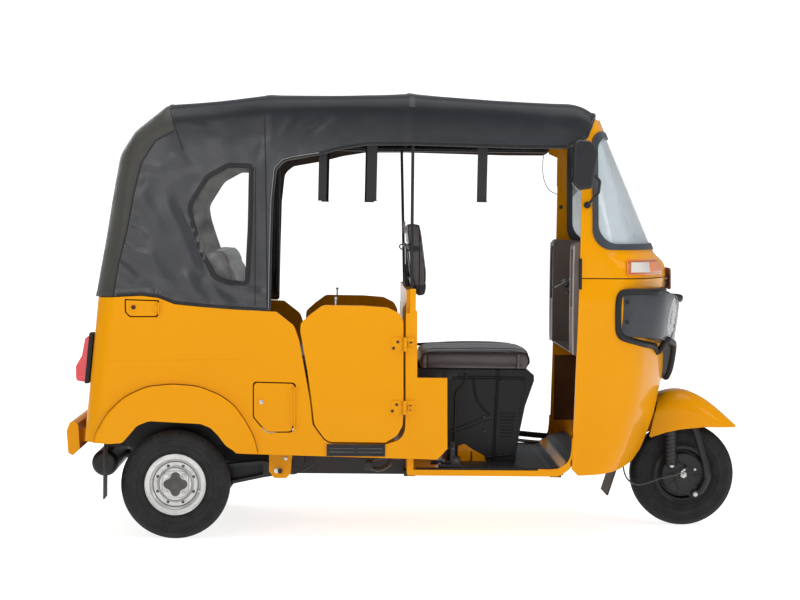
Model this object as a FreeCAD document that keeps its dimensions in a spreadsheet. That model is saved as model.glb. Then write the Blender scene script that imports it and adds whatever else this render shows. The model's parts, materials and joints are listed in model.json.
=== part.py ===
import FreeCAD, Part
import math
import os
import Sketcher

# Auto rickshaw: a three-wheeled covered passenger vehicle with a rear engine.
# Frame: +X forward, +Y left, +Z up, millimetres. The origin is under the middle of the
# vehicle's bounding box, on the ground. "Station" below is the distance ahead of the rear axle.
# Names ending in _right lie at -Y, names ending in _left at +Y.

V = FreeCAD.Vector
doc = FreeCAD.newDocument("auto_rickshaw")
sheet = doc.addObject("Spreadsheet::Sheet", "sheet")

# ---------------------------------------------------------------- driving dimensions
# alias, value in mm (or degrees), meaning
CELLS = [
    ("rear_station", -894, "x of the rear axle"),
    ("wheelbase", 2000, "front axle ahead of the rear axle"),
    ("tyre_r", 207, "tyre outer radius, 4.00-8"),
    ("tyre_w", 105, "tyre section width"),
    ("rim_r", 115, "rim flange radius"),
    ("track_half", 572, "rear wheel centre plane from the centreline"),
    ("stub_r", 15, "stub axle radius"),
    ("stub_gap", 0.05, "radial running clearance on a stub axle"),
    ("side_y", 630, "outer face of the side panels"),
    ("side_t", 22, "thickness of a side panel"),
    ("door_t", 28, "thickness of a door"),
    ("door_y", 634, "outer face of a door"),
    ("gap_w", 5, "gap round a door or hatch"),
    ("fender_y", 651, "outer face of a rear fender"),
    ("fender_t", 38, "depth of a rear fender"),
    ("floor_t", 22, "floor pan thickness"),
    ("front_floor_z", 245, "underside of the driver's floor"),
    ("rear_floor_z", 330, "underside of the passenger floor"),
    ("mat_t", 7, "rubber mat thickness"),
    ("partition_x", 868, "station of the partition's rear face"),
    ("partition_t", 34, "thickness of the partition"),
    ("seat_half_w", 300, "half width of the driver's seat"),
    ("cowl_t", 14, "thickness of the front cowl"),
    ("hood_t", 9, "thickness of the hood and its lining"),
    ("steer_deg", 25, "steering axis from the vertical"),
    ("stem_r", 19, "steering stem radius"),
    ("rail_r", 12, "radius of a hood bow"),
    ("post_r", 6, "radius of a partition post"),
    ("bar_r", 11, "handlebar tube radius"),
    ("plate_hole_r", 3.25, "radius of a number plate hole"),
    ("plate_pitch", 140, "number plate hole spacing"),
    ("tow_r", 11, "radius of the tow eye's hole"),
    ("tow_t", 12, "thickness of the tow eye"),
    ("flap_t", 5, "rubber mud flap thickness"),
    ("cable_r", 3.2, "radius of the front brake cable"),
    ("wire_r", 1.6, "radius of the pillar's lamp wire"),
]
for row, (alias, value, meaning) in enumerate(CELLS, start=1):
    sheet.set("A%d" % row, alias)
    sheet.set("B%d" % row, str(value))
    sheet.set("C%d" % row, meaning)
    sheet.setAlias("B%d" % row, alias)
doc.recompute()
D = {alias: float(getattr(sheet, alias)) for alias, _, _ in CELLS}
RX = D["rear_station"]
AXLE_Z = D["tyre_r"]
FRONT_X = RX + D["wheelbase"]

nodes = []          # (node name, document object)


def keep(obj, name):
    obj.Label = name
    nodes.append((name, obj))
    return obj


# ---------------------------------------------------------------- profile helpers
def rounded(pts, close=True):
    """Edges of a polygon whose corners (a, b, r) are rounded to r."""
    n = len(pts)
    P = [(p[0], p[1], p[2] if len(p) > 2 else 0) for p in pts]
    ends = []
    for i in range(n):
        a, b, c = P[i - 1], P[i], P[(i + 1) % n]
        r = b[2]
        if r <= 0 or (not close and i in (0, n - 1)):
            ends.append(((b[0], b[1]), None, (b[0], b[1])))
            continue
        u = (a[0] - b[0], a[1] - b[1])
        w = (c[0] - b[0], c[1] - b[1])
        lu, lw = math.hypot(*u), math.hypot(*w)
        u = (u[0] / lu, u[1] / lu)
        w = (w[0] / lw, w[1] / lw)
        cosang = max(-1, min(1, u[0] * w[0] + u[1] * w[1]))
        ang = math.acos(cosang)
        d = r / math.tan(ang / 2)
        d = min(d, 0.49 * lu, 0.49 * lw)
        rr = d * math.tan(ang / 2)
        s = (b[0] + u[0] * d, b[1] + u[1] * d)
        e = (b[0] + w[0] * d, b[1] + w[1] * d)
        bis = (u[0] + w[0], u[1] + w[1])
        lb = math.hypot(*bis)
        h = rr / math.sin(ang / 2)
        cen = (b[0] + bis[0] / lb * h, b[1] + bis[1] / lb * h)
        mid = (cen[0] - bis[0] / lb * rr, cen[1] - bis[1] / lb * rr)
        ends.append((s, mid, e))
    segs = []
    for i in range(n):
        s, mid, e = ends[i]
        if mid is not None:
            segs.append(("arc", s, mid, e))
        if close or i < n - 1:
            t = ends[(i + 1) % n][0]
            if math.hypot(t[0] - e[0], t[1] - e[1]) > 1e-6:
                segs.append(("line", e, t))
    return segs


def geometry(segs, at):
    out = []
    for s in segs:
        if s[0] == "line":
            out.append(Part.LineSegment(at(*s[1]), at(*s[2])))
        else:
            out.append(Part.Arc(at(*s[1]), at(*s[2]), at(*s[3])))
    return out


def face_of(segs, at):
    w = Part.Wire([g.toShape() for g in geometry(segs, at)])
    return Part.Face(w)


def xz(y=0.0):
    return lambda a, b: V(a + RX, y, b)


def xy(z=0.0):
    return lambda a, b: V(a + RX, b, z)


def yz(x=0.0):
    return lambda a, b: V(x + RX, a, b)


def prism_xz(pts, y0, y1):
    f = face_of(rounded(pts), xz(y0))
    return f.extrude(V(0, y1 - y0, 0))


def prism_xy(pts, z0, z1):
    f = face_of(rounded(pts), xy(z0))
    return f.extrude(V(0, 0, z1 - z0))


def prism_yz(pts, x0, x1):
    f = face_of(rounded(pts), yz(x0))
    return f.extrude(V(x1 - x0, 0, 0))


def mirror(shape):
    return shape.mirror(V(0, 0, 0), V(0, 1, 0))


def feature(name, shape):
    o = doc.addObject("Part::Feature", name)
    if shape.ShapeType == "Compound" and len(shape.Solids) == 1:
        shape = shape.Solids[0]
    o.Shape = shape
    return keep(o, name)


def solids(*shapes):
    out = []
    for s in shapes:
        out += s.Solids
    return Part.makeCompound(out)


def weld(*shapes):
    """Fuse shapes and make sure that none of them was lost."""
    biggest = max(s.Volume for s in shapes)
    total = sum(s.Volume for s in shapes)
    out = shapes[0].fuse(list(shapes[1:]))
    clean = out.removeSplitter()
    if clean.isValid() and clean.Volume > 0.98 * biggest and clean.Volume <= 1.001 * total:
        out = clean
    if not out.isValid() or out.Volume < 0.98 * biggest or out.Volume > 1.001 * total:
        print("weld failed: in", [round(s.Volume / 1000) for s in shapes], "out", round(out.Volume / 1000))
    return out


def both(name, shape):
    """One node with a piece on the right and its mirror image on the left."""
    return feature(name, solids(shape, mirror(shape)))


def rod(a, b, r):
    a, b = V(*a), V(*b)
    return Part.makeCylinder(r, (b - a).Length, a, b - a)


def pipe(points, r, bend):
    """A round tube along straight runs joined by tangent arcs of radius bend."""
    pts = [V(p[0] + RX, p[1], p[2]) for p in points]
    edges = []
    last = pts[0]
    for i in range(1, len(pts) - 1):
        a, b, c = pts[i - 1], pts[i], pts[i + 1]
        u = (a - b).normalize()
        w = (c - b).normalize()
        ang = u.getAngle(w)
        d = min(bend / math.tan(ang / 2), 0.45 * (a - b).Length, 0.45 * (c - b).Length)
        rr = d * math.tan(ang / 2)
        s, e = b + u * d, b + w * d
        bis = (u + w).normalize()
        mid = b + bis * (rr / math.sin(ang / 2) - rr)
        edges.append(Part.LineSegment(last, s).toShape())
        edges.append(Part.Arc(s, mid, e).toShape())
        last = e
    edges.append(Part.LineSegment(last, pts[-1]).toShape())
    path = Part.Wire(edges)
    circle = Part.Wire([Part.Circle(pts[0], (pts[1] - pts[0]), r).toShape()])
    return path.makePipeShell([circle], True, True)


def sketch_pad(name, pts, offset_expr, length_expr, holes=()):
    """PartDesign body: a side-view profile padded towards -Y, starting offset_expr from the centreline."""
    body = doc.addObject("PartDesign::Body", name + "_body")
    plane = [f for f in body.Origin.OriginFeatures if f.Role == "XZ_Plane"][0]
    sk = body.newObject("Sketcher::SketchObject", name + "_sketch")
    sk.AttachmentSupport = [(plane, "")]
    sk.MapMode = "FlatFace"
    sk.setExpression("AttachmentOffset.Base.z", offset_expr)
    flat = lambda a, b: V(a + RX, b, 0)
    for outline in (pts, *holes):
        for g in geometry(rounded(outline), flat):
            sk.addGeometry(g, False)
    doc.recompute()
    pad = body.newObject("PartDesign::Pad", name + "_pad")
    pad.Profile = sk
    pad.setExpression("Length", length_expr)
    body.Tip = pad
    doc.recompute()
    return body, pad


def mirrored(name, source):
    m = doc.addObject("Part::Mirroring", name)
    m.Source = source
    m.Normal = V(0, 1, 0)
    m.Base = V(0, 0, 0)
    doc.recompute()
    return m


def revolve_y(name, profile, axis_x, axis_z, y0, flip=1):
    """PartDesign body: profile of (radius, y, corner radius) turned round an axle along Y."""
    body = doc.addObject("PartDesign::Body", name + "_body")
    plane = [f for f in body.Origin.OriginFeatures if f.Role == "XY_Plane"][0]
    sk = body.newObject("Sketcher::SketchObject", name + "_sketch")
    sk.AttachmentSupport = [(plane, "")]
    sk.MapMode = "FlatFace"
    for g in geometry(rounded([(p[0], flip * p[1], p[2] if len(p) > 2 else 0) for p in profile]), lambda a, b: V(a, b, 0)):
        sk.addGeometry(g, False)
    doc.recompute()
    rev = body.newObject("PartDesign::Revolution", name + "_turn")
    rev.Profile = sk
    rev.ReferenceAxis = (sk, ["V_Axis"])
    rev.Angle = 360
    body.Tip = rev
    doc.recompute()
    body.Placement = FreeCAD.Placement(V(axis_x, y0, axis_z), FreeCAD.Rotation())
    doc.recompute()
    return body, rev


# ================================================================ side panels, doors, hatches
# side-view outlines, columns: station, height, corner radius
DOOR_OPENING = [
    (571, 369, 60), (795, 367, 0), (868, 390, 60), (872, 470, 0), (869, 700, 0), (869, 905, 0),
    (869, 1000, 0), (340, 1000, 0), (372, 871, 0), (446, 814, 40), (465, 761, 30),
    (509, 531, 30), (519, 440, 40),
]
PANEL_RIGHT = [
    (-420, 372), (257, 327), (573, 320), (993, 311), (1031, 352), (1028, 621), (914, 621), (912, 872), (906, 880),
    (906, 958), (884, 958), (884, 867), (373, 867), (221, 873.5), (89, 882.5), (-6, 891.5), (-70, 915), (-131, 922), (-191, 919), (-244, 915.5), (-420, 912),
]
ARCH_CUT = [
    (-270, 250, 0), (-240, 380, 30), (-170, 430, 40), (-100, 462, 60), (60, 462, 60), (140, 436, 40),
    (175, 395, 30), (205, 352, 30), (262, 300, 0), (262, 250, 0),
]
HATCH_LOW = [(296, 597, 14), (450, 594, 14), (441, 414, 14), (345, 412, 20), (297, 468, 20)]
HATCH_UP = [(-190, 905, 3), (-70, 902, 3), (-72, 847, 10), (-174, 846, 14), (-189, 862, 14)]


def grown(pts, d):
    """A side-view outline grown by d, as a list of plain points with the same radii."""
    n = len(pts)
    area = sum(pts[i - 1][0] * pts[i][1] - pts[i][0] * pts[i - 1][1] for i in range(n))
    sgn = 1 if area > 0 else -1
    out = []
    for i in range(n):
        a, b, c = pts[i - 1], pts[i], pts[(i + 1) % n]
        u = V(b[0] - a[0], b[1] - a[1], 0).normalize()
        w = V(c[0] - b[0], c[1] - b[1], 0).normalize()
        n1 = V(u.y, -u.x, 0) * sgn
        n2 = V(w.y, -w.x, 0) * sgn
        m = n1 + n2
        m = m / max(m.Length ** 2 / 2, 0.2)
        out.append((b[0] + m.x * d, b[1] + m.y * d, max(0, (b[2] if len(b) > 2 else 0))))
    return out


# The rear tub in plan: straight sides that turn round a rear corner into the tail, open in front.
# columns: height, tail station, corner radius, half width
TUB = [(300, -356, 75, D["side_y"]), (960, -296, 75, D["side_y"])]


def tub_solid(off):
    wires = []
    for z, tail, r, w in TUB:
        pts = [(1100 + off, -(w - off)), (1100 + off, w - off), (tail + off, w - off, r - off), (tail + off, -(w - off), r - off)]
        wires.append(Part.Wire([g.toShape() for g in geometry(rounded(pts), xy(z))]))
    return Part.makeLoft(wires, True, True)


tub_shell = tub_solid(0).cut(tub_solid(D["side_t"]))
right_view = prism_xz(PANEL_RIGHT, -700, 0)
panel = tub_shell.common(right_view)
panel = panel.cut(prism_xz(DOOR_OPENING, -700, 0))
panel = panel.cut(prism_xz(ARCH_CUT, -700, 0))
TAIL_HALF = 520            # the side panels turn the corner and meet the tail panel here
tail_split = prism_xy([(-600, -TAIL_HALF), (-600, TAIL_HALF), (1200, TAIL_HALF), (1200, -TAIL_HALF)], 0, 1200)
side_plain = panel.cut(tail_split)
panel_cut = side_plain.cut(prism_xz(grown(HATCH_LOW, D["gap_w"]), -700, 0)).cut(prism_xz(grown(HATCH_UP, D["gap_w"]), -700, 0))

tail = tub_shell.common(prism_xz([(-420, 372), (-200, 360), (-200, 912), (-420, 912)], -700, 700))
tail = tail.common(tail_split)
# engine bay opening in the tail, covered by a louvred door
tail_hole = prism_yz([(-300, 430, 30), (300, 430, 30), (300, 800, 30), (-300, 800, 30)], -420, -250)
tail = tail.cut(tail_hole)
feature("tail_panel", tail)
cover = tub_solid(-3).cut(tub_solid(D["side_t"] - 6)).common(
    prism_yz([(-294, 436, 26), (294, 436, 26), (294, 794, 26), (-294, 794, 26)], -420, -250))
for k in range(6):
    z = 616 + 27 * k
    cover = cover.cut(prism_yz([(-210, z, 5), (-30, z, 5), (-30, z + 12, 5), (-210, z + 12, 5)], -420, -250))
    cover = cover.cut(prism_yz([(30, z, 5), (210, z, 5), (210, z + 12, 5), (30, z + 12, 5)], -420, -250))
for y in (-D["plate_pitch"] / 2, D["plate_pitch"] / 2):
    cover = cover.cut(Part.makeCylinder(D["plate_hole_r"], 100, V(RX - 400, y, 570), V(1, 0, 0)))
feature("engine_cover", cover)

# doors: a plate inside the opening, all round gap_w clear
DOOR = [
    (573, 374, 45), (797, 373, 0), (842, 402, 30), (862, 440, 20), (864, 548, 0), (862, 700, 0), (861, 836, 30), (845, 866, 25),
    (800, 888, 40), (713, 894, 0), (554, 895, 30), (506, 859, 30), (470, 826, 20), (468, 793, 20),
    (497, 640, 0), (514, 520, 20), (524, 440, 45),
]
door_body, door_pad = sketch_pad("door_plate", grown(DOOR, -1.5), "<<sheet>>.door_y - <<sheet>>.door_t", "<<sheet>>.door_t")

# outside hinges: leaf and two barrels with a pin on the body side, leaf and middle barrel on the door
HINGE_X, HINGE_Y = 867.5, -(D["door_y"] + 9)
HINGES = [(748, 26), (508, 26)]     # columns: height of the middle, half height


def hinge(zc, hh, part):
    x = HINGE_X + RX
    y = HINGE_Y
    pin_r, out_r = 3.5, 7.5
    if part == "body":
        s = Part.makeCylinder(pin_r, 2 * hh, V(x, y, zc - hh))
        for z0 in (zc - hh, zc + hh - 15):
            s = s.fuse(Part.makeCylinder(out_r, 15, V(x, y, z0)))
            s = s.fuse(Part.makeBox(36, 4, 15, V(x, -D["side_y"] - 7.0, z0)))
        return s.fuse(Part.makeBox(26, 5, 2 * hh, V(x + 10, -D["side_y"] - 4, zc - hh)))
    b = Part.makeCylinder(out_r, 2 * hh - 32, V(x, y, zc - hh + 16))
    b = b.cut(Part.makeCylinder(pin_r + 0.05, 2 * hh, V(x, y, zc - hh)))
    leaf = Part.makeBox(44, 4, 2 * hh - 32, V(x - 50, -D["door_y"] - 4, zc - hh + 16))
    leaf = leaf.fuse(Part.makeBox(11, 4, 2 * hh - 32, V(x - 10.5, -D["door_y"] - 4, zc - hh + 16)))
    leaf = leaf.fuse(Part.makeBox(38, 4, 2 * hh, V(x - 52, -D["door_y"] - 4, zc - hh)))
    leaf = leaf.cut(Part.makeCylinder(pin_r + 0.05, 2 * hh, V(x, y, zc - hh)))
    return b.fuse(leaf).removeSplitter()


fix = [hinge(z, h, "body").removeSplitter() for z, h in HINGES]
mov = [hinge(z, h, "door") for z, h in HINGES]
leaves = doc.addObject("Part::Feature", "door_leaves")
leaves.Shape = Part.makeCompound(mov)
door = doc.addObject("Part::MultiFuse", "door_right_fuse")
door.Shapes = [door_body, leaves]
doc.recompute()
keep(door, "door_right")
keep(mirrored("door_left_mirror", door), "door_left")

# hatches in the right side panel, each with a small outside hinge barrel along its front edge
HATCH_AXES = {"service_hatch": (450.5, 505, 80), "upper_hatch": (-67.0, 876, 24)}   # station, middle height, half length
for name, pts in (("service_hatch", HATCH_LOW), ("upper_hatch", HATCH_UP)):
    hx, hz, hl = HATCH_AXES[name]
    plate = prism_xz(pts, -D["side_y"], -D["side_y"] + 10)
    arm = Part.makeBox(16, 4, 2 * hl - 20, V(hx - 16 + RX, -D["side_y"] - 4, hz - hl + 10))
    eye = Part.makeCylinder(4, 2 * hl - 20, V(hx + RX, -D["side_y"] - 5, hz - hl + 10))
    s = plate.fuse(arm).fuse(eye).cut(Part.makeCylinder(2.05, 2 * hl, V(hx + RX, -D["side_y"] - 5, hz - hl)))
    lock = rod((pts[4][0] + 28 + RX, -D["side_y"] + 2, pts[0][1] - (72 if hl > 50 else 26)),
               (pts[4][0] + 28 + RX, -D["side_y"] - 6, pts[0][1] - (72 if hl > 50 else 26)), 9)
    feature(name, s.fuse(lock).removeSplitter())
pins = []
for name, (hx, hz, hl) in HATCH_AXES.items():
    p = Part.makeCylinder(2, 2 * hl - 4, V(hx + RX, -D["side_y"] - 5, hz - hl + 2))
    for z0 in (hz - hl + 2, hz + hl - 10):
        p = p.fuse(Part.makeCylinder(4, 7, V(hx + RX, -D["side_y"] - 5, z0)))
        p = p.fuse(Part.makeBox(14, 5, 7, V(hx + 1 + RX, -D["side_y"] - 4, z0)))
    pins.append(p.removeSplitter())
step = prism_xz([(573, 322, 8), (793, 322, 8), (793, 366, 4), (573, 367, 4)], -D["door_y"] + 1, -D["side_y"] + 1)
feature("side_panel_right", weld(panel_cut, *fix, step, *pins))
feature("side_panel_left", mirror(weld(side_plain, *fix, step)))

# rear fenders: a pressed arc over each wheel, standing proud of the side panel
FENDER = [
    (-309, 365, 0), (-299, 403, 60), (-261, 472, 160), (-194, 540, 200), (-108, 579, 160), (-13, 589, 200),
    (85, 582, 200), (161, 552, 160), (220, 514, 160), (268, 446, 200), (298, 389, 80), (313, 331, 0),
    (255, 330, 0), (232, 334, 40), (193, 358, 50), (163, 397, 50), (134, 426, 40), (96, 441, 40), (-100, 450, 60),
    (-145, 431, 40), (-177, 392, 40), (-200, 366, 20), (-250, 362, 0),
]
fender = prism_xz(FENDER, -D["fender_y"], -D["side_y"] - 0.0)
try:
    outer = [e for e in fender.Edges if abs(e.BoundBox.YMin + D["fender_y"]) < 0.01 and abs(e.BoundBox.YMax + D["fender_y"]) < 0.01
             and e.BoundBox.ZMax > 380 and e.BoundBox.ZMax > 452]
    fender = fender.makeFillet(10, outer)
except Exception as err:
    print("fender fillet skipped", err)
both("rear_fenders", fender)

# wheel houses: plain inner wells behind the arches, bolted to the side panels
WELL = [(-262, 380, 0), (-200, 440, 60), (-120, 500, 80), (80, 500, 80), (180, 440, 60), (240, 370, 0)]
well_outer = prism_xz(grown(WELL + [(240, 345, 0), (-262, 345, 0)], 0), -D["side_y"] + D["side_t"], -440)
well_inner = prism_xz([(-257, 300, 0), (-257, 377, 0), (-197, 435, 55), (-118, 495, 75), (78, 495, 75), (177, 436, 55), (235, 367, 0), (235, 300, 0)],
                      -D["side_y"] + D["side_t"] - 1, -446)
well = well_outer.cut(well_inner)
both("wheel_houses", well)

# ================================================================ floor, partition, inner structure
floor_pts = [(455, D["rear_floor_z"], 0), (900, D["rear_floor_z"], 0), (900, D["rear_floor_z"] + D["floor_t"], 0), (455, D["rear_floor_z"] + D["floor_t"], 0)]
fb, fp = sketch_pad("passenger_floor", floor_pts, "0 - <<sheet>>.side_y + <<sheet>>.side_t + 1", "2 * (<<sheet>>.side_y - <<sheet>>.side_t - 1)")
# the driver's floor sweeps up at its front edge into the cowl
zf = D["front_floor_z"]
ft = D["floor_t"]
front_pts = [(880, zf, 6), (1462, zf, 60), (1512, zf + 38, 0), (1588, zf + 58, 0), (1588, zf + 58 + ft, 0), (1500, zf + 38 + ft, 10), (1450, zf + ft, 60), (904, zf + ft, 0), (904, zf + 82, 0), (880, zf + 82, 0)]
gb, gp = sketch_pad("driver_floor", front_pts, "0 - 585", "1170")
floor = doc.addObject("Part::MultiFuse", "floor_fuse")
floor.Shapes = [fb, gb]
notches = doc.addObject("Part::Feature", "floor_notches")
notches.Shape = solids(Part.makeBox(120, 60, 160, V(1503 + RX, 558, 220)), Part.makeBox(120, 60, 160, V(1503 + RX, -618, 220)))
floor_cut = doc.addObject("Part::Cut", "floor_cut")
floor_cut.Base = floor
floor_cut.Tool = notches
doc.recompute()
keep(floor_cut, "floor_pan")
mat_plan = [(1035, -560, 10), (1428, -560, 40), (1428, 560, 40), (1035, 560, 10)]
mat = prism_xy(mat_plan, zf + ft, zf + ft + D["mat_t"])
mat = mat.cut(prism_xy([(905, -286), (1316, -286), (1316, 286), (905, 286)], zf, zf + 100))
feature("floor_mat", mat)

# partition between driver and passengers, with a flanged top
px, pt = D["partition_x"], D["partition_t"]
part_plate = doc.addObject("Part::Box", "partition_plate")
part_plate.setExpression("Length", "<<sheet>>.partition_t")
part_plate.setExpression("Width", "2 * (<<sheet>>.side_y - <<sheet>>.side_t - 2)")
part_plate.setExpression("Height", "600")
part_plate.setExpression("Placement.Base.x", "<<sheet>>.rear_station + <<sheet>>.partition_x + 2")
part_plate.setExpression("Placement.Base.y", "0 - <<sheet>>.side_y + <<sheet>>.side_t + 2")
part_plate.setExpression("Placement.Base.z", "<<sheet>>.rear_floor_z + <<sheet>>.floor_t + 1")
doc.recompute()
keep(part_plate, "partition")
part_top = 330 + 22 + 1 + 600
posts = []
for y, foot, top in ((-582, 890, 890), (582, 886, 870)):
    posts.append(rod((foot + RX, y, part_top + 0.5), (top + RX, y, 1512), D["post_r"]))
cross = rod((px + 17 + RX, -582, 1112), (px + 17 + RX, 582, 1112), 8)
partition_posts = posts[0].fuse(posts[1]).fuse(cross)

# seat riser and engine bulkhead under the passenger seat
inner_w = D["side_y"] - D["side_t"] - 2
riser = prism_xz([(455, 353, 0), (485, 353, 0), (455, 596, 0), (425, 596, 0)], -inner_w + 10, inner_w - 10)
deck = prism_xz([(-246, 604, 0), (446, 590.5, 0), (446, 606, 0), (-246, 620, 0)], -inner_w + 10, inner_w - 10)
feature("engine_deck", weld(riser, deck))
psh = prism_xz([(205, 612, 20), (560, 608, 30), (572, 690, 45), (230, 706, 45)], -560, 560)
feature("passenger_cushion", psh)
back = prism_xz([(228, 712, 30), (328, 712, 30), (172, 1106, 40), (62, 1106, 40)], -560, 560)
feature("passenger_backrest", back)

# chassis: two longitudinal members, cross members and the arm pivots
beams = []
for y in (-300, 250):
    beams.append(prism_xz([(-270, 330, 0), (-270, 372, 0), (330, 322, 20), (470, 329, 0), (880, 329, 0), (880, 244, 0), (1500, 244, 0), (1500, 222, 0), (430, 222, 20), (330, 250, 20)], y, y + 50))
xs = [(-262, 330, 38), (440, 262, 60), (872, 224, 19), (1440, 224, 19)]
frame = beams[0].fuse(beams[1])
for x, z, h in xs:
    frame = frame.fuse(Part.makeBox(44, 808, h, V(x + RX, -404, z)))
brk = prism_xz([(352, 326, 0), (440, 322, 0), (434, 240, 10), (418, 224, 10), (372, 224, 10), (352, 250, 10)], -512, -496)
brk2 = brk.copy()
brk2.translate(V(0, 92, 0))
bridge = prism_xz([(400, 300, 0), (440, 300, 0), (440, 321, 0), (400, 321, 0)], -510, -400)
pivot_brackets = brk.fuse(brk2).fuse(bridge)
pivot_brackets = pivot_brackets.cut(Part.makeCylinder(9, 160, V(395 + RX, -540, 252), V(0, 1, 0)))
pivot_brackets = pivot_brackets.removeSplitter()
both("arm_brackets", pivot_brackets)

# trailing arms with hub carrier and stub axle
arm = prism_xz([(-48, 207, 46), (0, 262, 40), (60, 262, 30), (330, 288, 20), (425, 262, 20), (425, 240, 20), (330, 224, 20), (220, 200, 30), (60, 160, 30), (0, 152, 40)], -492, -424)
arm = arm.cut(prism_xz([(60, 178, 10), (330, 236, 10), (330, 276, 10), (60, 248, 10)], -500, -436))
arm = arm.fuse(rod((395 + RX, -494, 252), (395 + RX, -422, 252), 20))
arm = arm.fuse(rod((395 + RX, -530, 252), (395 + RX, -394, 252), 8.9))
arm = arm.fuse(rod((RX, -500, AXLE_Z), (RX, -380, AXLE_Z), 44))
sb = doc.addObject("Part::Cylinder", "stub_axle_shape")
sb.setExpression("Radius", "<<sheet>>.stub_r")
sb.setExpression("Height", "120")
sb.Placement = FreeCAD.Placement(V(RX, -495, AXLE_Z), FreeCAD.Rotation(V(1, 0, 0), 90))
doc.recompute()
arm = arm.fuse(sb.Shape)
shaft = rod((RX, -371, AXLE_Z + 3), (RX + 10, -232, AXLE_Z + 72), 14)
shaft = shaft.fuse(Part.makeSphere(34, V(RX + 1, -366, AXLE_Z + 6)).common(Part.makeBox(90, 60, 90, V(RX - 45, -379, AXLE_Z - 40))))
sh = rod((62 + RX, -402, 262), (56 + RX, -402, 300), 13).fuse(rod((57.5 + RX, -402, 290), (36 + RX, -402, 470), 27)).fuse(rod((38 + RX, -402, 462), (25 + RX, -402, 588), 13))
lug = prism_xz([(40, 214, 8), (84, 214, 8), (84, 272, 8), (40, 272, 8)], -426, -388)
both("rear_suspension", weld(arm, lug, sh))

eng = prism_xz([(-190, 214, 30), (150, 206, 30), (205, 300, 30), (190, 520, 40), (-150, 520, 40), (-215, 400, 30)], -228, 228)
feature("engine_block", eng.fuse([shaft, mirror(shaft)]).removeSplitter())
sil = rod((-296 + RX, -300, 256), (-296 + RX, 250, 256), 52)
sil = sil.makeFillet(18, [e for e in sil.Edges if e.Curve.TypeId == "Part::GeomCircle"])
sil = sil.fuse(rod((-296 + RX, 120, 256), (-205 + RX, 120, 256), 17))
sil = sil.fuse(prism_xz([(-301, 300, 0), (-291, 300, 0), (-291, 336, 0), (-301, 336, 0)], -170, -140)).fuse(prism_xz([(-301, 300, 0), (-291, 300, 0), (-291, 336, 0), (-301, 336, 0)], 140, 170))
feature("silencer", sil.removeSplitter())

# ================================================================ rear fittings
bump = prism_xz([(-423, 400, 14), (-411, 432, 6), (-392, 436, 6), (-378, 422, 8), (-372, 330, 8), (-398, 306, 6), (-416, 314, 10)], -520, 520)
bump = bump.cut(prism_xz([(-415, 398, 10), (-407, 424, 5), (-386, 426, 5), (-360, 424, 0), (-360, 336, 0), (-398, 314, 5), (-409, 321, 8)], -512, 512))
stays = [prism_xz([(-414, 344, 0), (-352, 344, 0), (-352, 392, 0), (-414, 392, 0)], y, y + 30) for y in (-330, 300)]
feature("rear_bumper", bump.fuse(stays[0]).fuse(stays[1]).removeSplitter())
lamp = prism_xz([(-322, 778, 4), (-350, 756, 10), (-362, 690, 20), (-385, 650, 12), (-383, 596, 10), (-340, 588, 4)], -560, -470)
lamp = lamp.cut(tub_solid(-0.5))
both("tail_lamps", lamp)
pl = prism_yz([(-150, 462, 8), (150, 462, 8), (150, 590, 8), (-150, 590, 8)], -366, -356.5)
for y in (-D["plate_pitch"] / 2, D["plate_pitch"] / 2):
    pl = pl.cut(Part.makeCylinder(D["plate_hole_r"], 40, V(RX - 380, y, 570), V(1, 0, 0)))
pl = pl.cut(tub_solid(-3.2))
rear_plate = pl
flap = doc.addObject("Part::Box", "mud_flap_box")
flap.setExpression("Length", "<<sheet>>.flap_t")
flap.Width = 128
flap.Height = 190
flap.setExpression("Placement.Base.x", "<<sheet>>.rear_station - 272")
flap.setExpression("Placement.Base.y", "0 - 628")
flap.setExpression("Placement.Base.z", "150")
doc.recompute()
bracketf = prism_xz([(-272, 340, 0), (-267, 340, 0), (-267, 362, 0), (-272, 362, 0)], -606, -500)
rf = flap.Shape.fuse(bracketf).removeSplitter()
fl = prism_xz([(1732, 262, 0), (1738, 262, 0), (1694, 126, 0), (1688, 126, 0)], -130, 130)
feature("mud_flaps", solids(rf, mirror(rf), fl))
eyep = prism_xz([(-360, 318, 22), (-318, 318, 10), (-250, 336, 0), (-250, 364, 0), (-360, 366, 22)], -D["tow_t"] / 2, D["tow_t"] / 2)
eyep = eyep.cut(Part.makeCylinder(D["tow_r"], 60, V(-334 + RX, -30, 342), V(0, 1, 0)))
feature("chassis_frame", weld(frame, eyep))

# ================================================================ front cowl and windshield
# The front is a nose in plan at every height: straight sides, round corners and a shallow front arc.
# columns: height, front station on the centreline, front arc radius, corner radius, half width
LOWER_NOSE = [
    (232, 1786, 1060, 165, 582), (345, 1846, 1060, 165, 585), (443, 1879, 1060, 165, 588),
    (607, 1911, 1060, 168, 592), (700, 1918, 1060, 170, 596), (1001, 1918, 1070, 170, 600),
]
SILL_NOSE = [(1005, 1918, 1070, 170, 600), (1034, 1917, 1070, 170, 600), (1060, 1908, 1070, 170, 600), (1084, 1884, 1075, 170, 600), (1106, 1868, 1078, 170, 600)]
FRAME_NOSE = [(1106, 1868, 1078, 170, 600), (1338, 1768, 1500, 135, 600), (1618, 1641, 2600, 90, 600)]
MASK_NOSE = [(590, 1919, 1200, 200, 560), (660, 1945, 1200, 200, 580), (734, 1956, 1200, 200, 592), (817, 1967, 1200, 200, 594), (899, 1975, 1200, 200, 594), (960, 1972, 1200, 200, 594)]


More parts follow.
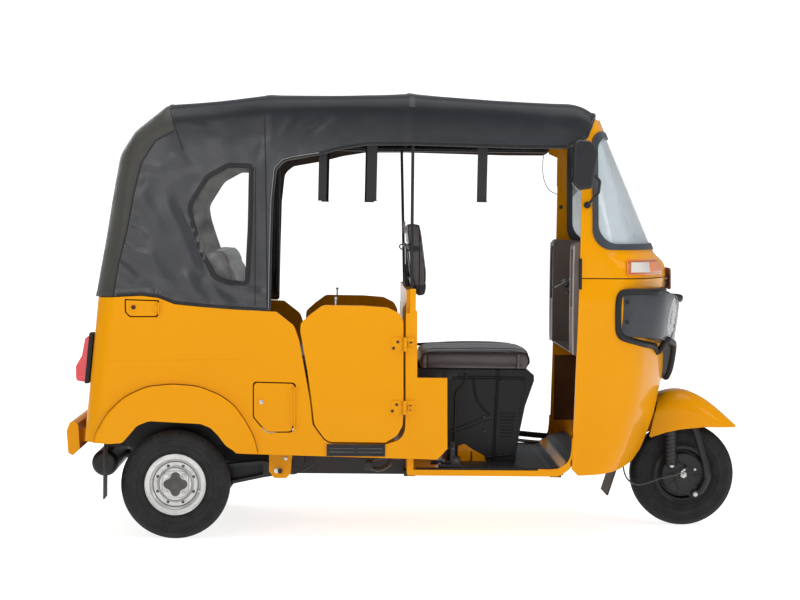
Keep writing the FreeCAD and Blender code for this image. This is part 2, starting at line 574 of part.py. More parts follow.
def nose_wire(z, x0, rf, rc, w, off, back):
    rf, rc, w, x0 = rf - off, rc - off, w - off, x0 - off
    cx = x0 - rf + math.sqrt((rf - rc) ** 2 - (w - rc) ** 2)
    fc = (x0 - rf, 0.0)
    ux, uy = cx - fc[0], w - rc
    L = math.hypot(ux, uy)
    jx, jy = fc[0] + ux / L * rf, uy / L * rf
    a = math.atan2(uy, ux)
    m = (math.pi / 2 + a) / 2
    mx, my = cx + rc * math.cos(m), (w - rc) + rc * math.sin(m)
    P = lambda x, y: V(x + RX, y, z)
    e = [Part.LineSegment(P(back, -w), P(cx, -w)).toShape(),
         Part.Arc(P(cx, -w), P(mx, -my), P(jx, -jy)).toShape(),
         Part.Arc(P(jx, -jy), P(x0, 0), P(jx, jy)).toShape(),
         Part.Arc(P(jx, jy), P(mx, my), P(cx, w)).toShape(),
         Part.LineSegment(P(cx, w), P(back, w)).toShape(),
         Part.LineSegment(P(back, w), P(back, -w)).toShape()]
    return Part.Wire(e)


def nose(table, off, back, ruled):
    return Part.makeLoft([nose_wire(*row, off, back) for row in table], True, ruled)


def taller(table, d):
    """The same table with its first and last heights moved outwards by d."""
    t = [list(r) for r in table]
    for k, n, sg in ((0, 1, -1), (-1, -2, 1)):
        dz = t[k][0] - t[n][0]
        f = d / abs(dz)
        for c in range(1, 5):
            t[k][c] = t[k][c] + (t[k][c] - t[n][c]) * f
        t[k][0] += sg * d
    return [tuple(r) for r in t]


def arch_wire(x, ze, zc, w, r, off):
    w, r, ze, zc = w - off, r - off, ze - off, zc - off
    zb = 820
    P = lambda y, z: V(x + RX, y, z)
    c = math.cos(math.radians(45))
    wb = 630 - off
    e = [Part.LineSegment(P(-wb, zb), P(-w, ze - r)).toShape(),
         Part.Arc(P(-w, ze - r), P(-w + r - r * c, ze - r + r * c), P(-w + r, ze)).toShape(),
         Part.Arc(P(-w + r, ze), P(0, zc), P(w - r, ze)).toShape(),
         Part.Arc(P(w - r, ze), P(w - r + r * c, ze - r + r * c), P(w, ze - r)).toShape(),
         Part.LineSegment(P(w, ze - r), P(wb, zb)).toShape(),
         Part.LineSegment(P(wb, zb), P(-wb, zb)).toShape()]
    return Part.Wire(e)


ct = D["cowl_t"]
BACK = 1400
# lower cowl: cheeks each side of the front wheel, bottom and rear edges trimmed in side view
LOWER_VIEW = [
    (1509, 273, 0), (1532, 249, 8), (1619, 252, 0), (1700, 262, 120), (1762, 283, 60), (1808, 335, 80), (1840, 420, 0), (1930, 640, 0),
    (1980, 1001, 0), (1528, 1001, 0), (1519, 616, 0), (1513, 387, 0),
]
lower = nose(LOWER_NOSE, 0, BACK, False).cut(nose(taller(LOWER_NOSE, 20), ct, BACK - 50, False))
lower = lower.common(prism_xz(LOWER_VIEW, -700, 700))
arch = prism_yz([(-238, 150, 0), (-238, 560, 0), (-150, 640, 60), (150, 640, 60), (238, 560, 0), (238, 150, 0)], 1700, 2100)
lower = lower.cut(arch)
# mask recess and headlamp openings are cut through the nose
lamp_y = 352
for y in (-lamp_y, lamp_y):
    lower = lower.cut(rod((1600 + RX, y, 848), (2100 + RX, y, 848), 84))
lower_solid = lower
feature("cowl_lower", lower)

sill = nose(SILL_NOSE, 0, BACK, False).cut(nose(taller(SILL_NOSE, 5), ct, BACK - 50, False))
frame_out = nose(FRAME_NOSE, 0, BACK, True)
frame_in = nose([(FRAME_NOSE[0][0] - 5, FRAME_NOSE[0][1] + 2.2, *FRAME_NOSE[0][2:]), FRAME_NOSE[1], (1592, 1653, 2500, 93, 600)], ct, BACK - 50, True)
wframe = frame_out.cut(frame_in)
UPPER_VIEW = [
    (1529, 1005, 0), (1531, 1149, 0), (1533, 1339, 0), (1533, 1484, 10), (1495, 1500, 0), (1495, 1520, 0), (1560, 1598, 0), (1560, 1618, 0), (1800, 1618, 0), (2000, 1005, 0),
]
upper = sill.fuse(wframe).common(prism_xz(UPPER_VIEW, -700, 700))
GLASS_VIEW = [(1576, 1112, 78), (2200, 1112, 0), (2200, 1566, 0), (1571, 1566, 48)]
glass_hole = prism_xz(GLASS_VIEW, -700, 700)
glass_in = prism_xz(grown(GLASS_VIEW, -23), -700, 700)
upper = upper.cut(glass_hole)
HEADER_CAP = [(1380, 1672, 1690, 610, 90), (1512, 1664, 1682, 610, 90), (1604, 1612, 1630, 606, 84), (1760, 1612, 1630, 606, 84), (2050, 1612, 1630, 606, 84)]
upper = upper.common(Part.makeLoft([arch_wire(*r, D["hood_t"] + 0.6) for r in HEADER_CAP], True, True))
feature("cowl_upper", upper.removeSplitter())
seal_wall = nose(taller(FRAME_NOSE, 30), -5, BACK, True).cut(nose(taller(FRAME_NOSE, 60), ct + 2, BACK - 50, True))
seal = seal_wall.common(glass_hole.cut(glass_in))
feature("windshield_seal", seal)
pane = nose(taller(FRAME_NOSE, 30), 3, BACK, True).cut(nose(taller(FRAME_NOSE, 60), 8, BACK - 50, True)).common(glass_in)
feature("windshield_glass", pane)

# dark mask across the nose with a chin, and the two headlamps in it
mask_front = prism_yz([
    (-620, 786, 0), (-560, 779, 40), (-360, 752, 40), (-232, 734, 30), (-150, 610, 60), (-90, 593, 30), (90, 593, 30), (150, 610, 60), (232, 734, 30), (360, 752, 40),
    (560, 779, 40), (620, 786, 0), (620, 958, 0), (560, 957, 40), (300, 930, 60), (150, 916, 60), (-150, 916, 60), (-300, 930, 60), (-560, 957, 40), (-620, 958, 0)], 1600, 2100)
mask_side = prism_xz([(1671, 780, 0), (1671, 930, 0), (1690, 958, 20), (2100, 958, 0), (2100, 560, 0), (1880, 560, 0), (1840, 720, 0), (1690, 770, 20)], -700, 700)
mask = nose(MASK_NOSE, 0, BACK, False).cut(nose(taller(LOWER_NOSE, 20), -0.3, BACK - 50, False)).common(mask_front).common(mask_side)
for y in (-lamp_y, lamp_y):
    mask = mask.cut(rod((1600 + RX, y, 848), (2100 + RX, y, 848), 82))
feature("headlamp_mask", mask)
lamps = []
for y in (-lamp_y, lamp_y):
    body_l = rod((1852 + RX, y, 848), (2100 + RX, y, 848), 81).common(nose(MASK_NOSE, 3, BACK, False))
    lamps.append(body_l)
feature("headlamps", solids(*lamps))
sig_front = prism_xz([(1710, 1017, 8), (2000, 1018, 0), (2000, 1074, 0), (1710, 1077, 8)], -640, -335)
sig = nose(taller(SILL_NOSE, 20), -7, BACK, False).cut(nose(taller(SILL_NOSE, 20), -0.4, BACK - 50, False)).common(sig_front)
both("turn_signals", sig)
fplate = prism_xz([(1928, 952, 0), (1931, 952, 0), (1929, 1036, 0), (1926, 1036, 0)], -150, 150)
fst = rod((1905 + RX, -60, 990), (1929 + RX, -60, 990), 6).fuse(rod((1905 + RX, 60, 990), (1929 + RX, 60, 990), 6)).cut(nose(taller(SILL_NOSE, 20), 0, BACK, False)).cut(nose(LOWER_NOSE, 0, BACK, False))
feature("number_plates", solids(rear_plate, fplate.fuse(fst).removeSplitter()))

# inner well behind the front wheel, carrying the steering head
well_outer_f = prism_xz([(1592, 268, 0), (1700, 360, 60), (1702, 570, 70), (1780, 668, 60), (1866, 668, 0), (1866, 600, 0), (1845, 500, 0), (1796, 350, 30), (1745, 298, 0), (1660, 268, 0)], -237, 237)
well_inner_f = prism_xz([(1596, 260, 0), (1706, 354, 60), (1708, 566, 66), (1782, 662, 56), (1990, 662, 0), (1990, 200, 0), (1600, 200, 0)], -232, 232)
wf = well_outer_f.cut(well_inner_f)
ang = math.radians(D["steer_deg"])
HEAD = (1650.0, 0.0, 1000.0)                     # a point on the steering axis
DIR = (math.sin(ang), 0.0, -math.cos(ang))       # down the axis


def on_axis(s):
    return (HEAD[0] + RX + DIR[0] * s, 0.0, HEAD[2] + DIR[2] * s)


stem_hole = rod(on_axis(-300), on_axis(900), 30)
wf = wf.cut(stem_hole)
tube = rod(on_axis(95), on_axis(395), 30).cut(rod(on_axis(50), on_axis(500), D["stem_r"] + 0.05))
gus = prism_xz([(1693, 600, 0), (1702, 600, 0), (1745, 662, 0), (1818, 668, 0), (1700, 930, 0), (1668, 930, 0), (1640, 760, 0)], -40, 40)
gus = gus.cut(rod(on_axis(-300), on_axis(900), 29.9)).cut(well_inner_f).cut(well_outer_f)
feature("steering_head", wf.fuse(tube).fuse(gus).cut(rod(on_axis(50), on_axis(500), D["stem_r"] + 0.05)).removeSplitter())

# dash: two glove boxes joined by a recessed tray round the steering column
dash = prism_xz([(1507, 704, 20), (1840, 704, 0), (1840, 1100, 0), (1700, 1128, 40), (1508, 1142, 20)], -578, 578)
dash = dash.cut(prism_xz([(1400, 716, 0), (1826, 716, 0), (1826, 1200, 0), (1400, 1200, 0)], -432, 432))
dash = dash.cut(prism_xz([(1400, 884, 0), (1640, 884, 20), (1640, 1112, 20), (1400, 1112, 0)], 446, 566))
dash = dash.cut(prism_xz([(1400, 884, 0), (1640, 884, 20), (1640, 1112, 20), (1400, 1112, 0)], -566, -446))
dash = dash.cut(rod(on_axis(-300), on_axis(900), 42)).cut(prism_xy([(1560, -44), (1824, -44), (1824, 44), (1560, 44)], 690, 730))
dash = dash.common(nose([(650, 1914, 1060, 168, 594), (1001, 1918, 1070, 170, 600), (1060, 1880, 1070, 170, 600), (1106, 1864, 1078, 170, 600), (1338, 1766, 1500, 135, 600)], ct + 8, 1400, True))
feature("dash", dash)

# mirrors on bent arms from the windshield pillars
mirror_head = prism_xz([(1490, 1510, 20), (1489, 1360, 20), (1515, 1337, 14), (1563, 1344, 14), (1586, 1480, 30), (1552, 1524, 14), (1509, 1528, 20)], -712, -664)
try:
    mirror_head = mirror_head.makeFillet(12, [e for e in mirror_head.Edges if abs(e.BoundBox.YMin + 712) < 0.01 and abs(e.BoundBox.YMax + 712) < 0.01])
except Exception as err:
    print("mirror fillet skipped", err)
marm = pipe([(1553, -600.5, 1282), (1553, -630, 1282), (1592, -655, 1330), (1594, -680, 1372), (1572, -684, 1396)], 5.5, 14)
mbase = rod((1553 + RX, -600.5, 1282), (1553 + RX, -616, 1282), 13)
ms = mirror_head.fuse(marm).fuse(mbase)
# the left mirror is swung 52 mm further forward on its arm
head_l = mirror(mirror_head)
head_l.translate(V(52, 0, 0))
marm_l = pipe([(1553, 600.5, 1282), (1553, 630, 1282), (1606, 655, 1330), (1640, 680, 1372), (1626, 684, 1396)], 5.5, 14)
feature("mirrors", solids(ms, head_l.fuse(marm_l).fuse(mirror(mbase))))

# ================================================================ hood
# Cross-sections of the hood between its bows: station, height at the shoulder, crown height, half width, shoulder radius
HOOD = [
    (-420, 1188, 1196, 608, 80), (-252, 1414, 1424, 608, 88), (-168, 1548, 1562, 608, 90), (-45, 1645, 1664, 608, 92), (330, 1686, 1706, 612, 92),
    (886, 1697, 1717, 612, 92), (1512, 1664, 1682, 610, 90), (1548, 1652, 1668, 609, 88), (1604, 1612, 1630, 606, 84),
]


def hood_tub(off):
    wires = []
    for z, tl in ((800, -331), (1760, -176)):
        pts = [(1700 + off, -(632 - off)), (1700 + off, 632 - off), (tl + off, 632 - off, 120 - off), (tl + off, -(632 - off), 120 - off)]
        wires.append(Part.Wire([g.toShape() for g in geometry(rounded(pts), xy(z))]))
    return Part.makeLoft(wires, True, True)


ht = D["hood_t"]
# hem, door opening and front edge in side view
HOOD_VIEW = [
    (-460, 1760, 0), (-460, 914, 0), (-244, 917, 0), (-131, 925, 30), (-70, 918, 30), (-6, 893, 30), (89, 884, 60), (221, 875, 60), (357, 869, 10),
    (360, 1100, 0), (364, 1289, 60), (376, 1406, 40), (410, 1437, 40), (534, 1460, 100), (621, 1483, 80), (717, 1499, 60), (893, 1501, 0), (1310, 1493, 0),
    (1476, 1494, 20), (1507, 1518, 10), (1548, 1534, 12), (1574, 1600, 20), (1592, 1640, 0), (1592, 1760, 0),
]
outer_h = Part.makeLoft([arch_wire(*r, 0) for r in HOOD], True, True).common(hood_tub(0))
inner_h = Part.makeLoft([arch_wire(*r, ht) for r in HOOD], True, True).common(hood_tub(ht))
trim_h = prism_xz(HOOD_VIEW, -700, 700)
shell_h = outer_h.cut(inner_h).common(trim_h)
WINDOW = [(277, 1413, 12), (190, 1413, 20), (115, 1370, 60), (50, 1262, 60), (63, 1203, 0), (104, 1079, 60), (148, 996, 50), (200, 980, 20), (266, 977, 12)]
win = prism_xz(WINDOW, -700, 700)
rear_win = prism_yz([(-330, 1130, 50), (330, 1130, 50), (300, 1370, 50), (-300, 1370, 50)], -420, -200)
feature("canopy", shell_h.cut(win).cut(rear_win))
mid_o = Part.makeLoft([arch_wire(*r, 3.5) for r in HOOD], True, True).common(hood_tub(3.5))
mid_i = Part.makeLoft([arch_wire(*r, 5.5) for r in HOOD], True, True).common(hood_tub(5.5))
sheet_mid = mid_o.cut(mid_i)
feature("hood_windows", solids(sheet_mid.common(win), sheet_mid.common(rear_win)))

# hood frame: uprights and bows of tube, and a rail over each doorway
rr = D["rail_r"]
yb = 608 - ht - rr - 1


def bow(x, z0, ze, zc, lean=0):
    return pipe([(x - lean, -yb, z0), (x, -yb, ze), (x, yb, ze), (x - lean, yb, z0)], rr, 78)


bows = bow(345, 905, 1686 - ht - rr - 3, 0)
for x, ze in ((886, 1697 - ht - rr - 3), (1481, 1659 - ht - rr - 3)):
    bows = bows.fuse(bow(x, 1516, ze, 0))
rearbow = pipe([(-214, -(yb - 60), 940), (-44, -(yb - 60), 1600), (-44, yb - 60, 1600), (-214, yb - 60, 940)], rr, 70)
rails = [rod((345 + RX, y, 1516), (1481 + RX, y, 1516), rr) for y in (-yb, yb)]
backrails = [rod((-54 + RX, s * (yb - 67), 1560), (345 + RX, s * (yb - 2), 1600), 9) for s in (-1, 1)]
hf = bows
for t in rails + backrails:
    hf = hf.fuse(t)
hood_tubes = hf.fuse(rearbow)
gussets = []
for y0, y1 in ((-597, -573), (573, 597)):
    gussets.append(prism_xz([(1480, 1519, 0), (1480, 1500, 0), (1530, 1484, 0), (1533, 1470, 0), (1548, 1470, 0), (1548, 1590, 0), (1514, 1590, 0), (1514, 1519, 0)], y0, y1))
# hanging grab straps
straps = []
for x0, x1, zt in ((534, 566, 1461), (717, 757, 1494), (1136, 1175, 1494)):
    straps.append(prism_xz([(x0, 1524, 0), (x1, 1524, 0), (x1 - 3, 1288, 10), (x0 - 3, 1288, 10)], -(yb + rr + 2.5), -(yb + rr)))
feature("hood_straps", solids(*straps, *[mirror(s) for s in straps[:2]]))       # the left side has no third strap

# ================================================================ driver's seat
base = prism_xz([(1044, zf + ft + 0.5, 0), (1310, zf + ft + 0.5, 12), (1325, 375, 60), (1348, 492, 60), (1382, 591, 12), (1382, 612, 10), (1358, 634, 6), (1044, 634, 0)], -282, 282)
base = base.cut(prism_xz([(1056, 200, 0), (1290, 200, 0), (1306, 380, 50), (1332, 500, 50), (1362, 600, 20), (1352, 620, 6), (1056, 620, 0)], -270, 270))
feature("driver_seat_base", base)
cush = prism_xz([(925, 636, 12), (1362, 635, 20), (1381, 664, 20), (1370, 712, 24), (925, 704, 22)], -D["seat_half_w"], D["seat_half_w"])
feature("driver_cushion", cush)
pad = prism_xz([(916, 906, 10), (960, 906, 14), (959, 1008, 60), (931, 1212, 14), (872, 1210, 14), (893, 1000, 60)], -205, 205)
brb = []
for y in (-120, 120):
    brb.append(pipe([(886, y, 953.5), (884, y, 990), (890, y, 1040), (888, y, 1116)], 9, 30))
bar = rod((px + 4 + RX, -210, 1112), (px + 4 + RX, 210, 1112), 6)
# the pad has grooves at its back for the tubes that carry it
for y in (-120, 120):
    pad = pad.cut(pipe([(886, y, 945), (884, y, 990), (890, y, 1040), (888, y, 1130)], 11, 30)).cut(prism_xz([(840, 900, 0), (886, 900, 0), (884, 1130, 0), (840, 1130, 0)], y - 11, y + 11))
pad = pad.cut(rod((px + 17 + RX, -230, 1112), (px + 17 + RX, 230, 1112), 10.5)).cut(prism_xz([(840, 1100, 0), (px + 17, 1100, 0), (px + 17, 1124, 0), (840, 1124, 0)], -230, 230))
feature("driver_backrest", weld(pad))
feature("hood_frame", hood_tubes.fuse([partition_posts, *brb]).removeSplitter())

# ================================================================ steering assembly
stem = rod(on_axis(10), on_axis(540), D["stem_r"])
arm_f = pipe([(1650 + 530 * math.sin(ang), 0, 1000 - 530 * math.cos(ang)), (1905, -4, 452), (1925, -90, 440), (2040, -94, 404), (2086, -94, 255), (2096, -94, 196), (2070, -94, 142), (2036, -94, 128)], 13.5, 38)
crown = rod(on_axis(400), on_axis(452), 29)
link = prism_xz([(2056, 148, 16), (2040, 110, 16), (1985, 150, 30), (1950, 235, 14), (1935, 240, 10), (1938, 262, 8), (1965, 262, 10), (2030, 232, 30)], -80, -72)
axle = rod((FRONT_X, -86, AXLE_Z), (FRONT_X, 46, AXLE_Z), D["stub_r"])
piv = rod((2046 + RX, -108, 131), (2046 + RX, -70, 131), 15)
spr = rod((1948 + RX, -87, 246), (1945 + RX, -87, 388), 24).fuse(rod((1949 + RX, -87, 236), (1944 + RX, -87, 432), 9)).fuse(rod((1951 + RX, -100, 246), (1951 + RX, -72, 246), 10))
top_arm = rod((1944 + RX, -87, 432), (1925 + RX, -89, 440), 13.5)
drum = rod((FRONT_X, -70, AXLE_Z), (FRONT_X, -53.5, AXLE_Z), 84).cut(rod((FRONT_X, -120, AXLE_Z), (FRONT_X, 0, AXLE_Z), D["stub_r"]))
drum = drum.fuse(rod((FRONT_X + 40, -80, AXLE_Z - 20), (FRONT_X + 40, -56, AXLE_Z - 20), 12)).fuse(rod((FRONT_X + 10, -122, AXLE_Z + 31), (FRONT_X + 10, -74, AXLE_Z + 31), 5))
feature("fork", weld(stem, crown, arm_f, link, axle, piv, spr, top_arm, drum))
bar_pts = [(1556, -320, 966), (1606, -190, 996), (1650, -60, 1008), (1650, 60, 1008), (1606, 190, 996), (1556, 320, 966)]
hbar = pipe(bar_pts, D["bar_r"], 40)
clamp = rod(on_axis(-22), on_axis(30), 26)
hbar = hbar.fuse(clamp).cut(stem)
grips = []
for s in (-1, 1):
    a, b = V(1606 + RX, s * 190, 996), V(1556 + RX, s * 320, 966)
    d = (b - a).normalize()
    grips.append(Part.makeCylinder(18, 118, b - d * 108, d).cut(Part.makeCylinder(D["bar_r"], 108, b - d * 108, d)))
feature("handlebar", hbar.fuse(grips).removeSplitter())
# front mudguard: station, top, half width, corner radius
GUARD = [(1846, 500, 108, 60), (1903, 530, 114, 68), (1985, 546, 118, 74), (2075, 517, 117, 72), (2140, 469, 106, 56), (2183, 431, 84, 30), (2214, 404, 54, 8)]


def guard_wire(x, zt, w, r, off):
    w, r, zt = w - off, max(1.5, r - off), zt - off
    zb = 330
    P = lambda y, z: V(x + RX, y, z)
    c = math.cos(math.radians(45))
    return Part.Wire([
        Part.LineSegment(P(-w, zb), P(-w, zt - r)).toShape(),
        Part.Arc(P(-w, zt - r), P(-w + r - r * c, zt - r + r * c), P(-w + r, zt)).toShape(),
        Part.LineSegment(P(-w + r, zt), P(w - r, zt)).toShape(),
        Part.Arc(P(w - r, zt), P(w - r + r * c, zt - r + r * c), P(w, zt - r)).toShape(),
        Part.LineSegment(P(w, zt - r), P(w, zb)).toShape(),
        Part.LineSegment(P(w, zb), P(-w, zb)).toShape()])


guard_o = Part.makeLoft([guard_wire(*r, 0) for r in GUARD], True, False)
guard_i = Part.makeLoft([guard_wire(*r, 4) for r in GUARD], True, False)
GUARD_VIEW = [(1857, 356, 6), (1925, 379, 60), (1985, 392, 60), (2074, 401, 60), (2211, 398, 0), (2211, 620, 0), (1906, 620, 0), (1896, 528, 0)]
guard = guard_o.cut(guard_i).common(prism_xz(GUARD_VIEW, -200, 200)).cut(rod(on_axis(300), on_axis(560), 29.5))
feature("front_mudguard", guard)


def cord(points, r):
    """A cord's tube: each arc as large as its two runs allow. Prints its radii and compares its volume with section times length."""
    pts = [V(*p) for p in points]
    radii = []
    for a, b, c in zip(pts, pts[1:], pts[2:]):
        turn = (b - a).getAngle(c - b)
        radii.append(0.45 * min((b - a).Length, (c - b).Length) / math.tan(turn / 2))
    t = pipe(points, r, 1e6)
    edges = sum((b - a).Length for a, b in zip(pts, pts[1:]))
    print("cord radii", [round(x) for x in radii], "runs", [round((b - a).Length) for a, b in zip(pts, pts[1:])],
          "runs added %.0f, length from volume %.0f" % (edges, t.Volume / (math.pi * r * r)))
    return t


# front brake cable, from the wheel house wall down and forward to its stop on the brake plate
BRAKE_CABLE = [(1707.5, -118, 450), (1742, -118, 452), (1768, -118, 425), (1770, -118, 380), (1765, -118, 330), (1755, -118, 282), (1753, -118, 236), (1768, -118, 190),
               (1807, -118, 165), (1855, -118, 176), (1900, -118, 195), (1946, -118, 203), (1978, -118, 213), (2003.5, -118, 234.2)]
feature("brake_cable", cord(BRAKE_CABLE, D["cable_r"]))
# lamp wire of the left windshield pillar, from the rail over the doorway down to the pillar's rear edge
PILLAR_WIRE = [(1474, 589, 1503.9), (1471, 589, 1482), (1469, 589, 1446), (1472, 589, 1404), (1484, 589, 1366), (1504, 589, 1340), (1531.8, 589, 1331)]
feature("pillar_wire", cord(PILLAR_WIRE, D["wire_r"]))

# ================================================================ wheels
# tyre and rim profiles turned about the axle: radius, distance from the wheel's middle, corner radius
TYRE = [(207, -30, 14), (207, 30, 14), (188, 51, 12), (150, 52.5, 30), (122, 43.8, 6), (104, 43.8, 0), (104, -43.8, 0), (122, -43.8, 6), (150, -52.5, 30), (188, -51, 12)]
RIM_REAR = [
    (15.05, -40, 0), (38, -40, 4), (38, -30, 4), (62, -30, 8), (70, -22, 6), (86, -22, 4), (96, -30, 4), (97, -44, 3), (112, -45.5, 2), (115, -49, 2), (117, -46, 1), (113, -43.9, 1), (103.9, -43.9, 0),
    (103.9, 43.9, 0), (113, 43.9, 1), (117, 46, 1), (115, 49, 2), (112, 45.5, 2), (98, 44, 3), (97, -10, 4), (60, -14, 6), (60, 24, 6), (15.05, 24, 0),
]
RIM_FRONT = [
    (15.05, -36, 0), (40, -36, 3), (46, -30, 3), (74, -28, 4), (80, -18, 4), (97, -18, 4), (97, -44, 3), (112, -45.5, 2), (115, -49, 2), (117, -46, 1), (113, -43.9, 1), (103.9, -43.9, 0),
    (103.9, 43.9, 0), (113, 43.9, 1), (117, 46, 1), (115, 49, 2), (112, 45.5, 2), (98, 44, 3), (97, -6, 4), (60, -6, 6), (50, 34, 6), (15.05, 34, 0),
]
for name, x, y, flip, rim in (("rear_wheel_right", RX, -D["track_half"], 1, RIM_REAR), ("rear_wheel_left", RX, D["track_half"], -1, RIM_REAR),
                              ("front_wheel", FRONT_X, 0.0, 1, RIM_FRONT)):
    b, r = revolve_y(name + "_tyre", TYRE, x, AXLE_Z, y, flip)
    keep(b, name + "_tyre")
    b, r = revolve_y(name + "_rim", rim, x, AXLE_Z, y, flip)
    keep(b, name + "_rim")

# ================================================================ check and export
doc.recompute()
os.makedirs("parts", exist_ok=True)
bb = FreeCAD.BoundBox()
bad = []
for name, obj in nodes:
    sh = obj.Shape
    if "Invalid" in obj.State or "Error" in obj.State or sh.isNull() or not sh.isValid() or not sh.Solids or sh.Volume < 100:
        bad.append((name, obj.State, sh.isNull() or (sh.isValid(), len(sh.Solids), round(sh.Volume))))
        continue
    b = sh.BoundBox
    print("%-20s %2d solids %6.2f dm3  x %5.0f %5.0f  y %5.0f %5.0f  z %5.0f %5.0f" % (
        name, len(sh.Solids), sh.Volume / 1e6, b.XMin - RX, b.XMax - RX, b.YMin, b.YMax, b.ZMin, b.ZMax))
    bb.add(sh.BoundBox)
    sh.exportStep("parts/%s.step" % name)
print("nodes", len(nodes), "bad", bad)
print("bounds %.1f %.1f | %.1f %.1f | %.1f %.1f" % (bb.XMin, bb.XMax, bb.YMin, bb.YMax, bb.ZMin, bb.ZMax))
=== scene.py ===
import json
import math

import bmesh
import bpy
import numpy as np
from mathutils import Matrix, Vector


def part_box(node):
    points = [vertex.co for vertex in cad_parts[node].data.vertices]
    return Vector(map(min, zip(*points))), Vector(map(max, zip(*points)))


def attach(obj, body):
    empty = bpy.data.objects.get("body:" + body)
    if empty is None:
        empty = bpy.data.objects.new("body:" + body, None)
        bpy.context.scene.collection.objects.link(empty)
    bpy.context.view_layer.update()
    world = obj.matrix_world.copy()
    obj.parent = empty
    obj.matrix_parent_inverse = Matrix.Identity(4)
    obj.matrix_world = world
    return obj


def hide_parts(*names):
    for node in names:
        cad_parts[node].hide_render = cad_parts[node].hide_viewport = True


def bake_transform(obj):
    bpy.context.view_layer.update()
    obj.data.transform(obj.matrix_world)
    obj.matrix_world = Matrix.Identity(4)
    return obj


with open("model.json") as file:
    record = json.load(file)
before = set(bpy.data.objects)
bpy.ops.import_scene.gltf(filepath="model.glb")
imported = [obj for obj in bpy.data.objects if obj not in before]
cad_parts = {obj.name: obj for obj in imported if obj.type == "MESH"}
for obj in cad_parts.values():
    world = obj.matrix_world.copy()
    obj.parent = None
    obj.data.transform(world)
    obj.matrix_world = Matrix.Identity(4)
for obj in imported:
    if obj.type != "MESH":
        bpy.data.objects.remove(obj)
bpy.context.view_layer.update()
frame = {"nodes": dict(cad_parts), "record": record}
NODES = frame["nodes"]
TYRE_LO, TYRE_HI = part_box("rear_wheel_right_tyre")
RX = round((TYRE_LO[0] + TYRE_HI[0]) / 2, 4)      # the rear axle
scene = bpy.context.scene
coll = scene.collection
rng = np.random.default_rng(7)


def S(p):
    """A point given as station, y, z in millimetres, in the frame's metres."""
    return Vector((p[0] / 1000 + RX, p[1] / 1000, p[2] / 1000))


def SX(x):
    return x / 1000 + RX


# ------------------------------------------------------------------ mesh helpers
def add(name, verts, faces, mat, body=None, smooth=True, mats=None, index=None, edges=()):
    me = bpy.data.meshes.new(name)
    me.from_pydata([tuple(v) for v in verts], list(edges), [tuple(f) for f in faces])
    me.validate()
    ob = bpy.data.objects.new(name, me)
    coll.objects.link(ob)
    for m in (mats or [mat]):
        me.materials.append(m)
    if index is not None:
        me.polygons.foreach_set("material_index", index)
    if smooth:
        me.shade_smooth()
    me.update()
    if body:
        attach(ob, body)
    return ob


def from_bm(name, bm, mat, body=None, smooth=True, angle=None):
    bmesh.ops.recalc_face_normals(bm, faces=bm.faces)
    me = bpy.data.meshes.new(name)
    bm.to_mesh(me)
    bm.free()
    ob = bpy.data.objects.new(name, me)
    coll.objects.link(ob)
    for m in (mat if isinstance(mat, (list, tuple)) else [mat]):
        me.materials.append(m)
    if smooth:
        me.shade_smooth()
        if angle is not None:
            me.set_sharp_from_angle(angle=math.radians(angle))
    if body:
        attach(ob, body)
    return ob


def apply_mods(ob):
    dg = bpy.context.evaluated_depsgraph_get()
    me = bpy.data.meshes.new_from_object(ob.evaluated_get(dg), preserve_all_data_layers=True, depsgraph=dg)
    old = ob.data
    ob.modifiers.clear()
    ob.data = me
    me.name = ob.name
    if old.users == 0:
        bpy.data.meshes.remove(old)
    return ob


def smooth_path(pts, per=8, closed=False):
    """Centripetal curve through the points."""
    P = [Vector(p) for p in pts]
    n = len(P)
    if n < 3:
        return P
    out = []
    rng_i = range(n) if closed else range(n - 1)
    for i in rng_i:
        p1, p2 = P[i], P[(i + 1) % n]
        p0 = P[i - 1] if (closed or i > 0) else p1 + (p1 - p2)
        p3 = P[(i + 2) % n] if (closed or i < n - 2) else p2 + (p2 - p1)
        t0 = 0.0
        t1 = t0 + max(1e-6, (p1 - p0).length ** 0.5)
        t2 = t1 + max(1e-6, (p2 - p1).length ** 0.5)
        t3 = t2 + max(1e-6, (p3 - p2).length ** 0.5)
        for k in range(per):
            t = t1 + (t2 - t1) * k / per
            a1 = p0 * ((t1 - t) / (t1 - t0)) + p1 * ((t - t0) / (t1 - t0))
            a2 = p1 * ((t2 - t) / (t2 - t1)) + p2 * ((t - t1) / (t2 - t1))
            a3 = p2 * ((t3 - t) / (t3 - t2)) + p3 * ((t - t2) / (t3 - t2))
            b1 = a1 * ((t2 - t) / (t2 - t0)) + a2 * ((t - t0) / (t2 - t0))
            b2 = a2 * ((t3 - t) / (t3 - t1)) + a3 * ((t - t1) / (t3 - t1))
            out.append(b1 * ((t2 - t) / (t2 - t1)) + b2 * ((t - t1) / (t2 - t1)))
    if not closed:
        out.append(P[-1])
    return out


def frames_along(path, closed=False, up=None):
    n = len(path)
    T = []
    for i in range(n):
        a = path[i - 1] if (i > 0 or closed) else path[i]
        b = path[(i + 1) % n] if (i < n - 1 or closed) else path[i]
        t = (b - a)
        T.append(t.normalized() if t.length > 1e-9 else Vector((0, 0, 1)))
    ref = Vector(up) if up is not None else (Vector((0, 0, 1)) if abs(T[0].z) < 0.9 else Vector((1, 0, 0)))
    nrm = (ref - T[0] * ref.dot(T[0])).normalized()
    out = []
    for i in range(n):
        if up is not None:
            nn = ref - T[i] * ref.dot(T[i])
            nrm = nn.normalized() if nn.length > 1e-6 else nrm
        else:
            nrm = (nrm - T[i] * nrm.dot(T[i])).normalized()
        out.append((T[i], nrm, T[i].cross(nrm)))
    return out


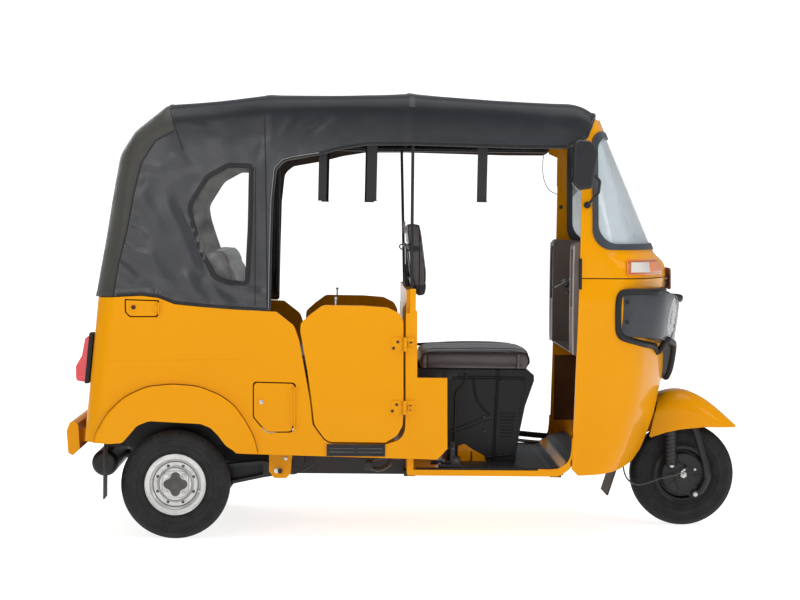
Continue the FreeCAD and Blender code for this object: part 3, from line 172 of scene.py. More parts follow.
def tube_data(path, r, seg=10, closed=False, cap=True, up=None, radii=None, flat=1.0):
    fr = frames_along(path, closed, up)
    V, F = [], []
    n = len(path)
    for i, (p, (t, a, b)) in enumerate(zip(path, fr)):
        rr = radii[i] if radii is not None else r
        for k in range(seg):
            th = 2 * math.pi * k / seg
            V.append(p + a * (rr * flat * math.cos(th)) + b * (rr * math.sin(th)))
    for i in range(n if closed else n - 1):
        j = (i + 1) % n
        for k in range(seg):
            l = (k + 1) % seg
            F.append((i * seg + k, i * seg + l, j * seg + l, j * seg + k))
    if cap and not closed:
        for i, s in ((0, 1), (n - 1, -1)):
            c = len(V)
            p, (t, a, b) = path[i], fr[i]
            rr = radii[i] if radii is not None else r
            V.append(p - t * (s * rr * 0.25))
            for k in range(seg):
                l = (k + 1) % seg
                F.append((c, i * seg + l, i * seg + k) if s > 0 else (c, i * seg + k, i * seg + l))
    return V, F


def tube(name, pts, r, mat, body, slot=None, seg=10, per=8, closed=False, curve=True, **kw):
    path = smooth_path(pts, per, closed) if curve else [Vector(p) for p in pts]
    V, F = tube_data(path, r, seg, closed, **kw)
    return add(name, V, F, mat, body)


class Pile:
    """Several small shapes gathered into one mesh."""

    def __init__(self):
        self.V, self.F = [], []

    def put(self, V, F):
        o = len(self.V)
        self.V += [Vector(v) for v in V]
        self.F += [tuple(i + o for i in f) for f in F]
        return self

    def tube(self, pts, r, seg=8, per=6, closed=False, curve=True, **kw):
        path = smooth_path(pts, per, closed) if curve else [Vector(p) for p in pts]
        return self.put(*tube_data(path, r, seg, closed, **kw))

    def lathe(self, origin, axis, profile, seg=20):
        return self.put(*lathe_data(origin, axis, profile, seg))

    def box(self, lo, hi, bev=0.001):
        return self.put(*rbox_data(lo, hi, bev))

    def done(self, name, mat, body=None, slot=None, smooth=True, angle=35):
        bm = bmesh.new()
        vs = [bm.verts.new(v) for v in self.V]
        for f in self.F:
            try:
                bm.faces.new([vs[i] for i in f])
            except ValueError:
                pass
        return from_bm(name, bm, mat, body, smooth, angle)


def basis(axis):
    a = Vector(axis).normalized()
    u = Vector((0, 0, 1)) if abs(a.z) < 0.9 else Vector((1, 0, 0))
    u = (u - a * u.dot(a)).normalized()
    return a, u, a.cross(u)


def lathe_data(origin, axis, profile, seg=24):
    """A closed profile of (distance along axis, radius) turned about the axis; radius 0 closes an end."""
    o = Vector(origin)
    a, u, w = basis(axis)
    V, F, rows = [], [], []
    for s, r in profile:
        if r < 1e-7:
            rows.append([len(V)])
            V.append(o + a * s)
        else:
            rows.append(list(range(len(V), len(V) + seg)))
            for k in range(seg):
                th = 2 * math.pi * k / seg
                V.append(o + a * s + u * (r * math.cos(th)) + w * (r * math.sin(th)))
    for A, B in zip(rows, rows[1:]):
        for k in range(seg):
            l = (k + 1) % seg
            if len(A) == 1 and len(B) == 1:
                continue
            if len(A) == 1:
                F.append((A[0], B[k], B[l]))
            elif len(B) == 1:
                F.append((A[k], B[0], A[l]))
            else:
                F.append((A[k], B[k], B[l], A[l]))
    return V, F


def rbox_data(lo, hi, bev=0.001):
    """A box with chamfered edges."""
    lo, hi = Vector(lo), Vector(hi)
    bev = min(bev, min(hi[i] - lo[i] for i in range(3)) * 0.45)
    bm = bmesh.new()
    c = (lo + hi) / 2
    d = hi - lo
    bmesh.ops.create_cube(bm, size=1.0, matrix=Matrix.Translation(c) @ Matrix.Diagonal((d.x, d.y, d.z, 1)))
    bmesh.ops.bevel(bm, geom=list(bm.edges), offset=bev, segments=2, affect="EDGES", profile=0.7)
    V = [v.co.copy() for v in bm.verts]
    bm.verts.index_update()
    F = [tuple(v.index for v in f.verts) for f in bm.faces]
    bm.free()
    return V, F


def rounded2d(pts, seg=6):
    """A polygon whose corners (a, b, r) are rounded, as a list of 2-D points."""
    out = []
    n = len(pts)
    for i in range(n):
        a, b, c = (np.array(pts[j % n][:2], float) for j in (i - 1, i, i + 1))
        r = pts[i][2] if len(pts[i]) > 2 else 0
        if r <= 0:
            out.append(tuple(b))
            continue
        u, w = a - b, c - b
        lu, lw = np.linalg.norm(u), np.linalg.norm(w)
        u, w = u / lu, w / lw
        ang = math.acos(max(-1, min(1, float(u @ w))))
        if ang > math.pi - 0.02:
            out.append(tuple(b))
            continue
        d = min(r / math.tan(ang / 2), 0.49 * lu, 0.49 * lw)
        rr = d * math.tan(ang / 2)
        s, e = b + u * d, b + w * d
        bis = (u + w) / np.linalg.norm(u + w)
        cen = b + bis * (rr / math.sin(ang / 2))
        a0 = math.atan2(*(s - cen)[::-1])
        a1 = math.atan2(*(e - cen)[::-1])
        da = (a1 - a0 + math.pi) % (2 * math.pi) - math.pi
        for k in range(seg + 1):
            t = a0 + da * k / seg
            out.append((cen[0] + rr * math.cos(t), cen[1] + rr * math.sin(t)))
    return out


def plate(name, pts2d, to3d, t, mat, body, bev=0.0015, seg=2, angle=40):
    """A flat plate: 2-D outline lifted by to3d(a, b, depth) with depth from 0 to t."""
    bm = bmesh.new()
    top = [bm.verts.new(to3d(a, b, t)) for a, b in pts2d]
    bot = [bm.verts.new(to3d(a, b, 0)) for a, b in pts2d]
    n = len(top)
    ft = bm.faces.new(top)
    bm.faces.new(bot[::-1])
    for i in range(n):
        j = (i + 1) % n
        bm.faces.new((top[i], bot[i], bot[j], top[j]))
    if bev:
        bmesh.ops.bevel(bm, geom=[e for e in ft.edges], offset=bev, segments=seg, affect="EDGES", profile=0.6)
    bmesh.ops.triangulate(bm, faces=[f for f in bm.faces if len(f.verts) > 4])
    return from_bm(name, bm, mat, body, True, angle)


def on_right(y):
    """Side view outline (station mm, z mm) to a plate on the right side growing outward from plane y (mm)."""
    return lambda a, b, d: Vector((SX(a), y / 1000 - d, b / 1000))


def mirror_copy(ob, name, body=None):
    me = ob.data.copy()
    me.transform(Matrix.Diagonal((1, -1, 1, 1)))
    me.flip_normals()
    o2 = bpy.data.objects.new(name, me)
    coll.objects.link(o2)
    if body:
        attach(o2, body)
    return o2


# ------------------------------------------------------------------ materials
class Look:
    """A node material. Its patterns read the object's own coordinates, in metres."""

    def __init__(self, name, **sockets):
        self.mat = bpy.data.materials.new(name)
        self.mat.use_nodes = True
        self.nt = self.mat.node_tree
        self.nt.nodes.clear()
        self.out = self.nt.nodes.new("ShaderNodeOutputMaterial")
        self.b = self.nt.nodes.new("ShaderNodeBsdfPrincipled")
        self.nt.links.new(self.b.outputs[0], self.out.inputs[0])
        self.tc = self.nt.nodes.new("ShaderNodeTexCoord")
        self.co = self.tc.outputs["Object"]
        self.set(**sockets)

    def set(self, **sockets):
        for k, v in sockets.items():
            s = self.b.inputs[k.replace("_", " ")]
            if isinstance(v, bpy.types.NodeSocket):
                self.nt.links.new(v, s)
            elif isinstance(v, (tuple, list)) and len(v) == 3:
                s.default_value = (*v, 1.0)
            else:
                s.default_value = v
        return self

    def node(self, kind, **inputs):
        n = self.nt.nodes.new(kind)
        for k, v in inputs.items():
            s = n.inputs[k.replace("_", " ")] if isinstance(k, str) and k.replace("_", " ") in n.inputs else n.inputs[int(k[1:])]
            if isinstance(v, bpy.types.NodeSocket):
                self.nt.links.new(v, s)
            elif isinstance(v, (tuple, list)) and len(v) == 3 and s.type == "RGBA":
                s.default_value = (*v, 1.0)
            else:
                s.default_value = v
        return n

    def scaled(self, sx, sy, sz, rot=(0, 0, 0)):
        m = self.nt.nodes.new("ShaderNodeMapping")
        m.inputs["Scale"].default_value = (sx, sy, sz)
        m.inputs["Rotation"].default_value = rot
        self.nt.links.new(self.co, m.inputs["Vector"])
        return m.outputs[0]

    def noise(self, scale, detail=2.0, rough=0.5, vec=None, distortion=0.0):
        n = self.node("ShaderNodeTexNoise", Vector=vec or self.co, Scale=scale, Detail=detail, Roughness=rough, Distortion=distortion)
        return n.outputs["Fac"]

    def cells(self, scale, vec=None, feature="F1", out="Distance", randomness=1.0):
        n = self.nt.nodes.new("ShaderNodeTexVoronoi")
        n.feature = feature
        n.inputs["Scale"].default_value = scale
        n.inputs["Randomness"].default_value = randomness
        self.nt.links.new(vec or self.co, n.inputs["Vector"])
        return n.outputs[out]

    def xyz(self, which, vec=None):
        n = self.node("ShaderNodeSeparateXYZ")
        self.nt.links.new(vec or self.co, n.inputs[0])
        return n.outputs[which]

    def m(self, op, a, b=0.0, c=None, clamp=False):
        n = self.nt.nodes.new("ShaderNodeMath")
        n.operation = op
        n.use_clamp = clamp
        for i, v in enumerate((a, b) if c is None else (a, b, c)):
            if isinstance(v, bpy.types.NodeSocket):
                self.nt.links.new(v, n.inputs[i])
            else:
                n.inputs[i].default_value = v
        return n.outputs[0]

    def span(self, v, a, b, lo=0.0, hi=1.0):
        n = self.node("ShaderNodeMapRange")
        self.nt.links.new(v, n.inputs["Value"])
        for k, x in (("From Min", a), ("From Max", b), ("To Min", lo), ("To Max", hi)):
            n.inputs[k].default_value = x
        return n.outputs[0]

    def mix(self, f, a, b):
        n = self.nt.nodes.new("ShaderNodeMix")
        n.data_type = "RGBA"
        for s, v in ((n.inputs["Factor"], f), (n.inputs[6], a), (n.inputs[7], b)):
            if isinstance(v, bpy.types.NodeSocket):
                self.nt.links.new(v, s)
            elif isinstance(v, (tuple, list)):
                s.default_value = (*v[:3], 1.0)
            else:
                s.default_value = v
        return n.outputs[2]

    def bump(self, h, strength=0.2, distance=0.001, normal=None):
        n = self.node("ShaderNodeBump", Height=h, Strength=strength, Distance=distance)
        if normal is not None:
            self.nt.links.new(normal, n.inputs["Normal"])
        return n.outputs[0]


def paint_look(name, base, shade, rough=0.34, coat=0.36):
    k = Look(name, Coat_Weight=coat, Coat_Roughness=0.05, Coat_IOR=1.33, Specular_IOR_Level=0.03)
    broad = k.noise(1.3, 3, 0.55)
    fine = k.noise(38, 4, 0.6)
    low = k.span(k.xyz("Z"), 0.20, 0.55, 0.55, 0.0)
    f = k.m("ADD", k.m("MULTIPLY", k.span(broad, 0.3, 0.7), 0.35), k.m("MULTIPLY", k.span(fine, 0.35, 0.75), 0.10))
    f = k.m("ADD", f, k.m("MULTIPLY", low, 0.5), clamp=True)
    k.set(Base_Color=k.mix(f, base, shade), Roughness=k.span(fine, 0.2, 0.8, rough - 0.05, rough + 0.06))
    k.set(Normal=k.bump(k.noise(420, 2, 0.5), 0.05, 0.0004))
    return k.mat


def vinyl_look(name, base, lift, rough, grain=650.0, depth=0.35, sheen=0.08, broad=5.0, painted_light_by_height=False):
    """Coated cloth or seat vinyl: a pebbled grain over a faint weave, with rubbed lighter patches."""
    k = Look(name, Sheen_Weight=sheen, Sheen_Roughness=0.45, Specular_IOR_Level=0.24)
    peb = k.cells(grain, feature="SMOOTH_F1")
    cre = k.noise(grain * 0.45, 3, 0.6)
    rub = k.noise(broad, 4, 0.62)
    f = k.m("ADD", k.m("MULTIPLY", k.span(rub, 0.35, 0.72), 0.55), k.m("MULTIPLY", k.span(peb, 0.0, 0.6), 0.35), clamp=True)
    k.set(Base_Color=k.mix(f, base, lift), Roughness=k.span(rub, 0.3, 0.7, rough + 0.06, rough - 0.05))
    # painted light: above 1.50 m the pale patches fade and the specular level falls, so the roof is painted shaded and
    # the lower sides painted lit and glossier
    if painted_light_by_height:
        f = k.m("MULTIPLY", f, k.span(k.xyz("Z"), 1.50, 1.66, 1.0, 0.25))
        k.set(Specular_IOR_Level=k.span(k.xyz("Z"), 1.46, 1.64, 0.62, 0.12))
        k.set(Base_Color=k.mix(f, base, lift))
    n1 = k.bump(peb, depth, 0.0006)
    n2 = k.bump(cre, depth * 0.5, 0.0006, n1)
    k.set(Normal=k.bump(k.noise(60, 3, 0.5), 0.10, 0.0012, n2))
    return k.mat


def moulded_look(name, base, lift, rough=0.5, grain=900.0, depth=0.2, coat=0.0):
    k = Look(name, Coat_Weight=coat, Coat_Roughness=0.25, Specular_IOR_Level=0.26)
    g = k.noise(grain, 3, 0.6)
    b = k.noise(9, 4, 0.6)
    k.set(Base_Color=k.mix(k.span(b, 0.3, 0.75), base, lift), Roughness=k.span(b, 0.3, 0.7, rough - 0.06, rough + 0.07), Normal=k.bump(g, depth, 0.0004))
    return k.mat


def metal_look(name, base, dark, rough=0.32, metallic=1.0, grain=500.0, depth=0.08, coat=0.0, blotch=14):
    k = Look(name, Metallic=metallic, Coat_Weight=coat, Coat_Roughness=0.12, Specular_IOR_Level=0.3)
    b = k.noise(blotch, 5, 0.62)
    g = k.noise(grain, 3, 0.6)
    k.set(Base_Color=k.mix(k.span(b, 0.42, 0.78), base, dark), Roughness=k.span(b, 0.25, 0.75, rough, rough + 0.16), Normal=k.bump(g, depth, 0.0004))
    return k.mat


M = {}
M["body_paint"] = paint_look("paint_yellow", (0.735, 0.300, 0.0004), (0.675, 0.258, 0.0004))
# the hood vinyl carries painted light by height: a darker, duller roof and lighter, glossier sides
M["hood_vinyl"] = vinyl_look("hood_vinyl", (0.0120, 0.0125, 0.0150), (0.036, 0.037, 0.042), 0.33, depth=0.12, sheen=0.05, painted_light_by_height=True)
# light grey cord colour, used only for the cord along each doorway edge: a painted highlight
M["hood_piping"] = vinyl_look("hood_piping", (0.20, 0.195, 0.19), (0.26, 0.25, 0.245), 0.4, grain=900, depth=0.2)
# a lighter, greyer copy of the hood vinyl for the rear panel: painted light for the lit rear side
M["hood_rear"] = vinyl_look("hood_vinyl_rear_lit", (0.040, 0.039, 0.033), (0.056, 0.054, 0.046), 0.46, sheen=0.08)
M["hood_inner"] = vinyl_look("hood_lining", (0.060, 0.045, 0.036), (0.085, 0.066, 0.055), 0.7, grain=900, depth=0.2, sheen=0.15)
M["hood_edge"] = vinyl_look("hood_binding", (0.010, 0.010, 0.011), (0.020, 0.020, 0.022), 0.38, grain=900, depth=0.2)
M["seat_vinyl"] = vinyl_look("seat_vinyl", (0.019, 0.010, 0.008), (0.032, 0.018, 0.015), 0.36, grain=520, depth=0.10, sheen=0.06, broad=7)
M["seat_vinyl"].node_tree.nodes["Principled BSDF"].inputs["Specular IOR Level"].default_value = 0.75
M["seat_vinyl"].node_tree.nodes["Principled BSDF"].inputs["Coat Weight"].default_value = 0.50
M["seat_vinyl"].node_tree.nodes["Principled BSDF"].inputs["Coat Roughness"].default_value = 0.22
M["seat_piping"] = vinyl_look("seat_piping", (0.020, 0.014, 0.013), (0.034, 0.024, 0.022), 0.42, grain=900, depth=0.2)
M["black_steel"] = metal_look("black_enamel", (0.009, 0.009, 0.010), (0.018, 0.016, 0.015), 0.34, metallic=0.0, coat=0.15)
M["black_plastic"] = moulded_look("black_plastic", (0.010, 0.010, 0.012), (0.020, 0.020, 0.023), 0.42, coat=0.15)
M["grey_plastic"] = moulded_look("grey_plastic", (0.030, 0.033, 0.038), (0.043, 0.047, 0.054), 0.36, coat=0.25, depth=0.12)
M["dash_plastic"] = moulded_look("dash_plastic", (0.125, 0.098, 0.088), (0.168, 0.138, 0.126), 0.52, grain=700)
M["dash_edge"] = moulded_look("dash_edge", (0.30, 0.265, 0.25), (0.38, 0.34, 0.32), 0.45, grain=700)
M["seal_rubber"] = moulded_look("seal_rubber", (0.030, 0.036, 0.043), (0.044, 0.052, 0.062), 0.46, coat=0.1)
M["black_rubber"] = moulded_look("black_rubber", (0.010, 0.010, 0.011), (0.017, 0.017, 0.018), 0.55)
M["zinc"] = metal_look("zinc_plate", (0.62, 0.62, 0.60), (0.40, 0.39, 0.37), 0.28)
M["zinc_dull"] = metal_look("zinc_dull", (0.11, 0.105, 0.10), (0.06, 0.056, 0.054), 0.45)
M["dark_bolt"] = metal_look("dark_bolt", (0.045, 0.043, 0.045), (0.085, 0.080, 0.078), 0.35, metallic=0.8)
M["chrome"] = metal_look("chrome", (0.80, 0.80, 0.80), (0.70, 0.70, 0.69), 0.06, depth=0.01)
M["base_gloss"] = moulded_look("base_gloss", (0.004, 0.004, 0.005), (0.010, 0.010, 0.012), 0.36, coat=0.08)
M["hub_grey"] = metal_look("hub_grey", (0.075, 0.072, 0.070), (0.12, 0.115, 0.11), 0.42, metallic=0.4)
M["spring_black"] = metal_look("spring_black", (0.020, 0.020, 0.021), (0.05, 0.048, 0.046), 0.28, metallic=0.3, coat=0.5)
M["latch_steel"] = metal_look("latch_steel", (0.50, 0.55, 0.60), (0.36, 0.40, 0.45), 0.30, metallic=0.6)

k = Look("tyre_rubber", Specular_IOR_Level=0.16)
d = k.span(k.noise(22, 5, 0.65), 0.35, 0.75)
fine = k.noise(700, 3, 0.6)
k.set(Base_Color=k.mix(d, (0.0145, 0.0145, 0.0155), (0.030, 0.029, 0.028)), Roughness=k.span(d, 0, 1, 0.58, 0.74), Normal=k.bump(fine, 0.25, 0.0005))
M["tyre_rubber"] = k.mat

k = Look("mat_rubber", Specular_IOR_Level=0.45)
d = k.span(k.noise(16, 5, 0.65), 0.35, 0.75)
k.set(Base_Color=k.mix(d, (0.012, 0.012, 0.013), (0.026, 0.024, 0.023)), Roughness=k.span(d, 0, 1, 0.48, 0.68), Normal=k.bump(k.noise(600, 3, 0.6), 0.2, 0.0005))
M["mat_rubber"] = k.mat

k = Look("flap_rubber", Specular_IOR_Level=0.4)
d = k.span(k.noise(26, 5, 0.65), 0.35, 0.75)
k.set(Base_Color=k.mix(d, (0.022, 0.016, 0.013), (0.045, 0.034, 0.028)), Roughness=0.62, Normal=k.bump(k.noise(500, 3, 0.6), 0.2, 0.0005))
M["flap_rubber"] = k.mat

# painted steel rims: silver enamel with a blotchy tone over fine casting marks
k = Look("rim_silver", Metallic=0.55, Coat_Weight=0.35, Coat_Roughness=0.18)
d = k.noise(30, 4, 0.6)
k.set(Base_Color=k.mix(k.span(d, 0.45, 0.8), (0.60, 0.60, 0.59), (0.44, 0.43, 0.42)), Roughness=k.span(d, 0.3, 0.7, 0.30, 0.42), Normal=k.bump(k.noise(500, 3, 0.5), 0.08, 0.0004))
M["rim_steel"] = k.mat

# cast engine and gearbox
k = Look("cast_metal", Metallic=0.7)
d = k.noise(18, 6, 0.68)
k.set(Base_Color=k.mix(k.span(d, 0.35, 0.75), (0.10, 0.10, 0.10), (0.035, 0.033, 0.032)), Roughness=k.span(d, 0.3, 0.7, 0.45, 0.7), Normal=k.bump(k.noise(260, 5, 0.7), 0.45, 0.0012))
M["cast_metal"] = k.mat

k = Look("clear_glass", Roughness=0.03, IOR=1.45, Coat_Weight=0.6, Coat_Roughness=0.02)
d = k.noise(6, 3, 0.6)
k.set(Base_Color=k.mix(k.span(d, 0.3, 0.8), (0.56, 0.64, 0.69), (0.62, 0.70, 0.74)), Alpha=k.span(d, 0.3, 0.8, 0.52, 0.60))
M["clear_glass"] = k.mat

k = Look("hood_film", Roughness=0.10, IOR=1.45, Coat_Weight=0.5, Coat_Roughness=0.08)
d = k.noise(9, 4, 0.6)
k.set(Base_Color=k.mix(d, (0.80, 0.82, 0.82), (0.86, 0.87, 0.86)), Alpha=k.span(d, 0.35, 0.75, 0.03, 0.09), Normal=k.bump(k.noise(14, 3, 0.5), 0.25, 0.004))
M["hood_film"] = k.mat


def lens_look(name, base, deep, flute, rough=0.08, emit=0.0, alpha=1.0, transmission=0.0):
    k = Look(name, Roughness=rough, IOR=1.49, Coat_Weight=1.0, Coat_Roughness=0.03, Transmission_Weight=transmission, Emission_Strength=emit)
    d = k.noise(24, 3, 0.5)
    z = k.m("MULTIPLY", k.xyz("Z"), flute)
    y = k.m("MULTIPLY", k.xyz("Y"), flute)
    w = k.m("MULTIPLY", k.m("SINE", z), k.m("SINE", y))
    k.set(Base_Color=k.mix(k.span(w, -1, 1), base, deep), Alpha=alpha, Normal=k.bump(k.m("ADD", w, k.m("MULTIPLY", d, 0.3)), 0.35, 0.0012))
    k.set(Emission_Color=base)
    return k.mat


M["tail_lens"] = lens_look("tail_lens", (0.72, 0.008, 0.020), (0.50, 0.004, 0.012), 700, emit=0.05)
M["amber_lens"] = lens_look("amber_lens", (0.88, 0.23, 0.020), (0.74, 0.15, 0.012), 800, emit=0.05)
M["clear_lens"] = lens_look("clear_lens", (0.74, 0.70, 0.66), (0.58, 0.53, 0.50), 800)
M["lamp_lens"] = lens_look("lamp_lens", (0.80, 0.83, 0.85), (0.62, 0.66, 0.70), 420, alpha=0.42)
M["lens_frame"] = moulded_look("lens_frame", (0.36, 0.085, 0.010), (0.46, 0.115, 0.014), 0.35, coat=0.5)
M["reflex_red"] = lens_look("reflex_red", (0.16, 0.010, 0.008), (0.10, 0.006, 0.006), 1500)

k = Look("mirror_glass", Metallic=1.0)
k.set(Base_Color=k.mix(k.noise(8, 2, 0.5), (0.82, 0.84, 0.86), (0.76, 0.79, 0.82)), Roughness=k.span(k.noise(30, 3, 0.5), 0.3, 0.7, 0.015, 0.035))
M["mirror_glass"] = k.mat

k = Look("plate_white", Coat_Weight=0.4, Coat_Roughness=0.1)
d = k.noise(30, 4, 0.6)
k.set(Base_Color=k.mix(k.span(d, 0.4, 0.8), (0.78, 0.78, 0.74), (0.68, 0.67, 0.62)), Roughness=0.4, Normal=k.bump(k.noise(300, 2, 0.5), 0.05, 0.0004))
M["plate_paint"] = k.mat

k = Look("dial_face", Coat_Weight=0.8, Coat_Roughness=0.03)
k.set(Base_Color=k.mix(k.noise(50, 2, 0.5), (0.012, 0.012, 0.013), (0.020, 0.020, 0.022)), Roughness=0.4)
M["dial_face"] = k.mat
# the dial marks glow faintly though nothing lights them: painted light
k = Look("dial_mark", Emission_Strength=0.1, Emission_Color=(0.9, 0.9, 0.85))
k.set(Base_Color=k.mix(k.noise(50, 2, 0.5), (0.85, 0.85, 0.80), (0.75, 0.75, 0.70)), Roughness=0.5)
M["dial_mark"] = k.mat
k = Look("foam_dark", Specular_IOR_Level=0.2)
k.set(Base_Color=k.mix(k.noise(200, 3, 0.6), (0.02, 0.018, 0.017), (0.035, 0.03, 0.028)), Roughness=0.8, Normal=k.bump(k.noise(500, 3, 0.6), 0.3, 0.0006))
M["foam_dark"] = k.mat
M["cable_grey"] = moulded_look("cable_sheath", (0.045, 0.045, 0.048), (0.075, 0.074, 0.076), 0.42)
M["wire_grey"] = moulded_look("wire_sheath", (0.16, 0.15, 0.145), (0.22, 0.21, 0.20), 0.45)
M["strap_web"] = None
k = Look("strap_web", Sheen_Weight=0.25, Sheen_Roughness=0.5, Specular_IOR_Level=0.3)
wx = k.m("SINE", k.m("MULTIPLY", k.m("ADD", k.xyz("X"), k.xyz("Z")), 3400))
wz = k.m("SINE", k.m("MULTIPLY", k.m("SUBTRACT", k.xyz("X"), k.xyz("Z")), 3400))
k.set(Base_Color=k.mix(k.span(k.m("ADD", wx, wz), -1.5, 1.5), (0.009, 0.009, 0.010), (0.022, 0.022, 0.024)), Roughness=0.68, Normal=k.bump(k.m("ADD", wx, wz), 0.25, 0.0004))
M["strap_web"] = k.mat
k = Look("thread", Sheen_Weight=0.2)
k.set(Base_Color=k.mix(k.noise(900, 2, 0.5), (0.035, 0.03, 0.028), (0.06, 0.052, 0.05)), Roughness=0.7)
M["thread"] = k.mat

SLOT_LOOK = {
    "signal_lens": "amber_lens", "mirror_shell": "black_plastic",
}


def dress(node, look):
    ob = NODES[node]
    for sl in ob.material_slots:
        sl.link = "OBJECT"
        sl.material = M[look]


for part in frame["record"]["subparts"]:
    slot_name = part["material_slot"]
    dress(part["node"], SLOT_LOOK.get(slot_name, slot_name))
dress("mud_flaps", "flap_rubber")
dress("wheel_houses", "black_plastic")

# ------------------------------------------------------------------ cords
# Route points as in part.py, in metres from the rear axle's station.
BRAKE_ROUTE = [
    (1.7075, -0.118, 0.450), (1.742, -0.118, 0.452), (1.768, -0.118, 0.425), (1.770, -0.118, 0.380), (1.765, -0.118, 0.330), (1.755, -0.118, 0.282), (1.753, -0.118, 0.236),
    (1.768, -0.118, 0.190), (1.807, -0.118, 0.165), (1.855, -0.118, 0.176), (1.900, -0.118, 0.195), (1.946, -0.118, 0.203), (1.978, -0.118, 0.213), (2.0035, -0.118, 0.2342),
]
PILLAR_ROUTE = [(1.474, 0.589, 1.5039), (1.471, 0.589, 1.482), (1.469, 0.589, 1.446), (1.472, 0.589, 1.404), (1.484, 0.589, 1.366), (1.504, 0.589, 1.340), (1.5318, 0.589, 1.331)]


def route_curve(name, pts):
    cu = bpy.data.curves.new(name, "CURVE")
    cu.dimensions = "3D"
    cu.resolution_u = 12
    sp = cu.splines.new("NURBS")
    sp.points.add(len(pts) - 1)
    for q, (x, y, z) in zip(sp.points, pts):
        q.co = (x + RX, y, z, 1.0)
    sp.order_u = 3
    sp.use_endpoint_u = True
    ob = bpy.data.objects.new(name, cu)
    coll.objects.link(ob)
    return ob


# the hand brake's outer cable: it leaves the steering head, hangs behind the wheel and ends on the brake plate
line = route_curve("brake_line", BRAKE_ROUTE)
line_me = bpy.data.meshes.new_from_object(line)
brake_path = [v.co.copy() for v in line_me.vertices]
bpy.data.objects.remove(line)
bpy.data.meshes.remove(line_me)
V, F = tube_data(brake_path, 0.0032, 14)
brake_cable = add("brake_cable_sheath", V, F, M["cable_grey"])
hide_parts("brake_cable")
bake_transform(brake_cable)
# ferrules: a tapered boot where it leaves the head, a crimped sleeve with a nut at the brake
boot = Pile()
b0 = Vector(brake_path[0])
dir0 = (Vector(brake_path[5]) - b0).normalized()
boot.lathe(b0 - dir0 * 0.001, dir0, [(0, 0), (0, 0.0072), (0.004, 0.0074), (0.006, 0.0060), (0.009, 0.0062), (0.011, 0.0052), (0.014, 0.0055), (0.016, 0.0045), (0.028, 0.0038), (0.028, 0)], 18)
boot_ob = boot.done("brake_cable_boot", M["black_rubber"], "body", "black_plastic")
sleeve = Pile()
e0 = Vector(brake_path[-1])
dir1 = (e0 - Vector(brake_path[-6])).normalized()
sleeve.lathe(e0 - dir1 * 0.022, dir1, [(0, 0), (0, 0.0042), (0.003, 0.0048), (0.010, 0.0048), (0.0105, 0.0068), (0.0165, 0.0068), (0.017, 0.0048), (0.0215, 0.0046), (0.0215, 0)], 12)
sleeve_ob = sleeve.done("brake_cable_sleeve", M["zinc"], "steering", "black_steel")

# the thin wire that loops from the doorway rail to the left pillar
pw = route_curve("pillar_wire_sheath", PILLAR_ROUTE)
pw.data.bevel_depth = 0.0016
pw.data.bevel_resolution = 4
pw.data.use_fill_caps = True
pw.data.materials.append(M["wire_grey"])
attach(pw, "body")
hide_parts("pillar_wire")
# ------------------------------------------------------------------ hood
# The hood is one sewn sheet over the bows. Its shape repeats the frame's sections: station, shoulder height, crown height,
# half width, shoulder radius, all in millimetres.
HOOD = np.array([
    (-420, 1188, 1196, 608, 80), (-252, 1414, 1424, 608, 88), (-168, 1548, 1562, 608, 90), (-45, 1645, 1664, 608, 92), (330, 1686, 1706, 612, 92),
    (886, 1697, 1717, 612, 92), (1512, 1664, 1682, 610, 90), (1548, 1652, 1668, 609, 88), (1604, 1612, 1630, 606, 84)], float)
HEM_Z, HEM_W = 820.0, 630.0
HOOD_VIEW = [
    (-460, 1790, 0), (-460, 914, 0), (-244, 917, 0), (-131, 925, 30), (-70, 918, 30), (-6, 893, 30), (89, 884, 60), (221, 875, 60), (357, 869, 10),
    (360, 1100, 0), (364, 1289, 60), (376, 1406, 40), (410, 1437, 40), (534, 1460, 100), (621, 1483, 80), (717, 1499, 60), (893, 1501, 0), (1310, 1493, 0),
    (1476, 1494, 20), (1507, 1518, 10), (1548, 1534, 12), (1574, 1600, 20), (1590, 1640, 0), (1590, 1790, 0),
]
SIDE_WINDOW = [(277, 1413, 12), (190, 1413, 20), (115, 1370, 60), (50, 1262, 60), (63, 1203, 0), (104, 1079, 60), (148, 996, 50), (200, 980, 20), (266, 977, 12)]
REAR_WINDOW = [(-330, 1130, 50), (330, 1130, 50), (300, 1370, 50), (-300, 1370, 50)]


def hood_at(x):
    return [np.interp(x, HOOD[:, 0], HOOD[:, i]) for i in (1, 2, 3, 4)]


def half_at(x, z):
    ze, zc, w, r = hood_at(x)
    lowpart = HEM_W + (w - HEM_W) * (z - HEM_Z) / (ze - r - HEM_Z)
    arcpart = w - r + np.sqrt(np.maximum(0, r ** 2 - np.maximum(0, z - (ze - r)) ** 2))
    crown = (w - r) * np.sqrt(np.maximum(0, zc - z) / (zc - ze))
    return np.where(z <= ze - r, lowpart, np.where(z <= ze, arcpart, np.where(z <= zc, crown, -1.0)))


def inside(P):
    x, y, z = P[..., 0], np.abs(P[..., 1]), P[..., 2]
    tl = -331 + 155 * (z - 800) / 960
    cx, cy = tl + 120, 512.0
    corner = (x < cx) & (y > cy)
    in_tub = np.where(corner, (x - cx) ** 2 + (y - cy) ** 2 <= 120.0 ** 2, x >= tl)
    return (y <= half_at(x, z)) & in_tub


def cast(C, D, far=1900.0):
    """Distance from C along D to the hood's outside."""
    lo = np.zeros(D.shape[:-1])
    hi = np.full(D.shape[:-1], far)
    for _ in range(34):
        mid = (lo + hi) / 2
        ok = inside(C + D * mid[..., None])
        lo, hi = np.where(ok, mid, lo), np.where(ok, hi, mid)
    return C + D * lo[..., None]


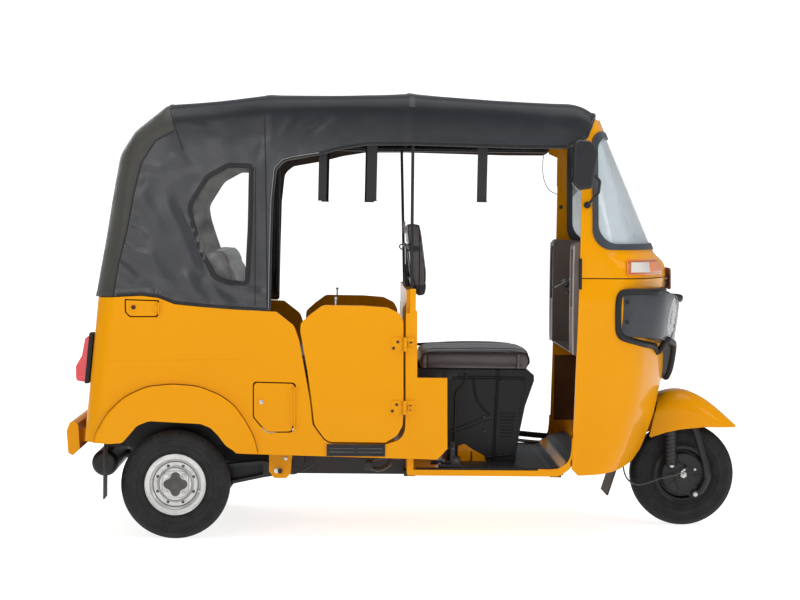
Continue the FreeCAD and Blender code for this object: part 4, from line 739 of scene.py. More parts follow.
def outline_distance(pts, poly):
    """Signed distance (inside positive) and nearest point of a closed polygon."""
    A = np.array(poly, float)
    B = np.roll(A, -1, 0)
    d = B - A
    L = (d ** 2).sum(1)
    best = np.full(len(pts), 1e9)
    near = np.zeros((len(pts), 2))
    cross = np.zeros(len(pts), int)
    for a, b, dd, l in zip(A, B, d, L):
        if l < 1e-9:
            continue
        t = np.clip(((pts - a) @ dd) / l, 0, 1)
        q = a + t[:, None] * dd
        dist = np.linalg.norm(pts - q, axis=1)
        m = dist < best
        best[m], near[m] = dist[m], q[m]
        c = (a[1] > pts[:, 1]) != (b[1] > pts[:, 1])
        with np.errstate(divide="ignore", invalid="ignore"):
            xx = a[0] + (pts[:, 1] - a[1]) * (b[0] - a[0]) / (b[1] - a[1])
        cross += (c & (pts[:, 0] < xx)).astype(int)
    return np.where(cross % 2 == 1, best, -best), near


CELL = 13.0
xs = np.linspace(-45, 1604, int(1649 / CELL) + 1)
n_side, n_arc, n_crown = int(700 / CELL), 11, 2 * int(520 / CELL)


def arch_rows(x):
    ze, zc, w, r = (float(v) for v in hood_at(x))
    zb = 862.0
    zs = np.linspace(zb, ze - r, n_side + 1)
    right = [(-float(half_at(x, z)), z) for z in zs]
    right += [(-(w - r + r * math.cos(t)), ze - r + r * math.sin(t)) for t in np.linspace(0, math.pi / 2, n_arc + 1)[1:]]
    ys = np.linspace(-(w - r), w - r, n_crown + 1)[1:-1]
    crown = [(y, zc - (zc - ze) * (y / (w - r)) ** 2) for y in ys]
    return np.array([(x, y, z) for y, z in right + crown + [(-y, z) for y, z in right[::-1]]])


gridA = np.array([arch_rows(x) for x in xs])                       # columns by rows
NV = gridA.shape[1]
C0 = np.array([-45.0, 0.0, 862.0])
# the rear hem line, from the right side round the tail to the left
ang_line = np.linspace(math.radians(-76), math.radians(76), 900)    # measured from -X
hemdir = np.stack([-np.cos(ang_line), np.sin(ang_line), np.zeros_like(ang_line)], -1)
hem = cast(C0, hemdir)
seg_len = np.r_[0, np.cumsum(np.linalg.norm(np.diff(hem, axis=0), axis=1))]
arch0 = gridA[0]
al = np.r_[0, np.cumsum(np.linalg.norm(np.diff(arch0, axis=0), axis=1))]
# crown rows keep their y down the back, the side rows share out the rest of the hem
i0, i1 = n_side + n_arc, NV - 1 - n_side - n_arc
hem_s = np.zeros(NV)
sy = np.interp(arch0[i0:i1 + 1, 1], hem[:, 1], seg_len)
hem_s[i0:i1 + 1] = sy
hem_s[:i0 + 1] = np.interp(al[:i0 + 1], [0, al[i0]], [0, sy[0]])
hem_s[i1:] = np.interp(al[i1:], [al[i1], al[-1]], [sy[-1], seg_len[-1]])
H = np.stack([np.interp(hem_s, seg_len, hem[:, k]) for k in range(3)], -1)
NW = 72
dA = arch0 - C0
dA /= np.linalg.norm(dA, axis=1)[:, None]
dH = H - C0
dH /= np.linalg.norm(dH, axis=1)[:, None]
om = np.arccos(np.clip((dA * dH).sum(1), -1, 1))
W = np.linspace(0, 1, 240)
fine = (np.sin((1 - W)[None, :, None] * om[:, None, None]) * dA[:, None] + np.sin(W[None, :, None] * om[:, None, None]) * dH[:, None]) / np.sin(om)[:, None, None]
fine = cast(C0, fine)
fine[:, 0] = arch0
gridB = np.zeros((NW + 1, NV, 3))
for v in range(NV):
    L = np.r_[0, np.cumsum(np.linalg.norm(np.diff(fine[v], axis=0), axis=1))]
    for k3 in range(3):
        gridB[:, v, k3] = np.interp(np.linspace(0, L[-1], NW + 1), L, fine[v][:, k3])

# weld the two grids along the section they share
nA = gridA.shape[0]
P = np.concatenate([gridB[:0:-1].reshape(-1, 3), gridA.reshape(-1, 3)])
ncol = NW + nA
idx = np.arange(ncol * NV).reshape(ncol, NV)
quads = np.stack([idx[:-1, :-1], idx[:-1, 1:], idx[1:, 1:], idx[1:, :-1]], -1).reshape(-1, 4)
col_of = np.repeat(np.arange(ncol), NV)
rearpart = col_of < NW
side_row = np.tile((np.arange(NV) <= n_side + n_arc) | (np.arange(NV) >= NV - 1 - n_side - n_arc), ncol)


def reproject(P, sel, plane):
    if not sel.any():
        return
    q = P[sel]
    if plane == "side":
        a = np.where(q[:, 1] < 0, -1.0, 1.0)
        ze, zc, w, r = hood_at(q[:, 0])
        on_side = q[:, 2] <= ze - 0.5
        q[:, 1] = np.where(on_side, a * half_at(q[:, 0], q[:, 2]), q[:, 1])
        q[:, 2] = np.where(on_side, q[:, 2], zc - (zc - ze) * np.minimum(1, np.abs(q[:, 1]) / (w - r)) ** 2)
    elif plane == "plan":
        c = np.stack([np.full(len(q), -45.0), np.zeros(len(q)), q[:, 2]], -1)
        d = q - c
        d[:, 2] = 0
        d /= np.linalg.norm(d, axis=1)[:, None]
        q = cast(c, d)
    else:
        c = np.stack([np.full(len(q), 0.0), q[:, 1], q[:, 2]], -1)
        q = cast(c, np.tile([-1.0, 0, 0], (len(q), 1)))
    P[sel] = q


def trim(P, quads, poly, axes, applies, plane, keep_inside=True):
    """Snaps the grid to an outline and drops what lies on the far side of it."""
    sd, near = outline_distance(P[:, axes], poly)
    if not keep_inside:
        sd = -sd
    sd = np.where(applies, sd, 1e3)
    snap = np.abs(sd) < 0.52 * CELL
    q = P[quads]
    state = np.where(snap, 0, np.sign(sd))
    fs = state[quads]
    mixed = (fs.max(1) > 0) & (fs.min(1) < 0)
    extra = np.zeros(len(P), bool)
    extra[quads[mixed].ravel()] = True
    extra &= (state < 0) & applies
    snap |= extra
    state[snap] = 0
    P[np.ix_(np.where(snap)[0], axes)] = near[snap]
    if plane == "side":
        reproject(P, snap & ~rearpart, "side")
        reproject(P, snap & rearpart, "plan")
    else:
        reproject(P, snap, plane)
    fs = state[quads]
    cen = P[quads].mean(1)
    csd, _ = outline_distance(cen[:, axes], poly)
    if not keep_inside:
        csd = -csd
    kill = (fs.min(1) < 0) | ((fs.max(1) == 0) & (csd < 0) & applies[quads].all(1))
    return quads[~kill], snap & (np.abs(sd) < 3 * CELL)


view_poly = rounded2d(HOOD_VIEW, 5)
win_poly = rounded2d(SIDE_WINDOW, 6)
rear_poly = rounded2d(REAR_WINDOW, 6)
FILM_V, FILM_F = [], []


def film_piece(P, quads, poly, axes, applies, grow):
    """The grid faces within a window, a little beyond its edge."""
    cen = P[quads].mean(1)
    sd, _ = outline_distance(cen[:, axes], poly)
    q = quads[(sd > -grow) & applies[quads].all(1)]
    used_ = np.unique(q)
    rm = -np.ones(len(P), int)
    rm[used_] = np.arange(len(used_)) + sum(len(v) for v in FILM_V)
    FILM_V.append(P[used_].copy())
    FILM_F.append(rm[q])


film_piece(P, quads, win_poly, [0, 2], P[:, 1] < -450, 9)
film_piece(P, quads, win_poly, [0, 2], P[:, 1] > 450, 9)
film_piece(P, quads, rear_poly, [1, 2], P[:, 0] < -200, 9)
quads, edge_hem = trim(P, quads, view_poly, [0, 2], np.ones(len(P), bool), "side")
quads, edge_win = trim(P, quads, win_poly, [0, 2], np.abs(P[:, 1]) > 450, "side", keep_inside=False)
quads, edge_rear = trim(P, quads, rear_poly, [1, 2], P[:, 0] < -200, "back", keep_inside=False)

used = np.unique(quads)
remap = -np.ones(len(P), int)
remap[used] = np.arange(len(used))
P = P[used]
quads = remap[quads]
edge_hem, edge_win, edge_rear = edge_hem[used], edge_win[used], edge_rear[used]


def vertex_normals(P, quads):
    a, b, c, d = (P[quads[:, i]] for i in range(4))
    n = np.cross(c - a, d - b)
    N = np.zeros_like(P)
    for i in range(4):
        np.add.at(N, quads[:, i], n)
    N /= np.maximum(np.linalg.norm(N, axis=1), 1e-9)[:, None]
    # all pointing away from the cabin
    s = np.sign((N * (P - np.array([500.0, 0, 1150.0]))).sum(1))
    flip = np.sign(s.sum()) or 1
    return N * flip


def neighbours_mean(P, pairs, count):
    S_ = np.zeros_like(P)
    np.add.at(S_, pairs[:, 0], P[pairs[:, 1]])
    np.add.at(S_, pairs[:, 1], P[pairs[:, 0]])
    return S_ / count[:, None]


ed = np.concatenate([quads[:, [0, 1]], quads[:, [1, 2]], quads[:, [2, 3]], quads[:, [3, 0]]])
ed.sort(1)
uniq, cnt = np.unique(ed, axis=0, return_counts=True)
rim = np.zeros(len(P), bool)
rim[uniq[cnt == 1].ravel()] = True
deg = np.zeros(len(P))
np.add.at(deg, uniq[:, 0], 1)
np.add.at(deg, uniq[:, 1], 1)
for _ in range(3):                                   # soften the folds over the bows
    mean = neighbours_mean(P, uniq, deg)
    P = np.where(rim[:, None], P, P * 0.5 + mean * 0.5)

N = vertex_normals(P, quads)
X, Y, Z = P[:, 0], P[:, 1], P[:, 2]
AY = np.abs(Y)
side = (AY > 520) & (Z < 1640)
disp = np.zeros(len(P))


def wave(p, seed, scale, octaves=3):
    """Smooth seeded noise as a sum of tilted waves."""
    g = np.random.default_rng(seed)
    out = np.zeros(len(p))
    amp = 1.0
    for o in range(octaves):
        for _ in range(5):
            d = g.normal(size=3)
            d /= np.linalg.norm(d)
            out += amp * np.sin((p @ d) / (scale / (2 ** o)) * 2 * math.pi + g.uniform(0, 6.28)) / 5
        amp *= 0.5
    return out


# tension between the bows: the roof dips a little between them and stands over them
bows = [-45, 345, 886, 1500]
for a, b in zip(bows, bows[1:]):
    m = (X > a) & (X < b)
    t = (X - a) / (b - a)
    roof = np.clip(1 - (AY / 590) ** 6, 0, 1) * np.clip((Z - 1560) / 60, 0, 1)
    disp[m] -= (5.5 * np.clip(np.sin(math.pi * t), 0, 1) ** 0.8 * roof)[m]
    dip = np.clip((Z - 1470) / 60, 0, 1) * (AY > 500) * np.clip((1650 - Z) / 30, 0, 1)
    disp[m] -= (2.5 * np.sin(math.pi * t) * dip)[m]
for b in bows[1:3]:
    disp += 1.2 * np.exp(-((X - b) / 16) ** 2) * (Z > 1500)
back = (X < -60)
disp -= np.where(back & (AY < 480), 5.0 * np.clip(1 - (AY / 480) ** 4, 0, 1) * np.sin(np.clip((Z - 925) / (1405 - 925), 0, 1) * math.pi) ** 0.7, 0)

# folds drawn on each side: station and height of two ends, width, height of the fold, all in mm
FOLDS_R = [
    (0, 1290, 118, 1015, 22, -8.5), (-38, 1262, 70, 990, 26, 4.5), (27, 1012, 98, 915, 13, 6.0), (62, 1022, 140, 900, 12, -5.0), (100, 985, 190, 905, 13, 6.5),
    (140, 965, 262, 900, 11, -5.5), (170, 962, 330, 925, 10, 5.0), (215, 975, 340, 955, 9, -3.5), (-195, 1182, -120, 1150, 9, 4.2), (-206, 1140, -128, 1098, 9, -4.4),
    (-203, 1118, -118, 1078, 8, 4.0), (-224, 1072, -150, 1030, 9, -3.8), (-226, 1050, -160, 1000, 8, 3.2), (-238, 985, -170, 965, 8, 2.6), (-132, 1418, -58, 1402, 7, 4.5),
    (-136, 1404, -66, 1389, 8, -3.5), (-20, 1450, 34, 1432, 8, 4.6), (-10, 1432, 52, 1405, 10, -3.6), (61, 1566, 240, 1541, 13, 4.0), (120, 1541, 330, 1529, 12, -3.4),
    (20, 1480, 80, 1400, 14, -3.2), (60, 1440, 100, 1380, 10, 2.6), (451, 1560, 540, 1596, 9, 4.2), (500, 1552, 590, 1592, 9, -3.2), (545, 1556, 640, 1600, 9, 3.2),
    (610, 1560, 720, 1604, 10, -2.2), (395, 1540, 440, 1600, 9, 2.6), (-150, 1330, -60, 1180, 30, 3.2), (-110, 1100, -20, 960, 24, 2.8), (-160, 1010, -60, 930, 18, -2.6),
    (300, 1250, 322, 900, 9, -1.6), (296, 1440, 330, 1620, 9, -1.6), (1400, 1600, 1500, 1560, 14, 2.2), (960, 1560, 1120, 1600, 18, 1.6), (1200, 1510, 1330, 1560, 16, -1.4),
    (-218, 1230, -150, 1215, 8, 2.6), (-180, 1330, -120, 1345, 9, -2.2),
]


def fold_field(X, Z, folds, seed=0):
    g = np.random.default_rng(seed)
    out = np.zeros(len(X))
    for x0, z0, x1, z1, w, h in folds:
        d = np.array([x1 - x0, z1 - z0], float)
        L = np.hypot(*d)
        u = d / L
        px, pz = X - x0, Z - z0
        t = (px * u[0] + pz * u[1]) / L
        bend = 0.10 * L * np.sin(np.clip(t, -0.3, 1.3) * math.pi) * g.uniform(-1, 1)
        s = -px * u[1] + pz * u[0] - bend
        along = np.clip(np.minimum(t + 0.25, 1.25 - t) / 0.5, 0, 1)
        along = along * along * (3 - 2 * along)
        out += h * np.exp(-(s / w) ** 2) * along
    return out


right, left = side & (Y < 0), side & (Y > 0)
disp += np.where(right, 1.25 * fold_field(X, Z, FOLDS_R, 1), 0)
gj = np.random.default_rng(3)
FOLDS_L = [(a + gj.uniform(-22, 22), b + gj.uniform(-16, 16), c + gj.uniform(-22, 22), d + gj.uniform(-16, 16), w, h * gj.uniform(0.6, 1.15)) for a, b, c, d, w, h in FOLDS_R]
disp += np.where(left, fold_field(X, Z, FOLDS_L, 2), 0)
slack = np.where(side & (X < 330), 2.4, 0.0) + np.where(back & ~side, 1.6, 0) + np.where(~side & ~back, 0.7, 0) + np.where(side & (X >= 330), 0.45, 0)
disp += slack * wave(P * np.array([1.0, 1.0, 0.7]), 11, 190, 3)
BACKF = [(-430, 1330, -330, 1120, 24, 4.0), (-380, 980, -300, 1100, 18, -4.0), (430, 1350, 340, 1150, 24, 3.6), (380, 975, 310, 1090, 18, -3.6), (-200, 1100, -120, 960, 22, 3.0),
         (60, 1105, 110, 950, 20, -3.0), (220, 1110, 250, 960, 18, 3.2), (-60, 1112, -20, 955, 20, -2.4), (-420, 1420, -250, 1520, 16, 2.6), (400, 1410, 260, 1530, 16, -2.6)]
disp += np.where(back & (AY < 540), fold_field(Y, Z, BACKF, 5), 0)

# hem: a doubled band along the lower edge; welts beside the seams
hem_sd, _ = outline_distance(P[:, [0, 2]], view_poly)
hem_band = np.where(hem_sd < 24, 1.3, 0.0) + np.where((hem_sd > 22) & (hem_sd < 34), -0.8, 0)
low_edge = (Z < 1480) | (X > 1480) | (Z < 1540)
disp += np.where(low_edge & (AY > 480), hem_band, 0)
disp += np.where((hem_sd < 40) & (X < 340) & (Z < 960), 1.8 * np.sin(X / 23.0 + 1.2 * np.sin(X / 61.0)) * np.clip(1 - hem_sd / 45, 0, 1), 0)
win_sd, _ = outline_distance(P[:, [0, 2]], win_poly)
disp += np.where((AY > 450) & (win_sd > -20) & side, 1.4, 0)
rw_sd, _ = outline_distance(P[:, [1, 2]], rear_poly)
disp += np.where(back & (rw_sd > -22), 1.4, 0)
disp = np.clip(disp, -13, 8.5)
keep_in = np.where(X > 1480, 0.35, 1.0)                 # little slack where the hood is bound to the windshield header
P = P + N * (disp * keep_in)[:, None]
for _ in range(1):
    mean = neighbours_mean(P, uniq, deg)
    P = np.where(rim[:, None], P, P * 0.72 + mean * 0.28)

# the rear panel, everything behind the corner seam and the dart, takes the lighter grey vinyl: painted light for the
# rear side catching the light
SEAM = np.array([(-243, 905), (-218, 1049), (-187, 1174), (-166, 1299), (-138, 1421), (-85, 1509), (-13, 1547)], float)
DART = np.array([(-36, 1665), (-7, 1552), (20, 1476)], float)
fc = P[quads].mean(1)
seam_x = np.interp(fc[:, 2], SEAM[:, 1], SEAM[:, 0])
lit_rear_faces = (fc[:, 0] < seam_x) & (fc[:, 2] < 1547) | ((fc[:, 0] < np.interp(fc[:, 2], [1547, 1552, 1665], [-13, -7, -36])) & (fc[:, 2] >= 1547))
index = np.where(lit_rear_faces, 1, 0).astype(np.int32)

Pm = P / 1000 + np.array([RX, 0, 0])
hood = add("hood_sheet", Pm, quads, None, mats=[M["hood_vinyl"], M["hood_rear"], M["hood_inner"]], index=index)
hood.data.update()
bm = bmesh.new()
bm.from_mesh(hood.data)
bmesh.ops.recalc_face_normals(bm, faces=bm.faces)
out = sum(f.normal.dot(f.calc_center_median() - Vector((0, 0, 1.1))) * f.calc_area() for f in bm.faces)
if out < 0:
    bmesh.ops.reverse_faces(bm, faces=bm.faces)
HOOD_AREA = sum(f.calc_area() for f in bm.faces)
bm.to_mesh(hood.data)
bm.free()
hood.data.shade_smooth()
from mathutils.bvhtree import BVHTree
dgx = bpy.context.evaluated_depsgraph_get()
HOOD_BVH = BVHTree.FromObject(hood, dgx)
mod = hood.modifiers.new("thick", "SOLIDIFY")
mod.thickness = 0.0026
mod.offset = -1
mod.material_offset = 2
mod.material_offset_rim = 0
mod.use_quality_normals = True
apply_mods(hood)
hood.data.shade_smooth()
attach(hood, "body")
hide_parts("canopy")


def side_hit(x, z, s, out=0.0):
    """A point on the hood's side at a station and height, s = -1 on the right."""
    o = Vector((SX(x), s * 0.9, z / 1000))
    loc, nor, _, _ = HOOD_BVH.ray_cast(o, Vector((0, -s, 0)))
    if loc is None:
        loc, nor, _, _ = HOOD_BVH.find_nearest(Vector((SX(x), s * 0.6, z / 1000)))
    if nor.dot(Vector((0, s, 0))) < 0:
        nor = -nor
    return loc + nor * out, nor


def over_hit(x, deg_, out=0.0, z0=1300):
    """A point on the hood over station x, deg_ round from the right side (0) over the roof (90) to the left (180)."""
    d = Vector((0, -math.cos(math.radians(deg_)), math.sin(math.radians(deg_))))
    o = Vector((SX(x), 0, z0 / 1000))
    loc, nor, _, _ = HOOD_BVH.ray_cast(o, d)
    if loc is None:
        return None, None
    if nor.dot(d) < 0:
        nor = -nor
    return loc + nor * out, nor


def ribbon(pile, pts, nors, half, thick, closed=False, bulge=0.6):
    """A flat sewn strip laid on a surface: points, normals, half width and thickness in metres."""
    n = len(pts)
    prof = [(-1, -0.4), (-1, 0.25), (-bulge, 1.0), (bulge, 1.0), (1, 0.25), (1, -0.4)]
    V, F = [], []
    for i in range(n):
        a = pts[i - 1] if (i > 0 or closed) else pts[i]
        b = pts[(i + 1) % n] if (i < n - 1 or closed) else pts[i]
        t = (b - a).normalized()
        nn = nors[i].normalized()
        w = t.cross(nn).normalized()
        for u, h in prof:
            V.append(pts[i] + w * (u * half) + nn * (h * thick))
    m = len(prof)
    for i in range(n if closed else n - 1):
        j = (i + 1) % n
        for k in range(m):
            l = (k + 1) % m
            F.append((i * m + k, i * m + l, j * m + l, j * m + k))
    if not closed:
        F.append(tuple(range(m))[::-1])
        F.append(tuple((n - 1) * m + k for k in range(m)))
    pile.put(V, F)


def resample(pts, step):
    P2 = [Vector(p) for p in pts]
    L = [0.0]
    for a, b in zip(P2, P2[1:]):
        L.append(L[-1] + (b - a).length)
    n = max(2, int(L[-1] / step) + 1)
    out = []
    for k in range(n + 1):
        s = L[-1] * k / n
        i = max(j for j in range(len(L)) if L[j] <= s + 1e-9)
        i = min(i, len(P2) - 2)
        f = (s - L[i]) / max(1e-9, L[i + 1] - L[i])
        out.append(P2[i].lerp(P2[i + 1], min(1, f)))
    return out


def side_line(line, s, out, step=14):
    pts = resample([Vector((a, 0, b)) for a, b in line], step)
    hits = [side_hit(p.x, p.z, s, out) for p in pts]
    return [h[0] for h in hits], [h[1] for h in hits]


# piping and bindings
pipe_pile, bind_pile, glint_pile = Pile(), Pile(), Pile()
for s in (-1, 1):
    pts, nn = side_line([tuple(v) for v in SEAM[0:1]] + [(-240, 919)] + [tuple(v) for v in SEAM[1:]], s, 0.0006)
    pipe_pile.tube(pts[1:], 0.0026, 8, curve=False)
    pts, nn = side_line([(-30, 1630), (-7, 1552), (20, 1476)], s, 0.0006)
    pipe_pile.tube(pts, 0.0024, 8, curve=False)
    pts, nn = side_line([(344, 878), (336, 1289), (331, 1478), (329, 1560), (329, 1600)], s, 0.0002)
    pipe_pile.tube(pts, 0.0024, 8, curve=False)
    pts, nn = side_line([(298, 890), (296, 1100), (295, 1413)], s, 0.0004)
    pipe_pile.tube(pts, 0.0016, 6, curve=False)
    # window binding
    wpts, wn_ = [], []
    loop = rounded2d([(a, b, c) for a, b, c in SIDE_WINDOW], 6)
    loop3 = resample([Vector((a, 0, b)) for a, b in loop + loop[:1]], 12)[:-1]
    cx, cz = 175, 1200
    for p in loop3:
        d = Vector((p.x - cx, 0, p.z - cz)).normalized()
        h, nrm = side_hit(p.x + d.x * 9, p.z + d.z * 9, s, 0.0006)
        h = h - Vector((d.x, 0, d.z)) * 0.004
        wpts.append(h)
        wn_.append(nrm)
    ribbon(bind_pile, wpts, wn_, 0.0095, 0.0018, closed=True)
for deg_range, x in ((range(6, 175, 2), 329),):
    row = [over_hit(x, d_, -0.0004) for d_ in deg_range]
    row = [r for r in row if r[0] is not None and r[0].z > 1.50]
    pipe_pile.tube([r[0] for r in row], 0.0016, 8, curve=False)
row = [over_hit(886, d_, 0.0002) for d_ in range(30, 151, 2)]
row = [r for r in row if r[0] is not None]
ribbon(bind_pile, [r[0] for r in row], [r[1] for r in row], 0.011, 0.0009)
# rear seam over the roof where the rear panel meets the roof panel
row = []
for d_ in range(38, 143, 2):
    r = over_hit(-41, d_, 0.0006)
    if r[0] is not None:
        row.append(r)
pipe_pile.tube([r[0] for r in row], 0.0024, 8, curve=False)
# rear window binding
loop = resample([Vector((0, a, b)) for a, b in rounded2d(REAR_WINDOW, 6) + rounded2d(REAR_WINDOW, 6)[:1]], 14)[:-1]
wpts, wn_ = [], []
for p in loop:
    d = Vector((0, p.y, p.z - 1250)).normalized()
    o = Vector((SX(-700), (p.y + d.y * 10) / 1000, (p.z + d.z * 10) / 1000))
    loc, nor, _, _ = HOOD_BVH.ray_cast(o, Vector((1, 0, 0)))
    if loc is None:
        continue
    if nor.x > 0:
        nor = -nor
    wpts.append(loc + nor * 0.0006 - d * 0.004)
    wn_.append(nor)
ribbon(bind_pile, wpts, wn_, 0.010, 0.0018, closed=True)
# hem and doorway bindings follow the sheet's own lower edge
for s in (-1, 1):
    hem_line = [(-225, 923), (-131, 930), (-70, 923), (-6, 899), (89, 890), (221, 881), (345, 875)]
    pts, nn = side_line(hem_line, s, 0.0004)
    ribbon(bind_pile, pts, nn, 0.0055, 0.0016)
    door_line = [(351, 885), (353, 1100), (357, 1289), (368, 1409), (396, 1441), (436, 1452), (534, 1468), (621, 1491), (717, 1507), (893, 1509), (1310, 1501), (1470, 1502)]
    pts, nn = side_line(door_line, s, 0.0004)
    ribbon(bind_pile, pts, nn, 0.0055, 0.0016)
    # a light grey cord just inside the doorway's edge: painted highlight for the glint along the edge seam
    lpts, lnn = side_line([(a - 3 if i < 4 else a, b if i < 4 else b + 2) for i, (a, b) in enumerate(door_line[:7])], s, 0.0018)
    glint_pile.tube(lpts, 0.0016, 6, curve=False)
hem_back = []
for d_ in range(-50, 51, 2):
    dirv = Vector((-math.cos(math.radians(d_)), math.sin(math.radians(d_)), 0))
    o = Vector((SX(-45), 0, 0.9235))
    loc, nor, _, _ = HOOD_BVH.ray_cast(o + dirv * 1.2, -dirv)
    if loc is None:
        continue
    if nor.dot(dirv) < 0:
        nor = -nor
    hem_back.append((loc + nor * 0.0004, nor))
ribbon(bind_pile, [h[0] for h in hem_back], [h[1] for h in hem_back], 0.0055, 0.0016)
piping = pipe_pile.done("hood_piping", M["hood_edge"], "body", "hood_vinyl", angle=60)
binding = bind_pile.done("hood_binding", M["hood_edge"], "body", "hood_vinyl", angle=50)
door_glint_cord = glint_pile.done("hood_door_glint_cord", M["hood_piping"], "body", "hood_vinyl", angle=60)

# front edge: the sheet is rolled round the windshield header and pinched at each corner
front = []
for d_ in range(18, 163, 2):
    r = over_hit(1585, d_, -0.001)
    if r[0] is not None:
        front.append(r[0] + Vector((0.003, 0, 0)))
roll = Pile()
roll.tube(front, 0.0075, 10, curve=False)
for s in (-1, 1):
    a = side_line([(1507, 1521), (1548, 1538), (1570, 1594), (1584, 1626)], s, -0.0005, 8)[0]
    roll.tube(a, 0.0055, 8, curve=False)
rolled = roll.done("hood_front_roll", M["hood_edge"], "body", "hood_vinyl", angle=60)
# window films: thin clear sheets sewn behind the openings, slightly rippled
FV, FF = np.concatenate(FILM_V), np.concatenate(FILM_F)
fnorm = vertex_normals(FV, FF)
FV = FV + fnorm * (1.6 * wave(FV, 21, 160, 2) - 4.2)[:, None]
films = add("hood_films", FV / 1000 + np.array([RX, 0, 0]), FF, M["hood_film"])
mod = films.modifiers.new("thick", "SOLIDIFY")
mod.thickness = 0.0009
apply_mods(films)
films.data.shade_smooth()
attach(films, "body")
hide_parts("hood_windows")
print("hood area", round(HOOD_AREA, 3), "faces", len(hood.data.polygons))

# ------------------------------------------------------------------ padded pieces
def prism_bm(profile, y0, y1, bevel, seg=4):
    """A side outline (station, z, r in mm) drawn across from y0 to y1, every edge rounded."""
    pts = rounded2d(profile, 5)
    bm = bmesh.new()
    a = [bm.verts.new((SX(x), y0 / 1000, z / 1000)) for x, z in pts]
    b = [bm.verts.new((SX(x), y1 / 1000, z / 1000)) for x, z in pts]
    n = len(a)
    fa = bm.faces.new(a[::-1])
    fb = bm.faces.new(b)
    for i in range(n):
        j = (i + 1) % n
        bm.faces.new((a[i], a[j], b[j], b[i]))
    if bevel:
        bmesh.ops.bevel(bm, geom=list(fa.edges) + list(fb.edges), offset=bevel / 1000, segments=seg, affect="EDGES", profile=0.5, clamp_overlap=True)
    bmesh.ops.recalc_face_normals(bm, faces=bm.faces)
    return bm


def swell(name, bm, voxel, cap, rest=None, pressure=4.0, subdivide=True):
    """Remeshes a start shape and lets it swell under pressure; rest(co) is True where it lies on something."""
    ob = from_bm(name, bm, M["seat_vinyl"])
    rm = ob.modifiers.new("voxels", "REMESH")
    rm.mode = "VOXEL"
    rm.voxel_size = voxel
    rm.use_smooth_shade = True
    apply_mods(ob)
    base = np.array([v.co for v in ob.data.vertices])
    if rest is not None:
        vg = ob.vertex_groups.new(name="rest")
        vg.add([i for i, c in enumerate(base) if rest(c)], 1.0, "REPLACE")
    cl = ob.modifiers.new("cloth", "CLOTH")
    st = cl.settings
    st.quality = 4
    st.mass = 0.35
    st.tension_stiffness = st.compression_stiffness = 12
    st.shear_stiffness = 6
    st.bending_stiffness = 0.6
    st.use_pressure = True
    st.uniform_pressure_force = pressure
    st.effector_weights.gravity = 0
    if rest is not None:
        st.vertex_group_mass = "rest"
    cl.collision_settings.use_collision = False
    cl.collision_settings.use_self_collision = False
    cl.point_cache.frame_start, cl.point_cache.frame_end = 1, 20
    for fr in range(1, 21):
        scene.frame_set(fr)
    dg = bpy.context.evaluated_depsgraph_get()
    ev = ob.evaluated_get(dg)
    now = np.array([v.co for v in ev.data.vertices])
    ob.modifiers.clear()
    d = now - base
    L = np.linalg.norm(d, axis=1)
    d *= np.minimum(1.0, cap / np.maximum(L, 1e-9))[:, None]
    base = base + d
    ob.data.vertices.foreach_set("co", base.ravel())
    ob.vertex_groups.clear()
    ob.data.update()
    scene.frame_set(1)
    if subdivide:
        sub = ob.modifiers.new("sub", "SUBSURF")
        sub.levels = sub.render_levels = 1
        apply_mods(ob)
    sm = ob.modifiers.new("soft", "SMOOTH")
    sm.factor, sm.iterations = 0.5, 3
    apply_mods(ob)
    ob.data.shade_smooth()
    return ob


def mould(ob, fn, lo, hi):
    """Moves every vertex along its normal by fn(co, normal) millimetres, kept within the box lo..hi."""
    n = len(ob.data.vertices)
    co = np.empty(n * 3)
    ob.data.vertices.foreach_get("co", co)
    co = co.reshape(-1, 3)
    no = np.array([tuple(v.vector) for v in ob.data.vertex_normals])
    co = co + no * (fn(co, no) / 1000)[:, None]
    co = np.clip(co, np.array(lo), np.array(hi))
    ob.data.vertices.foreach_set("co", co.ravel())
    ob.data.update()


def groove(v, at, width, depth):
    return -depth * np.exp(-((v - at) / width) ** 2)


def creases(co, seed, scale, amount):
    return amount * wave(co * 1000, seed, scale, 3)


def node_room(node, grow=0.004):
    lo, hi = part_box(node)
    return [v - grow for v in lo], [v + grow for v in hi]


def surface_loop(ob, starts, away=0.0):
    """The nearest points and normals of a mesh to a list of points."""
    dg = bpy.context.evaluated_depsgraph_get()
    bvh = BVHTree.FromObject(ob, dg)
    P3, N3 = [], []
    for p in starts:
        loc, nor, _, _ = bvh.find_nearest(Vector(p))
        P3.append(loc + nor * away)
        N3.append(nor)
    return P3, N3


PIPE_SEAT = Pile()

# driver's cushion: a long flat box cushion, its top crowned, two sewn lines along the top and a welt round the top edge
bm = prism_bm([(934, 636, 8), (1350, 636, 16), (1370, 660, 16), (1362, 700, 20), (934, 696, 18)], -291, 291, 14)
dc = swell("driver_cushion_pad", bm, 0.0062, 0.0035, rest=lambda c: c[2] < 0.640)
lo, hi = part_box("driver_cushion")


def dc_shape(co, no):
    X_, Y_ = (co[:, 0] - RX) * 1000, co[:, 1] * 1000
    top = np.clip((no[:, 2] - 0.4) / 0.4, 0, 1)
    sidef = np.clip((np.abs(no[:, 1]) - 0.6) / 0.3, 0, 1)
    d = 20.0 * top * np.clip(1 - (np.abs(X_ - 1140) / 235) ** 5, 0, 1) * np.clip(1 - (np.abs(Y_ + 0) / 294) ** 3, 0, 1)
    for y in (-212, -66, 66, 212):
        d += groove(Y_, y, 5, 3.2) * top
    for x in (958, 1316):
        d += groove(X_, x, 4, 2.6) * sidef
    d += groove(co[:, 2] * 1000, 697, 3, 1.6) * np.clip((np.abs(no[:, 1]) + np.clip(no[:, 0], 0, 1) - 0.5) / 0.3, 0, 1)
    d += creases(co, 41, 120, 0.9) * (1 - sidef * 0.4)
    return d


